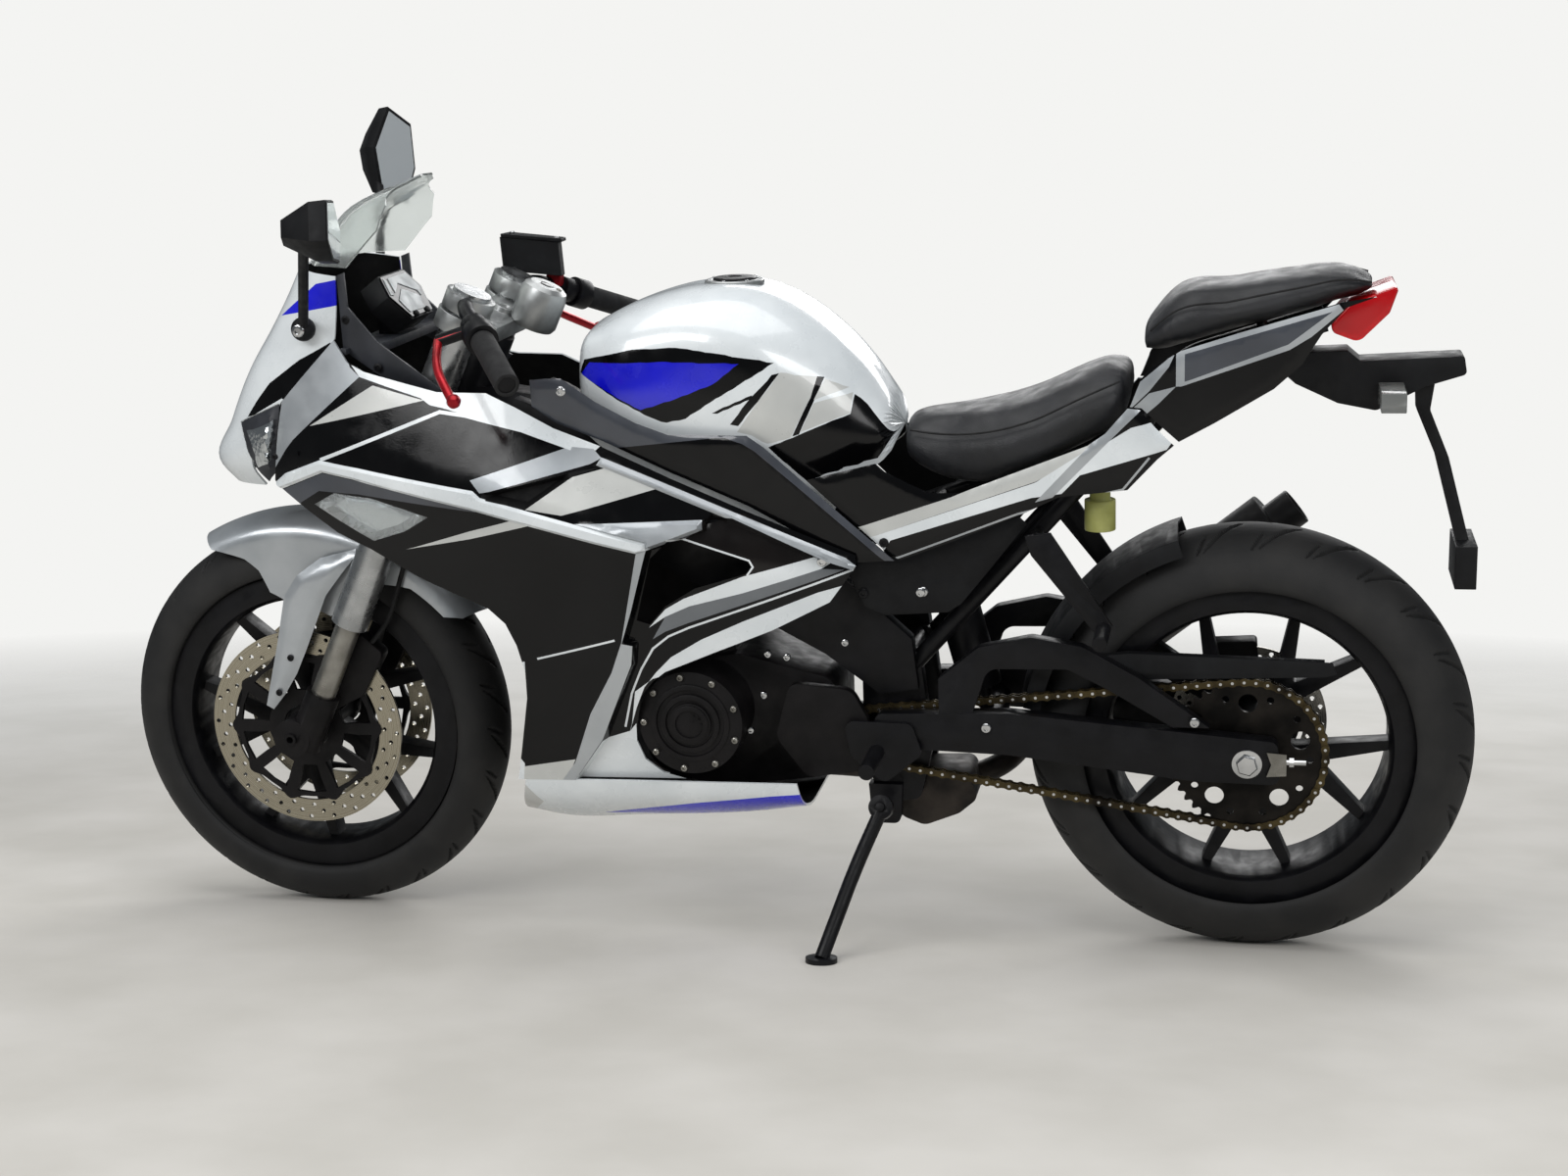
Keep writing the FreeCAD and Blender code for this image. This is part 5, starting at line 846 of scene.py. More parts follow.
bowl = skin("headlamp_bowls", bowl_surface, lens_ring, [("reflector_chrome", shrunk(lamp_ring, 0.62))],
            "moulded_grey_plastic", 7, 1.5)
finish_piece(bowl, "chassis", "clear")

# %% [markdown]
# Belly pan and fuel tank are drawn by place along the bike and distance round from the middle of the
# section. Their paint lines are drawn in side view and moved onto the skin by their height.
# %% Round bodies
BODY_SECTIONS = 90
NOSE_RUN = 45  # so far from its front a body's nose turns in, and lines there are drawn in


class RoundBody:
    """Surface drawn by place along the bike and distance round its section."""

    def __init__(self, form, side_of, turn, ends=None):
        self.low, self.high, self.turn = form[0][0], form[-1][0], turn
        self.places = np.linspace(self.low, self.high, BODY_SECTIONS)
        self.full = np.array([self.half_section(side_of(form_rows(form, x)[0])) for x in self.places])
        self.rings = self.full.copy()
        if ends:
            self.close_ends(*ends)

    def half_section(self, side):
        """Smooth half section from its corners: points from the middle to the left edge."""
        left = np.array(side)
        whole = np.vstack([left[:0:-1] * [-1, 1], left])
        keys = run_along(whole)
        return between(keys / keys[-1] * 2 - 1, whole, np.linspace(0, 1, RING_POINTS))

    def close_ends(self, front, rear):
        """Round both ends off over the given lengths."""
        for index, x in enumerate(self.places):
            t = min((x - self.low) / front, (self.high - x) / rear, 1)
            share = math.sqrt(max(1 - (1 - t) ** 2, 0.0009))
            centre = np.array([0, (self.rings[index][0][1] + self.rings[index][-1][1]) / 2])
            self.rings[index] = centre + (self.rings[index] - centre) * share

    def level(self, x):
        return np.clip((x - self.low) / (self.high - self.low), 0, 1) * (len(self.places) - 1)

    def surface(self, flat):
        """Points of the body from place along the bike and distance round."""
        spot = on_rings(self.rings, self.level(flat[:, 0]), np.abs(flat[:, 1]) / self.turn)
        return np.column_stack([flat[:, 0], spot[:, 0] * np.where(flat[:, 1] < 0, 1, -1), spot[:, 1]])

    def drawn(self, points):
        """Side-view line on the left half, cut short to stay straight to the eye; four points close it."""
        nose, closed = self.low + NOSE_RUN, len(points) > 3
        points = [(x if x > nose else nose + (x - nose) * 0.5, z) for x, z in points]
        dense = []
        for (x1, z1), (x2, z2) in zip(points, points[1:] + points[:1] if closed else points[1:]):
            parts = max(1, round(math.hypot(x2 - x1, z2 - z1) / 9))
            dense += [(x1 + (x2 - x1) * k / parts, z1 + (z2 - z1) * k / parts) for k in range(parts)]
        result = []
        for x, z in dense if closed else dense + points[-1:]:
            ring = self.full[int(self.level(x))]
            order = np.argsort(ring[:, 1])
            round_at = np.linspace(0, self.turn, RING_POINTS)[order]
            result.append((x, -float(np.interp(z, ring[order, 1], round_at))))
        return result

    def painted(self, paints):
        return [(finish, half) for finish, ring in paints for half in both_sides(self.drawn(ring), 1)]


print("a round body has", BODY_SECTIONS, "sections")

# %% [markdown]
# The belly pan closes the fairing below. Its section is a shallow trough, cut aslant at both ends.
# %% Belly pan
# Columns: x, top height, top half width, floor height, floor half width.
BELLY_FORM = [
    (-360, 263, 173, 186, 60), (-300, 263, 169, 184, 100), (-150, 263, 161, 188, 104),
    (0, 263, 156, 198, 104), (95, 263, 153, 210, 96),
]


def trough(row):
    """Corners of the pan's section from the middle of the floor to the top of the left side."""
    _, top, top_half, base, base_half = row
    return [(0, base), (-base_half * 0.55, base), (-base_half, base + 5), (-top_half * 0.97, top - 22),
            (-top_half, top)]


belly = RoundBody(BELLY_FORM, trough, 200)
front_row = belly.drawn([(-316, 263), (-333, 226), (-350, 192)])
rear_row = belly.drawn([(82, 226), (75, 263)])
belly_outline = (front_row + [(x, -u) for x, u in reversed(front_row)]
                 + [(x, -u) for x, u in reversed(rear_row)] + rear_row)
BELLY_PAINT = [
    (PALE, [(-354, 199), (-316, 205), (-296, 225), (-330, 262), (-360, 262)]),
    (BLUE, [(-213, 203), (-77, 227), (36, 243), (96, 249), (104, 236), (69, 214), (-60, 196)]),
]
belly_skin = skin("belly_pan_skin", belly.surface, belly_outline, belly.painted(BELLY_PAINT),
                  PEARL, 10, 3.5, mirrored=False)
finish_piece(belly_skin, "chassis", "white_paint", "belly_pan")

# %% [markdown]
# The tank is pressed steel with a crowned top and a tucked waist where the knees grip it. Both its ends
# round off under the yokes and the seat.
# %% Fuel tank
# Columns: x, top height, crown half, shoulder half, shoulder height, side half, side height, foot half,
# foot height.
TANK_FORM = [
    (-238, 884, 40, 92, 868, 104, 846, 92, 762), (-160, 922, 58, 126, 892, 146, 826, 128, 716),
    (-60, 946, 68, 140, 902, 152, 832, 124, 660), (30, 940, 66, 136, 886, 148, 806, 118, 622),
    (110, 897, 56, 112, 852, 132, 780, 108, 626), (170, 838, 48, 92, 804, 112, 758, 96, 690),
    (216, 770, 38, 68, 762, 86, 746, 78, 726),
]
TANK_TURN = 300


def tank_side(row):
    """Corners of the tank's section from the middle of its crown to its left foot."""
    _, top, crown_half, shoulder_half, shoulder, side_half, side, foot_half, foot = row
    return [(0, top), (-crown_half, top - 3), (-shoulder_half, shoulder), (-side_half, side),
            (-foot_half, foot)]


tank = RoundBody(TANK_FORM, tank_side, TANK_TURN, (30, 16))
TANK_PAINT = [
    (BLACK, [
        (-244, 839), (-226, 856), (-132, 874), (-71, 877), (-21, 870), (61, 855), (39, 841), (-26, 803),
        (-61, 781), (-88, 775), (-110, 782)]),
    (BLUE, [
        (-237, 837), (-208, 853), (-94, 858), (15, 855), (-21, 828), (-73, 808), (-123, 793)]),
    (PALE, [
        (69, 841), (116, 833), (108, 806), (81, 753), (49, 745), (28, 757), (9, 762), (39, 803)]),
    (BLACK, [(68, 842), (58, 838), (29, 808), (0, 773), (11, 771), (39, 803)]),
    (BLACK, [(-24, 789), (32, 813), (30, 807), (-16, 788)]),
    (BLACK, [(116, 833), (125, 831), (114, 804), (92, 757), (83, 755), (108, 806)]),
    (PALE, [(126, 829), (156, 815), (112, 802)]),
    (PALE, [(112, 798), (161, 808), (159, 781), (94, 760)]),
    (BLACK, [
        (163, 806), (179, 792), (212, 745), (191, 715), (98, 690), (50, 740), (83, 753), (93, 757),
        (159, 780)]),
]
tank_outline = [(tank.low, -TANK_TURN), (tank.high, -TANK_TURN), (tank.high, TANK_TURN),
                (tank.low, TANK_TURN)]
tank_skin = skin("fuel_tank_skin", tank.surface, tank_outline, tank.painted(TANK_PAINT), PEARL,
                 9, 2, mirrored=False)
finish_piece(tank_skin, "chassis", "white_paint", "fuel_tank")

# %% [markdown]
# The covers along the tank, below the seat and on the tail are nearly flat mouldings that lean in
# towards the rear, with rolled edges.
# %% Side covers
TANK_COVER_OUTLINE = [
    (-273, 836), (-250, 838), (-229, 838), (-183, 806), (-129, 777), (-83, 760), (25, 759), (48, 743),
    (98, 698), (221, 588), (167, 585), (128, 604), (25, 662), (-81, 708), (-175, 752), (-239, 777),
    (-272, 800),
]
SEAT_PANEL_OUTLINE = [
    (104, 698), (198, 720), (204, 712), (240, 693), (270, 679), (311, 679), (478, 741), (501, 757),
    (530, 790), (546, 788), (566, 764), (590, 740), (569, 722), (530, 681), (440, 672), (389, 648),
    (300, 613), (228, 587), (212, 596),
]
TAIL_PANEL_OUTLINE = [
    (533, 792), (548, 830), (560, 842), (598, 864), (715, 898), (800, 921), (844, 927), (806, 914),
    (776, 880), (752, 842), (717, 811), (642, 768), (596, 744), (570, 768), (548, 790),
]
FRAME_COVER_OUTLINE = [
    (146, 574), (160, 536), (172, 512), (200, 500), (285, 504), (304, 516), (345, 566), (394, 628),
    (384, 638), (300, 607), (228, 580), (200, 584), (176, 586),
]


def leaning(front_half, rear_half, low_x, high_x, outline):
    """Surface of a nearly flat cover whose edge rolls in."""
    roll, roll_run = 3.0, 8

    def place(flat):
        share = (flat[:, 0] - low_x) / (high_x - low_x)
        half = front_half + (rear_half - front_half) * share
        half = half - roll * (1 - ramp(distance_to(flat, outline) / roll_run)) + roll
        return np.column_stack([flat[:, 0], -half, flat[:, 1]])
    return place


# Columns: piece, node it stands for, outline, half widths, ends, base finish, paint.
COVERS = [
    ("tank_covers_skin", "tank_side_covers", TANK_COVER_OUTLINE, (168, 158), (-300, 230), SLATE, [
        (BLACK, [
            (-185, 740), (-21, 756), (30, 757), (54, 748), (106, 702), (179, 626), (221, 587), (160, 580),
            (128, 602), (-25, 670), (-176, 730)]),
        (SLATE, [
            (-21, 762), (40, 762), (104, 700), (226, 588), (208, 588), (92, 690), (36, 738), (20, 748)])]),
    ("seat_panels_skin", "seat_side_panels", SEAT_PANEL_OUTLINE, (160, 122), (90, 600), BLACK, [
        (PALE, [(172, 633), (299, 674), (481, 745), (501, 741), (410, 694), (188, 619)]),
        (PEARL, [
            (188, 619), (410, 693), (478, 736), (501, 736), (444, 677), (404, 672), (216, 615), (206, 600)]),
        (PEARL, [(535, 765), (614, 784), (581, 735), (444, 695), (478, 730)]),
        (SILVER, [
            (409, 666), (481, 742), (546, 831), (560, 840), (560, 800), (524, 765), (501, 742), (432, 672)])]
     + [(SILVER, strip) for strip in thick_line([(223, 590), (386, 650), (524, 682), (558, 724)], 3)]),
    ("tail_panels_skin", "tail_panels", TAIL_PANEL_OUTLINE, (126, 80), (540, 850), BLACK, [
        (SILVER, [
            (592, 864), (797, 919), (803, 911), (763, 878), (736, 862), (599, 818), (592, 818)]),
        (SLATE, [(603, 860), (789, 910), (757, 886), (734, 869), (613, 827), (603, 824)]),
        (SILVER, [(540, 820), (591, 862), (583, 844), (558, 813), (530, 786)]),
        (SILVER, [(530, 784), (558, 810), (592, 818), (570, 796), (540, 770)])]),
    ("frame_covers_skin", "frame_covers", FRAME_COVER_OUTLINE, (118, 100), (140, 400),
     "moulded_black_plastic", []),
]
for name, label, outline, halves, ends, base, paint in COVERS:
    cover = skin(name, leaning(*halves, *ends, outline), outline, paint, base, 8, 3)
    finish_piece(cover, "chassis", "white_paint", label)

# %% [markdown]
# The front fender is a hoop of nearly constant section with a skirt that reaches down beside the tyre,
# so it is drawn by its run round the axle and its distance down from the crown.
# %% Front fender
FENDER_RADIUS = 324
# Half section from the crown to the skirt's edge, as distance across and radius.
FENDER_SECTION = np.array([
    (0, 324), (-22, 322), (-44, 316), (-58, 306), (-63, 294), (-63.5, 280), (-63.5, 180),
], float)
FENDER_KEYS = run_along(FENDER_SECTION)
SKIRT = [
    (-818, 566), (-790, 560), (-766, 553), (-745, 536), (-730, 503), (-706, 490), (-640, 462), (-592, 476),
    (-562, 518), (-510, 512), (-462, 470),
]


def fender_surface(flat):
    """Fender from the run round the axle and the distance down."""
    across, radius = between(FENDER_KEYS, FENDER_SECTION, np.abs(flat[:, 1])).T
    angle = flat[:, 0] / FENDER_RADIUS
    return np.column_stack([FRONT_AXLE.x + np.cos(angle) * radius, across * np.where(flat[:, 1] < 0, 1, -1),
                            FRONT_AXLE.z + np.sin(angle) * radius])


def on_fender(points):
    """Side-view points on the left skirt, by run and distance down."""
    result = []
    for x, z in points:
        radius = math.hypot(x - FRONT_AXLE.x, z - FRONT_AXLE.z)
        angle = math.atan2(z - FRONT_AXLE.z, x - FRONT_AXLE.x)
        down = float(np.interp(-radius, -FENDER_SECTION[:, 1], FENDER_KEYS))
        result.append((angle * FENDER_RADIUS, -down))
    return result


skirt = on_fender(SKIRT)
tip, tail = math.radians(118) * FENDER_RADIUS, skirt[-1][0]
fender_outline = ([(tip, -20), (tip + 8, 0), (tip, 20)] + [(run, -down) for run, down in skirt]
                  + [(tail - 20, 60), (tail - 30, 0), (tail - 20, -60)] + skirt[::-1])
fender = skin("front_fender_skin", fender_surface, fender_outline, [], SILVER, 9, 3, mirrored=False)
finish_piece(fender, "fork", "white_paint", "front_fender")

# %% [markdown]
# A long tongue on each side hangs from the fender down in front of the fork leg. It has a ridge along
# its middle, and its top leans in to the fender.
# %% Fender tongues
TONGUE = [
    (-586, 573), (-640, 560), (-676, 535), (-698, 504), (-716, 430), (-742, 335), (-731, 329), (-711, 352),
    (-689, 385), (-667, 430), (-633, 505), (-587, 562),
]


def tongue_surface(flat):
    """Left tongue, 86 mm out at its edge, with a ridge 5 mm high."""
    ridge = ramp(distance_to(flat, TONGUE) / 14)
    lean = np.clip((flat[:, 1] - 520) / 60, 0, 1)
    return np.column_stack([flat[:, 0], -(86 + 5 * ridge - 20 * lean ** 2), flat[:, 1]])


tongue = skin("fender_tongues", tongue_surface, TONGUE, [], SILVER, 7, 3)
finish_piece(tongue, "fork", "white_paint")

# %% [markdown]
# The windscreen is a clear blown bubble, 3 mm thick, with a crease on each side. It is lofted through
# four levels.
# %% Windscreen
# Columns: height, front x, shoulder x, shoulder half, edge x, edge half.
SCREEN_FORM = [
    (986, -640, -606, 88, -548, 116), (1030, -606, -570, 90, -506, 112), (1072, -556, -524, 84, -462, 104),
    (1104, -470, -452, 52, -430, 84),
]
SCREEN_TURN = 150
SCREEN_KEYS = np.array([0, 0.3, 0.62, 1])


def screen_surface(flat):
    """Screen from distance round and height."""
    _, front, shoulder, shoulder_half, edge, edge_half = form_rows(SCREEN_FORM, flat[:, 1]).T
    share = np.clip(np.abs(flat[:, 0]) / SCREEN_TURN, 0, 1)
    across = np.array([np.zeros(len(share)), shoulder_half * 0.5, shoulder_half, edge_half])
    along = np.array([front, front + 9, shoulder, edge])
    cell = np.clip(np.searchsorted(SCREEN_KEYS, share, side="right") - 1, 0, 2)
    s = (share - SCREEN_KEYS[cell]) / (SCREEN_KEYS[cell + 1] - SCREEN_KEYS[cell])
    index = np.arange(len(share))
    half = across[cell, index] * (1 - s) + across[cell + 1, index] * s
    x = along[cell, index] * (1 - s) + along[cell + 1, index] * s
    return np.column_stack([x, half * np.where(flat[:, 0] < 0, -1, 1), flat[:, 1]])


screen_edge = [(-150, 986), (-150, 1036), (-128, 1070), (-84, 1096), (-40, 1104)]
screen_outline = screen_edge + [(-u, z) for u, z in reversed(screen_edge)]
screen = skin("windscreen_skin", screen_surface, screen_outline, [], "clear_screen_polycarbonate", 9, 3,
              mirrored=False, lining="clear_screen_polycarbonate")
finish_piece(screen, "chassis", "clear", "windscreen")

# %% [markdown]
# Front indicators: a clear lens a little proud of the fairing, over a dished bowl. Both are the fairing's
# own surface, raised or sunk from their edge.
# %% Front indicators
def raised_fairing(rise):
    """The fairing's surface, raised inside the indicator's outline."""
    def place(flat):
        spot = fairing_surface(flat)
        spot[:, 1] -= rise * ramp(distance_to(flat, INDICATOR) / 10)
        return spot
    return place


indicator_lens = skin("front_indicator_lenses", raised_fairing(4), INDICATOR, [], "clear_lens_polycarbonate",
                      8, 2.5, lining="clear_lens_polycarbonate")
finish_piece(indicator_lens, "chassis", "clear", "front_indicators")
indicator_bowl = skin("front_indicator_bowls", raised_fairing(-16), INDICATOR,
                      [("reflector_chrome", shrunk(INDICATOR, 0.72))], "silver_bezel_plastic", 8, 1.5)
finish_piece(indicator_bowl, "chassis", "clear")

# %% [markdown]
# Seats are foam under vinyl. Each starts as a closed shape, lofted from rings a little too small, which
# cloth pressure then blows up so that its sides round off.
# %% Seat shapes
# Columns: x, top height, top half, edge half, edge height, foot height.
RIDER_SEAT_FORM = [
    (222, 757, 40, 78, 742, 712), (270, 759, 56, 96, 736, 690), (320, 765, 72, 116, 738, 686),
    (402, 785, 84, 134, 758, 712), (469, 815, 80, 126, 788, 742), (528, 838, 62, 106, 812, 770),
]
PILLION_SEAT_FORM = [
    (545, 872, 54, 88, 866, 852), (582, 918, 66, 104, 896, 866), (664, 934, 68, 106, 914, 890),
    (745, 946, 64, 98, 930, 910), (805, 951, 52, 84, 940, 925), (848, 938, 34, 60, 934, 930),
]
END_SHARES = (0.93, 0.985, 1.0)  # sizes of a pad's last rings, which round its ends


def pad_ring(row, crown):
    """Closed section of a pad as distance across and height."""
    _, top, top_half, edge_half, edge, foot = row
    half = [(0, top + crown), (top_half * 0.6, top + crown * 0.7), (top_half, top), (edge_half - 3, edge + 4),
            (edge_half, edge - 6), (edge_half - 4, foot + 4), (edge_half - 14, foot), (0, foot)]
    return half + [(-y, z) for y, z in half[-2:0:-1]]


def pad_shape(name, form, crown):
    """Closed lofted shape of a pad, remeshed into even cells for the cloth."""
    rows = form_rows(form, np.linspace(form[0][0], form[-1][0], 25))
    points, faces = [], []
    count = len(pad_ring(rows[0], crown))
    for index, row in enumerate(rows):
        share = END_SHARES[min(index, len(rows) - 1 - index, 2)]
        middle = (row[1] + row[5]) / 2
        points += [(row[0], y * share, middle + (z - middle) * share) for y, z in pad_ring(row, crown)]
    for i in range(len(rows) - 1):
        for j in range(count):
            a, b = i * count + j, i * count + (j + 1) % count
            faces.append((a, a + count, b + count, b))
    faces += [tuple(range(count)), tuple(range(len(points) - count, len(points)))[::-1]]
    made = mesh_piece(name, points, faces, ["seat_vinyl"], [0] * len(faces), 60)
    bpy.ops.object.mode_set(mode="EDIT")
    bpy.ops.mesh.select_all(action="SELECT")
    bpy.ops.mesh.normals_make_consistent(inside=False)
    bpy.ops.object.mode_set(mode="OBJECT")
    remesh = made.modifiers.new("even_cells", "REMESH")
    remesh.mode, remesh.voxel_size, remesh.use_smooth_shade = "VOXEL", 0.0055, True
    bpy.ops.object.modifier_apply(modifier=remesh.name)
    return made


print("a pad's ring has", len(pad_ring(RIDER_SEAT_FORM[0], 7)), "points")

# %% [markdown]
# Cloth pressure swells the pad, and a cap holds each point near its start, as foam does. The real cover
# is stretched taut, so the puckers of the cloth steps are smoothed out before the last subdivision.
# %% Padded seats
def blow_up(made, cap):
    """Cloth pressure for 20 steps, with each point held within the cap."""
    start = np.empty(len(made.data.vertices) * 3)
    made.data.vertices.foreach_get("co", start)
    start = start.reshape(-1, 3)
    cloth = made.modifiers.new("stuffing", "CLOTH")
    cloth.settings.use_pressure = True
    cloth.settings.uniform_pressure_force = 4
    cloth.settings.effector_weights.gravity = 0
    for step in range(1, 21):
        scene.frame_set(step)
    bpy.context.view_layer.update()
    shape = made.evaluated_get(bpy.context.evaluated_depsgraph_get())
    moved = np.empty(len(made.data.vertices) * 3)
    shape.data.vertices.foreach_get("co", moved)
    run = moved.reshape(-1, 3) - start
    length = np.maximum(np.linalg.norm(run, axis=1), 1e-9)[:, None]
    made.modifiers.remove(cloth)
    made.data.vertices.foreach_set("co", (start + run * np.minimum(cap / length, 1)).ravel())
    made.data.update()
    scene.frame_set(1)
    print(made.name, "largest swell", round(float(length.max()) * 1000, 1), "mm, capped at", cap * 1000)


def padded_seat(name, form, crown, label, cap):
    """Pad of foam under vinyl, finished, standing in for its CAD node."""
    made = pad_shape(name, form, crown)
    blow_up(made, cap)
    taut = made.modifiers.new("taut_cover", "SMOOTH")
    taut.factor, taut.iterations = 0.5, 24
    bpy.ops.object.modifier_apply(modifier=taut.name)
    fine = made.modifiers.new("fine", "SUBSURF")
    fine.levels = fine.render_levels = 1
    bpy.ops.object.modifier_apply(modifier=fine.name)
    made.data.polygons.foreach_set("use_smooth", [True] * len(made.data.polygons))
    print(name, len(made.data.polygons), "faces")
    finish_piece(made, "chassis", "seat_cover", label)


padded_seat("rider_seat_pad", RIDER_SEAT_FORM, 7, "rider_seat", 0.006)
padded_seat("pillion_seat_pad", PILLION_SEAT_FORM, 6, "pillion_seat", 0.005)

# %% [markdown]
# Piping hides the seam between a pad's top and its sides. It is a curve with a round bevel, made a mesh.
# %% Seat piping
SEAM_SHARE = 0.72  # place of the seam between the top's edge and the widest line


def seam_on(name, form):
    """Piping along both edges of a pad."""
    rows = form_rows(form, np.linspace(form[0][0] + 12, form[-1][0] - 10, 40))
    curves = bpy.data.curves.new(name, "CURVE")
    curves.dimensions, curves.bevel_depth, curves.bevel_resolution = "3D", 0.0016, 2
    for side in (-1, 1):
        line = curves.splines.new("POLY")
        line.points.add(len(rows) - 1)
        for point, (x, top, top_half, edge_half, edge, _) in zip(line.points, rows):
            half = top_half + (edge_half - top_half) * SEAM_SHARE
            height = top + (edge + 4 - top) * SEAM_SHARE
            point.co = (*(STANCE @ Vector((x, side * (half + 2.5), height + 3.5))), 1)
    made = bpy.data.objects.new(name, curves)
    bpy.context.collection.objects.link(made)
    select(made)
    bpy.ops.object.convert(target="MESH")
    made = bpy.context.object
    made.data.materials.clear()
    made.data.materials.append(FINISH["grip_rubber"])
    finish_piece(made, "chassis", "seat_cover")
    print(name, len(made.data.polygons), "faces")


seam_on("rider_seat_piping", RIDER_SEAT_FORM)
seam_on("pillion_seat_piping", PILLION_SEAT_FORM)

# %% [markdown]
# Tyres: a solid band with a moulded tread. Cutting each groove would be slow, so the band is a fine net
# whose points drop where a groove passes. The grooves sweep back from the middle of the crown in pairs
# and fade out before the shoulder, where a small bike's road tyre is plain.
# %% Tyres
# Columns: name, node, body, axle, outer radius, width, rim width, grooves, groove length, slant.
TYRES = [
    ("front_tyre_tread", "front_tyre", "front_wheel", FRONT_AXLE, 296, 112, 88, 26, 46, 62),
    ("rear_tyre_tread", "rear_tyre", "rear_wheel", REAR_AXLE, 305, 148, 118, 24, 62, 70),
]
TYRE_TURNS = 900


def tyre_section(radius, width, rim_width):
    """Half section from the crown out to the bead, as distance across and radius."""
    shoulder = radius - 0.46 * width
    drop = radius - shoulder
    crown = [(width / 2 * math.sin(a), radius - drop * (1 - math.cos(a)) ** 0.92)
             for a in np.linspace(0, 1.5708, 15)]
    wall = [(width / 2 - 0.6, shoulder - 6), (width / 2 - 3.5, shoulder - 14), (rim_width / 2 + 4, 236),
            (rim_width / 2 + 1, 230), (rim_width / 2 - 6, 229.7), (rim_width / 2 - 8, 222)]
    return np.array(crown + [p for p in wall if p[1] < shoulder])


def groove_depth(angles, signed, radius, grooves, length, slant):
    """Depth of the tread at each point: long grooves with short ones between."""
    pitch = 2 * math.pi * radius / grooves
    run = angles[:, None] * radius
    away = np.abs(signed)[None, :]
    offset = np.where(signed >= 0, 0.5, 0.0)[None, :] * pitch
    curve = slant * (away / length) ** 0.75
    place = np.mod(run + offset - curve + pitch / 2, pitch) - pitch / 2
    half = 3.7 * np.clip((length - away) / 14, 0, 1) * np.clip((away - 4) / 5, 0, 1)
    between_place = np.mod(run + offset - curve * 0.55 + pitch, pitch) - pitch / 2
    between_half = (2.8 * np.clip((length + 3 - away) / 10, 0, 1)
                    * np.clip((away - length * 0.45) / 8, 0, 1))
    depth = 3.2 * ramp((half - np.abs(place)) / 1.4 + 0.5) * (half > 0.4)
    between_depth = 2.6 * ramp((between_half - np.abs(between_place)) / 1.4 + 0.5) * (between_half > 0.4)
    return np.maximum(depth, between_depth)


def tyre_mesh(name, label, body, axle, radius, width, rim_width, *tread):
    """Band of points round the axle, sunk by the tread, with a fine raised line on its wall."""
    section = tyre_section(radius, width, rim_width)
    keys = run_along(section)
    length = tread[1]
    fine = np.concatenate([np.arange(0, length + 8, 2.2), np.linspace(length + 10, keys[-1], 14)])
    across = np.column_stack([np.interp(fine, keys, section[:, 0]), np.interp(fine, keys, section[:, 1])])
    whole = np.vstack([across[:0:-1] * [-1, 1], across])
    signed = np.concatenate([-fine[:0:-1], fine])
    angles = np.linspace(0, 2 * math.pi, TYRE_TURNS, endpoint=False)
    depth = groove_depth(angles, signed, radius, *tread)
    away = np.abs(signed)[None, :]
    wall_line = np.where((away > keys[-1] * 0.70) & (away < keys[-1] * 0.72), 0.8, 0)
    radii = whole[None, :, 1] - depth + wall_line
    x = axle.x + np.cos(angles)[:, None] * radii
    z = axle.z + np.sin(angles)[:, None] * radii
    y = np.broadcast_to(whole[None, :, 0], x.shape)
    points = np.column_stack([x.ravel(), y.ravel(), z.ravel()])
    columns = len(signed)
    i, j = np.meshgrid(np.arange(TYRE_TURNS), np.arange(columns), indexing="ij")
    k, m = (i + 1) % TYRE_TURNS, (j + 1) % columns
    faces = np.stack([i * columns + j, i * columns + m, k * columns + m, k * columns + j], axis=-1)
    faces = faces.reshape(-1, 4)
    # Faces deep in a groove get a darker black finish: painted shade in the grooves.
    sunk = depth.ravel()[faces].mean(axis=1) > 1.4
    made = mesh_piece(name, points, faces, ["tyre_rubber", "tyre_groove_painted_shade"], sunk.astype(int), 40)
    finish_piece(made, body, "tyre", label)


for row in TYRES:
    tyre_mesh(*row)

# %% [markdown]
# Discs are laser-cut steel: rings of cross-drilled holes, with the carrier's arms riveted inside. A flat
# plate with holes is cut from its outline by the same triangles as a panel, then given its thickness.
# %% Flat plates
def plate(outline, holes, y, thickness, finish, step=9):
    """Flat plate across Y, in upright side-view coordinates."""
    flat, cells = flat_cells(outline, [], step, holes)
    front = np.column_stack([flat[:, 0], np.full(len(flat), y - thickness / 2), flat[:, 1]])
    a, b, c = front[cells[0]]
    if np.cross(b - a, c - a)[1] > 0:
        cells = cells[:, ::-1]
    return np.vstack([front, front + [0, thickness, 0]]), sheet_faces(cells, len(flat))[0], finish


def polar(centre, radius, angle):
    return centre[0] + radius * math.cos(angle), centre[1] + radius * math.sin(angle)


def circle(centre, radius, count):
    return [polar(centre, radius, 2 * math.pi * k / count) for k in range(count)]


def assemble(name, parts, angle=30):
    """One object from several parts, each with its points, faces and finish."""
    points, faces, chosen = [], [], []
    finishes = list(dict.fromkeys(finish for _, _, finish in parts))
    total = 0
    for spots, cells, finish in parts:
        points.append(np.asarray(spots, float))
        faces += [tuple(int(i) + total for i in cell) for cell in cells]
        chosen += [finishes.index(finish)] * len(cells)
        total += len(spots)
    return mesh_piece(name, np.vstack(points), faces, finishes, chosen, angle)


print("a circle starts at", circle((0, 0), 1, 4)[0])

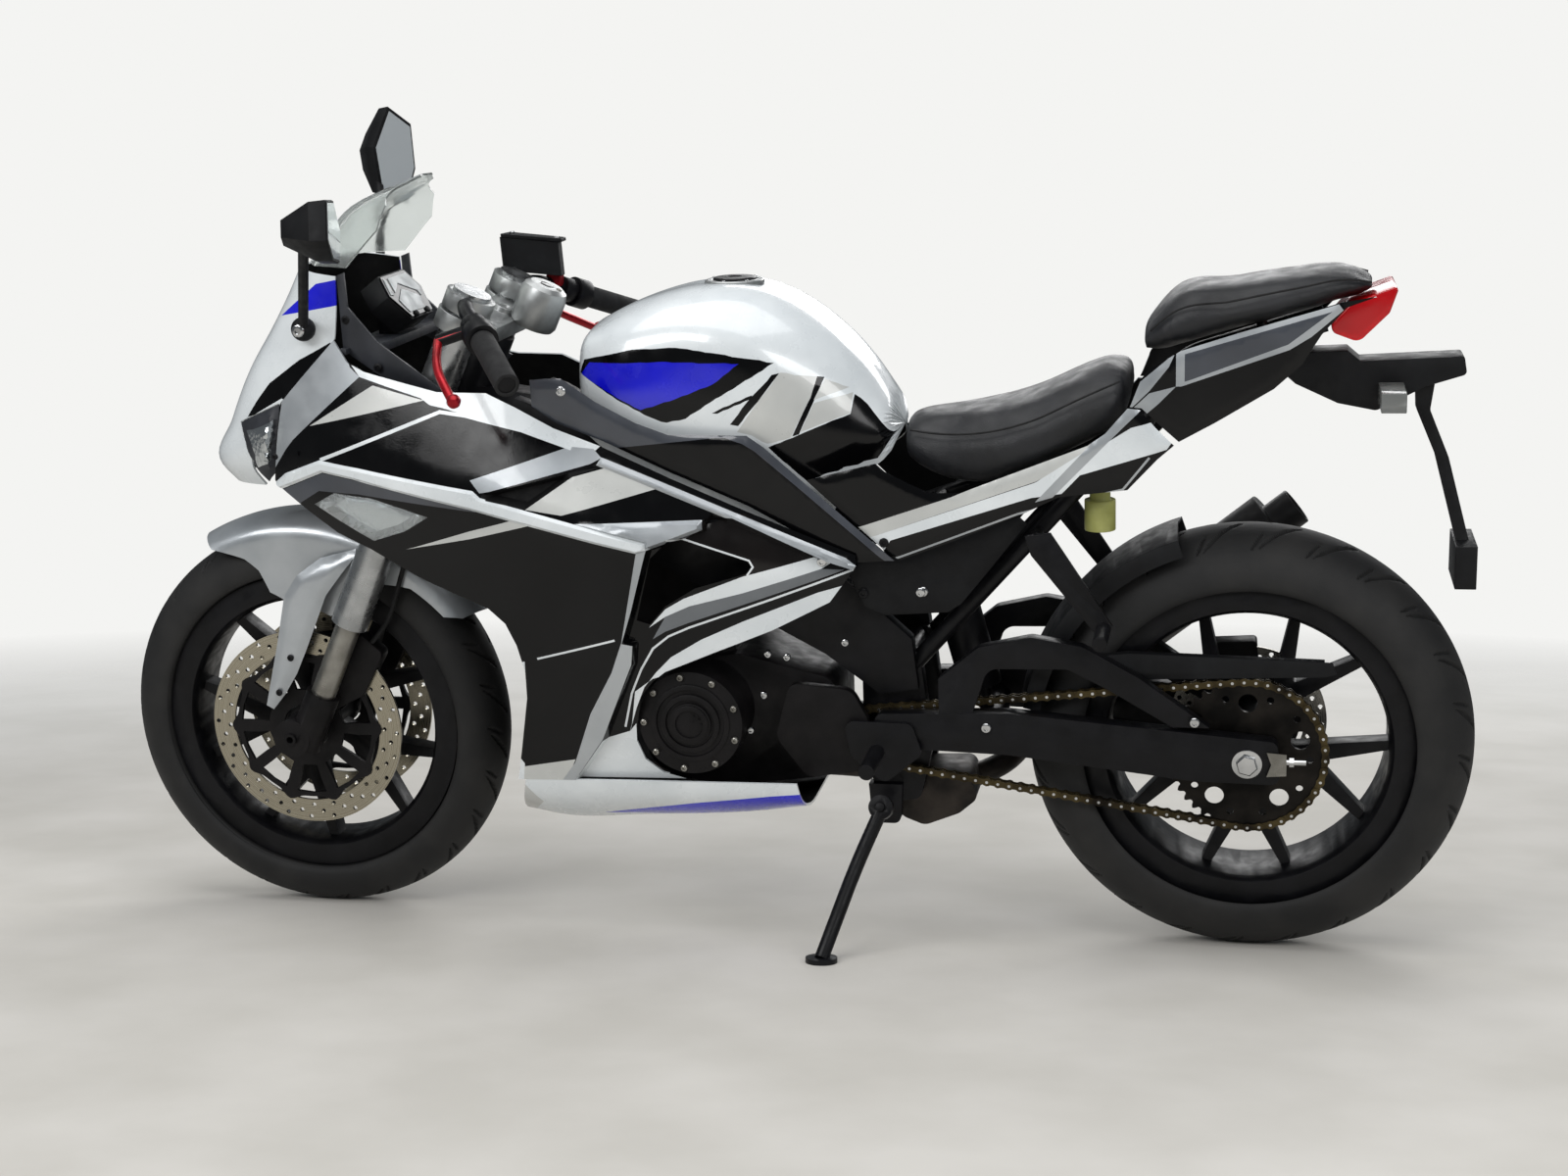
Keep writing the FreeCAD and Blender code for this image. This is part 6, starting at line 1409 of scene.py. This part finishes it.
# %% [markdown]
# Each disc is a drilled ring over a cast carrier, whose ten arms leave windows between them and whose
# edge has a lobe at each rivet.
# %% Brake discs
# Columns: piece, node, body, axle, middle planes, outer and inner radius, hub radius, steel.
DISCS = [
    ("front_discs_drilled", "front_disc", "front_wheel", FRONT_AXLE, (-64, 64), 149, 115, 36,
     "front_disc_steel"),
    ("rear_disc_drilled", "rear_disc", "rear_wheel", REAR_AXLE, (72,), 109, 78, 24, "rear_disc_steel"),
]
DISC_THICKNESS, CARRIER_THICKNESS, CARRIER_SHIFT = 4.5, 6, 1.2
HOLE_TURNS, HOLE_RADIUS = 24, 3.4
CARRIER_ARMS, RIM_COUNT = 10, 120


def drilled_ring(centre, y, outer, inner, steel):
    """The disc itself, with three holes to each turn of its pattern."""
    rows = ((inner + 8, 0), ((inner + outer) / 2 + 1, 0.42), (outer - 7, 0.84))
    holes = [circle(centre, inner, 72)]
    holes += [circle(polar(centre, radius, 2 * math.pi * (turn + phase) / HOLE_TURNS), HOLE_RADIUS, 10)
              for turn in range(HOLE_TURNS) for radius, phase in rows]
    return plate(circle(centre, outer, 96), holes, y, DISC_THICKNESS, steel, 8)


def carrier(centre, y, inner, hub):
    """The cast carrier inside a disc: a lobed rim, ten windows and the hub's bore."""
    low, high = math.radians(11), math.radians(13)
    window = ((0.52 * inner, -low), (0.7 * inner, -low * 1.05), (inner - 12, -high), (inner - 12, 0),
              (inner - 12, high), (0.7 * inner, low * 1.05), (0.52 * inner, low))
    windows = [circle(centre, hub, 40)]
    for k in range(CARRIER_ARMS):
        middle = 2 * math.pi * (k + 0.5) / CARRIER_ARMS
        windows.append([polar(centre, radius, middle + offset) for radius, offset in window])
    rim = []
    for k in range(RIM_COUNT):
        angle = 2 * math.pi * k / RIM_COUNT
        lobe = 0.5 + 0.5 * math.cos(CARRIER_ARMS * angle)
        rim.append(polar(centre, inner - 6 + 10 * lobe ** 3, angle))
    shift_out = math.copysign(CARRIER_SHIFT, y)
    return plate(rim, windows, y + shift_out, CARRIER_THICKNESS, "cast_black_metal", 9)


for name, label, body, axle, planes, outer, inner, hub, steel in DISCS:
    centre = (axle.x, axle.z)
    plates = []
    for y in planes:
        plates += [drilled_ring(centre, y, outer, inner, steel), carrier(centre, y, inner, hub)]
    finish_piece(assemble(name, plates), body, "steel", label)

# %% [markdown]
# The chain is made link by link along its pitch line round both sprockets: rollers, then pairs of waisted
# side plates, every second pair wider. Each part has few faces, since it is repeated so often.
# %% Chain
FRONT_SPROCKET, FRONT_RADIUS, REAR_RADIUS = Vector((140, 0, 318)), 34, 104
CHAIN_Y, CHAIN_PITCH = -86, 15.875


def loop_points():
    """The chain's pitch line, from equal tangents round both sprockets."""
    run = REAR_AXLE - FRONT_SPROCKET
    base = math.atan2(run.z, run.x)
    lift = math.acos((FRONT_RADIUS - REAR_RADIUS) / math.hypot(run.x, run.z))
    line = []
    for centre, radius, first, last in (
            (FRONT_SPROCKET, FRONT_RADIUS, base + lift, base + 2 * math.pi - lift),
            (REAR_AXLE, REAR_RADIUS, base - lift, base + lift)):
        line += [polar((centre.x, centre.z), radius, angle) for angle in np.linspace(first, last, 60)]
    return np.array(line + line[:1])


loop = loop_points()
loop_run = run_along(loop)
LINKS = 2 * round(loop_run[-1] / CHAIN_PITCH / 2)
pitch = loop_run[-1] / LINKS


def on_loop(distance):
    """Point of the pitch line at a distance along it."""
    distance = distance % loop_run[-1]
    return np.array([np.interp(distance, loop_run, loop[:, 0]), np.interp(distance, loop_run, loop[:, 1])])


def outward(points, faces):
    """Face order turned so that every closed part points outwards."""
    spots = np.asarray(points, float)
    middle = spots.mean(axis=0)
    result = []
    for face in faces:
        ring = spots[list(face)]
        centre = ring.mean(axis=0)
        normal = np.cross(ring - centre, np.roll(ring, -1, axis=0) - centre).sum(axis=0)
        result.append(face if normal @ (centre - middle) >= 0 else tuple(reversed(face)))
    return result


def prism(near, far, finish):
    """Closed solid between two like rings of points."""
    count = len(near)
    faces = [tuple(range(count))[::-1], tuple(range(count, 2 * count))]
    faces += [(i, (i + 1) % count, (i + 1) % count + count, i + count) for i in range(count)]
    points = [*near, *far]
    return points, outward(points, faces), finish


def across_chain(ring, y, half_width, finish):
    return prism([(x, y - half_width, z) for x, z in ring], [(x, y + half_width, z) for x, z in ring], finish)


def side_plate(first, last, half_height, waist):
    """Ring of one waisted side plate: two round ends and a narrower middle."""
    run = last - first
    length = np.linalg.norm(run)
    along = run / length
    over = np.array([-along[1], along[0]])
    rows = ((-half_height, 0.3), (-half_height * 0.6, 0.85), (0.2, 1.0), (length * 0.35, waist),
            (length * 0.65, waist), (length - 0.2, 1.0), (length + half_height * 0.6, 0.85),
            (length + half_height, 0.3))
    side = [(first + along * x, half_height * share) for x, share in rows]
    return [p + over * h for p, h in side] + [p - over * h for p, h in reversed(side)]


chain_parts = []
for k in range(LINKS):
    first, last = on_loop(k * pitch), on_loop((k + 1) * pitch)
    apart = 3.6 if k % 2 else 5.3
    for side in (-1, 1):
        ring = side_plate(first, last, 5.9, 0.72)
        chain_parts.append(across_chain(ring, CHAIN_Y + side * apart, 0.8, "oiled_chain_steel"))
    # The roller, and the pin that goes through the plates.
    chain_parts.append(across_chain(circle(first, 4.2, 10), CHAIN_Y, 2.8, "satin_steel_rod"))
    chain_parts.append(across_chain(circle(first, 2.1, 8), CHAIN_Y, 6.8, "bright_plated_steel"))
chain = assemble("chain_links", chain_parts)
finish_piece(chain, "chassis", "steel", "chain")
print(LINKS, "links at", round(pitch, 3), "mm")

# %% [markdown]
# The rear sprocket is a flat plate with real teeth at the chain's pitch and round holes that save weight.
# %% Sprocket
TOOTH = (-3.8, -3.2, 1.5, 3.6, 1.5, -3.2)  # radius from the pitch line at six places of each tooth
rear_centre = (REAR_AXLE.x, REAR_AXLE.z)
steps_round = round(2 * math.pi * REAR_RADIUS / pitch) * len(TOOTH)
tooth_line = [polar(rear_centre, REAR_RADIUS + TOOTH[k % len(TOOTH)], 2 * math.pi * k / steps_round)
              for k in range(steps_round)]
sprocket_holes = [circle(rear_centre, 32, 36)]
for k in range(5):
    angle = math.radians(18 + 72 * k)
    sprocket_holes.append(circle(polar(rear_centre, 74, angle), 13, 24))
    for offset in (-0.33, 0.33):
        sprocket_holes.append(circle(polar(rear_centre, 84, angle + offset * 1.1), 5, 14))
sprocket = assemble("rear_sprocket_toothed", [
    plate(tooth_line, sprocket_holes, CHAIN_Y, 5.5, "black_sprocket_steel", 9)])
finish_piece(sprocket, "rear_wheel", "steel", "rear_sprocket")

# %% [markdown]
# Castings, tubes and welded beams are sharp-edged solids in the frame. A copy of each gets its facets
# dissolved, a small bevel and smooth shading, which is what a cast or bent edge looks like.
# %% Softened castings
def break_edges(made, width, angle):
    """Bevel the active object's edges that are sharper than an angle; width in mm."""
    edge = made.modifiers.new("broken_edges", "BEVEL")
    edge.width, edge.segments, edge.limit_method = width / 1000, 2, "ANGLE"
    edge.angle_limit, edge.use_clamp_overlap = math.radians(angle), True
    bpy.ops.object.modifier_apply(modifier=edge.name)


def softened(name, label, body, bevel):
    """Copy of a CAD node with broken edges; it stands in for the node."""
    source = CAD[label]
    made = bpy.data.objects.new(name, source.data.copy())
    bpy.context.collection.objects.link(made)
    made.matrix_world = source.matrix_world
    select(made)
    bpy.ops.object.transform_apply(location=True, rotation=True, scale=True)
    bpy.ops.object.mode_set(mode="EDIT")
    bpy.ops.mesh.select_all(action="SELECT")
    bpy.ops.mesh.remove_doubles(threshold=0.00002)
    bpy.ops.mesh.dissolve_limited(angle_limit=math.radians(1))
    bpy.ops.mesh.normals_make_consistent(inside=False)
    bpy.ops.object.mode_set(mode="OBJECT")
    break_edges(made, bevel, 32)
    made.data.materials.clear()
    made.data.materials.append(FINISH[finish_of[label]])
    bpy.ops.object.shade_smooth_by_angle(angle=math.radians(40))
    return finish_piece(made, body, SLOT_OF[finish_of[label]], label)


SLOT_OF = {
    "cast_black_metal": "satin_black", "grip_rubber": "rubber", "heat_stained_steel": "steel",
    "matt_black_silencer": "satin_black", "moulded_black_plastic": "grey_trim",
    "moulded_grey_plastic": "grey_trim", "red_lens_acrylic": "red_lens", "satin_black_coating": "satin_black",
    "silver_cast_aluminium": "aluminium", "smoked_lens_acrylic": "clear", "yellowed_clear_plastic": "clear",
}
# Columns: piece, node, body, bevel in mm.
SOFTENED = [
    ("frame_welded", "main_frame", "chassis", 1.6), ("subframe_welded", "subframe", "chassis", 1.2),
    ("swingarm_welded", "swingarm", "chassis", 2.2), ("fork_crowns_cast", "triple_clamps", "fork", 1.6),
    ("axle_feet_cast", "axle_castings", "fork", 1.6), ("front_rim_cast", "front_rim", "front_wheel", 2.0),
    ("rear_rim_cast", "rear_rim", "rear_wheel", 2.0), ("front_calipers_cast", "front_caliper", "fork", 2.0),
    ("rear_caliper_cast", "rear_caliper", "chassis", 1.6), ("engine_cast", "engine", "chassis", 2.0),
    ("pegs_forged", "footpegs", "chassis", 1.0), ("stand_forged", "side_stand", "side_stand", 1.2),
    ("switches_moulded", "controls", "fork", 0.8), ("bars_bent", "handlebars", "fork", 0.8),
    ("grips_moulded", "grips", "fork", 1.2), ("hugger_moulded", "rear_hugger", "chassis", 1.0),
    ("chain_cover_moulded", "chain_guard", "chassis", 1.2),
    ("tail_mudguard_moulded", "rear_fender", "chassis", 1.6),
    ("cockpit_moulded", "cockpit_trim", "chassis", 1.2),
    ("instrument_moulded", "instrument_panel", "chassis", 2.4), ("mirror_shells", "mirrors", "chassis", 6.0),
    ("rear_indicator_lenses", "indicators", "chassis", 1.2), ("silencer_shell", "silencer", "chassis", 2.0),
    ("header_pipe", "exhaust_pipe", "chassis", 0.8), ("shock_body", "rear_shock", "chassis", 0.8),
    ("reservoir_cup", "fluid_reservoir", "chassis", 1.0), ("tail_lamp_lens", "tail_lamp", "chassis", 2.0),
]
soft = {row[0]: softened(*row) for row in SOFTENED}
print(", ".join(f"{name} {len(piece.data.polygons)}" for name, piece in soft.items()))

# %% [markdown]
# Two of them have a second finish: the levers are red and the bars' clamps silver. The faces are chosen by
# how near they lie to the lever or the fork leg.
# %% Levers and clamps
# The steering axis is raked 25 degrees; its joint lies 575 mm up the line of the fork.
STEER_UP = Vector((0.422618, 0, 0.906308))
STEER_BACK = Vector((0.906308, 0, -0.422618))
JOINT_ALONG, LEG_BACK, LEG_ACROSS = 575, -24, 100
steer_at = STANCE.inverted() @ joint_at["steering"]


def steer_point(along, back=0.0, across=0.0):
    return steer_at + STEER_UP * (along - JOINT_ALONG) + STEER_BACK * back + Vector((0, across, 0))


def second_finish(made, finish, chosen):
    """Give the faces that pass a test another finish."""
    made.data.materials.append(FINISH[finish])
    upright = STANCE.inverted()
    count = 0
    for face in made.data.polygons:
        if chosen(upright @ face.center):
            face.material_index = len(made.data.materials) - 1
            count += 1
    print(made.name, count, "faces in", finish)


def away_from_line(spot, first, last):
    """Distance of a spot from a straight run."""
    run = last - first
    share = min(max((spot - first).dot(run) / run.dot(run), 0), 1)
    return (spot - first - run * share).length


CLAMP_MIDDLE = 712.5
# Columns: root of the lever at the bar's clamp, tip, side.
LEVERS = []
for side in (-1, 1):
    root = steer_point(CLAMP_MIDDLE, LEG_BACK, side * LEG_ACROSS) + Vector((6, side * 31, 0))
    LEVERS.append((root, root + Vector((48.3, side * 205, -99.1)), side))


def on_lever(spot):
    """True near either run of a lever: from its pivot to its bend, and on to its tip."""
    for root, tip, side in LEVERS:
        elbow, end = root + Vector((14, side * 36, -4)), root + Vector((124.3, side * 209, -75.1))
        along = (end - elbow).normalized()
        perch = elbow + along * ((end - elbow).length - 167)
        pivot = perch + Vector((-52, side * 6, -16))
        middle = pivot + (tip - pivot) * 0.45 + Vector((-10, side * 6, 0))
        if min(away_from_line(spot, pivot, middle), away_from_line(spot, middle, tip)) < 11:
            return True
    return False


second_finish(soft["switches_moulded"], "red_anodised_aluminium", on_lever)


def on_clamp(spot):
    return min(away_from_line(spot, steer_point(600, LEG_BACK, side * LEG_ACROSS),
                              steer_point(800, LEG_BACK, side * LEG_ACROSS)) for side in (-1, 1)) < 37


second_finish(soft["bars_bent"], "silver_cast_aluminium", on_clamp)

# %% [markdown]
# Bolts, caps and lock parts share one tool: a profile of radius and height turned about any axis. A
# bolt's head gets a socket, so that it reads as a fastener.
# %% Turned parts
def turned(profile, place, axis, finish, sides=20):
    """Profile of (radius, height) rows turned about an axis through a point."""
    up = Vector(axis).normalized()
    across = up.orthogonal().normalized()
    over = up.cross(across)
    points = []
    for radius, height in profile:
        for k in range(sides):
            a = 2 * math.pi * k / sides
            points.append(tuple(Vector(place) + up * height
                                + (across * math.cos(a) + over * math.sin(a)) * radius))
    faces = []
    for i in range(len(profile) - 1):
        for k in range(sides):
            m = (k + 1) % sides
            faces.append((i * sides + k, i * sides + m, (i + 1) * sides + m, (i + 1) * sides + k))
    last = (len(profile) - 1) * sides
    return points, faces + [tuple(range(sides))[::-1], tuple(range(last, last + sides))], finish


def bolt(place, axis, radius, height, finish="bright_plated_steel"):
    """Button head with a socket."""
    profile = [(radius, 0), (radius, height * 0.55), (radius * 0.86, height * 0.85), (radius * 0.62, height),
               (radius * 0.5, height), (radius * 0.46, height * 0.4)]
    return turned(profile, place, axis, finish, 18)


def slab(ring, axis, thickness, finish):
    """Closed flat plate from a ring of points, thickened along an axis."""
    step = Vector(axis).normalized() * thickness
    return prism([tuple(Vector(p)) for p in ring], [tuple(Vector(p) + step) for p in ring], finish)


print("a bolt has", len(bolt((0, 0, 0), (0, 0, 1), 5, 4)[1]), "faces")

# %% [markdown]
# The screws of covers, frame and engine, the ribbed rings of the engine's left cover, and the screws of
# the fender's tongues, which steer with the fork.
# %% Bolts and covers
LEFT, RIGHT, UP = (0, -1, 0), (0, 1, 0), (0, 0, 1)
# Columns: x, y, z, radius, height and, where it isn't plated, finish; each is matched on the right.
BOLTS = [
    (123, -163, 587, 7, 4), (-229, -169, 821, 7, 3.5),
    (207, -153, 612, 6.5, 3.5, "satin_black_coating"), (255, -151, 543, 6.5, 3.5),
    (171, -119, 532, 7, 4, "satin_black_coating"), (253, -113, 534, 7, 4),
    (620, -125, 361, 7, 4), (338, -125, 345, 7, 4),
    (-548, -128, 915, 6, 3, "satin_black_coating"), (-500, -142, 850, 6, 3, "satin_black_coating"),
    (-650, -176, 730, 4.5, 2, "satin_black_coating"),
]
ENGINE_SCREWS = [(34, 443), (61, 439), (26, 383), (5, 331), (144, 462)]
# Columns: middle, radius of the circle of nine screws, side.
ENGINE_COVERS = [((-72, -160, 351), 67, LEFT), ((-20, 148, 350), 70, RIGHT)]
COVER_RINGS = [(56, 2.5), (42, 4), (27, 8)]
bolt_parts = []
for x, y, z, *head in BOLTS:
    bolt_parts += [bolt((x, y, z), LEFT, *head), bolt((x, -y, z), RIGHT, *head)]
bolt_parts += [bolt((x, -121, z), LEFT, 5.5, 5) for x, z in ENGINE_SCREWS]
for k in range(9):
    angle = math.radians(20 + 40 * k)
    for (x, y, z), radius, side in ENGINE_COVERS:
        spot = polar((x, z), radius, angle)
        bolt_parts.append(bolt((spot[0], y, spot[1]), side, 5, 5, "satin_steel_rod"))
for radius, height in COVER_RINGS:
    rise = [(radius, 0), (radius, height), (radius - 2.5, height + 1), (radius - 7, height + 1),
            (radius - 8, height - 2), (3, height - 2)]
    bolt_parts.append(turned(rise, ENGINE_COVERS[0][0], LEFT, "cast_black_metal", 48))
bolts = assemble("chassis_bolts", bolt_parts)
finish_piece(bolts, "chassis", "steel")
fender_bolts = assemble("fender_tongue_bolts", [
    bolt((x, side * 92, z), (0, side, 0), 5, 2.5, "satin_black_coating")
    for x, z in ((-694, 411), (-717, 357)) for side in (-1, 1)])
finish_piece(fender_bolts, "fork", "steel")

# %% [markdown]
# Axle nuts and the chain adjusters, each with a plate behind that carries its screw and its nut.
# %% Axle nuts and adjusters
WASHER, AXLE_NUT = [(20, 0), (20, 2.5), (18, 3)], [(15, 3), (15, 9), (13, 11), (10, 11)]
ADJUSTER_PLATE = [(716, 322), (742, 320), (742, 290), (716, 288), (722, 305)]
ARM_SIDE, SCREW_SIDE = 125.5, 108
nut_parts = []
for side in (-1, 1):
    y, across = side * ARM_SIDE, (0, side, 0)
    nut_parts += [turned(WASHER, (690, y, 305), across, "bright_plated_steel", 32),
                  turned(AXLE_NUT, (690, y, 305), across, "bright_plated_steel", 6)]
    nut_parts.append(slab([(x, y, z) for x, z in ADJUSTER_PLATE], across, 2.5, "satin_steel_rod"))
    for radius, low, high, sides in ((4, 0, 30, 10), (7, 8, 14, 6)):
        nut_parts.append(turned([(radius, low), (radius, high)], (738, side * SCREW_SIDE, 303), (1, 0, 0),
                                "bright_plated_steel", sides))
adjusters = assemble("rear_axle_nuts", nut_parts)
finish_piece(adjusters, "chassis", "chrome")

# %% [markdown]
# The instrument face is a glassy plate with three displays, switched off, and two rubber buttons. It is
# part of the fairing, so it doesn't steer.
# %% Instrument face
FACING, UPWARD = Vector((0.8, 0, 0.6)), Vector((-0.6, 0, 0.8))
FACE_MIDDLE = Vector((-506, 0, 934))


def on_face(points, lift):
    return [tuple(FACE_MIDDLE + Vector((0, across, 0)) + UPWARD * up + FACING * lift)
            for across, up in points]


# Columns: outline as across and up, lift, thickness, finish.
FACE_PARTS = [
    ([(-62, 4), (-46, 35), (46, 35), (62, 4), (40, -35), (-40, -35)], 0.2, 2.2, "black_instrument_face"),
    ([(-38, -28), (18, -29), (31, -9), (-10, 9), (-44, -6)], 2.2, 1.2, "silver_display_film"),
    ([(-38, 6), (-8, 19), (36, -1), (38, -10), (54, 4), (42, 30), (-28, 30)], 2.2, 1.2,
     "silver_display_film"),
    ([(-57, 5), (-48, 3), (-37, 28), (-43, 31)], 2.2, 1.2, "silver_display_film"),
]
face_parts = [slab(on_face(outline, lift), FACING, thickness, finish)
              for outline, lift, thickness, finish in FACE_PARTS]
for across in (-22, 22):
    face_parts.append(turned([(5, 0), (5, 3), (4, 4)], on_face([(across, -33)], 1.5)[0], FACING,
                             "grip_rubber", 12))
instrument_face = assemble("instrument_face", face_parts)
finish_piece(instrument_face, "chassis", "grey_trim")

# %% [markdown]
# What steers with the bars: the ignition lock in its silver housing, a ball on each lever's tip, and the
# brake reservoir on the right bar. They are joined, then bevelled all at once.
# %% Lock, lever tips and brake reservoir
LOCK_HOUSING = [(30, -2), (34, 5), (34, 46), (31, 57), (24, 62), (10, 62), (9, 54)]
LOCK_BARREL = [(9.6, 54), (9.6, 62.6), (7, 63), (2, 62.8)]
LEVER_BALL = [(3, -9), (7, -7), (9.2, -2.5), (9.2, 2.5), (7, 7), (3, 9)]
RESERVOIR_UP = (-0.05, 0, 1)
# Columns: ring, axis, thickness, finish; the switch, the reservoir and its lid.
BAR_SLABS = [
    ([(-352, 176, 925), (-330, 176, 921), (-330, 194, 921), (-352, 194, 925)], (0.1, 0, 1), 16,
     "red_anodised_aluminium"),
    ([(-404, 136, 950), (-318, 148, 940), (-322, 178, 939), (-400, 170, 949)], RESERVOIR_UP, 50,
     "moulded_black_plastic"),
    ([(-404, 134, 1000), (-314, 146, 990), (-318, 181, 989), (-402, 173, 999)], RESERVOIR_UP, 5,
     "satin_black_coating"),
]
lock = steer_point(694, 46)
fork_parts = [
    turned(LOCK_HOUSING, lock, STEER_UP, "silver_cast_aluminium", 40),
    turned(LOCK_BARREL, lock, STEER_UP, "black_instrument_face", 24),
    turned([(4, 60), (4, 63.5), (2.5, 64)], lock + STEER_BACK * 19, STEER_UP, "satin_steel_rod", 12),
]
fork_parts += [turned(LEVER_BALL, tip, (0.2, side, -0.4), "red_anodised_aluminium")
               for _, tip, side in LEVERS]
fork_parts += [slab(*row) for row in BAR_SLABS]
fork_parts += [bolt(place, RESERVOIR_UP, 4, 2.5) for place in ((-392, 154, 1004), (-328, 163, 994))]
cockpit = assemble("lock_and_brake_reservoir", fork_parts)
break_edges(cockpit, 2.2, 45)
finish_piece(cockpit, "fork", "aluminium")

# %% [markdown]
# Mirror glasses lie in their shells with a thin black border. A screw holds each stalk to the cowl.
# %% Mirror glasses
# Columns: middle of the glass, the way it faces, its long axis.
MIRRORS = [((-474, -322, 1056), (0.96, 0.28, 0), (-0.27, 0.93, -0.24)),
           ((-634, 322, 1114), (0.88, -0.47, 0), (0.02, 0.04, 1))]
GLASS_LONG, GLASS_HIGH = 72, 42
# Corners of a glass as shares of half its length and height.
GLASS_SHARES = [(-1, -0.55), (-0.86, 0.72), (0.15, 1), (1, 0.22), (0.62, -0.86), (-0.35, -1)]
# Columns: share of the outline, lift, thickness, finish; the border and the glass on it.
GLASS_LAYERS = [(0.97, 0.1, 1.6, "moulded_black_plastic"), (0.90, 1.2, 1.2, "mirror_glass")]
glass_parts = []
for middle, facing, along in MIRRORS:
    facing, along = Vector(facing).normalized(), Vector(along)
    over = facing.cross(along).normalized()
    along = over.cross(facing)
    for share, lift, thickness, finish in GLASS_LAYERS:
        ring = [Vector(middle) + facing * lift + along * (a * GLASS_LONG * share)
                + over * (b * GLASS_HIGH * share) for a, b in GLASS_SHARES]
        glass_parts.append(slab(ring, facing, thickness, finish))
mirror_glasses = assemble("mirror_glasses", glass_parts)
finish_piece(mirror_glasses, "chassis", "chrome")
stalk_bolts = assemble("mirror_stalk_bolts", [
    bolt((-604, side * 162.5, 905), (0, side, 0), 9, 5) for side in (-1, 1)])
finish_piece(stalk_bolts, "chassis", "chrome")

# %% [markdown]
# Filler cap on the tank's crown: a flush ring, seven screws and a hinged flap.
# %% Filler cap
CAP_X, CAP_SCREWS, SCREW_CIRCLE = -20, 7, 36.5
CAP_RING = [(42, -3), (42, 2), (40, 3.5), (33, 3.5), (32, 2)]
CAP_FLAP = [(30, 0), (30, 5), (28, 6.5), (10, 7), (9, 5)]
crown_height = float(tank.full[int(tank.level(CAP_X))][0][1])
cap_spot = (CAP_X, 0, crown_height - 0.5)
cap_parts = [turned(CAP_RING, cap_spot, UP, "silver_cast_aluminium", 48),
             turned(CAP_FLAP, cap_spot, UP, "satin_black_coating", 40)]
for x, y in circle((CAP_X, 0), SCREW_CIRCLE, CAP_SCREWS):
    cap_parts.append(bolt((x, y, cap_spot[2] + 3), UP, 3, 2))
cap = assemble("filler_cap", cap_parts)
finish_piece(cap, "chassis", "aluminium")
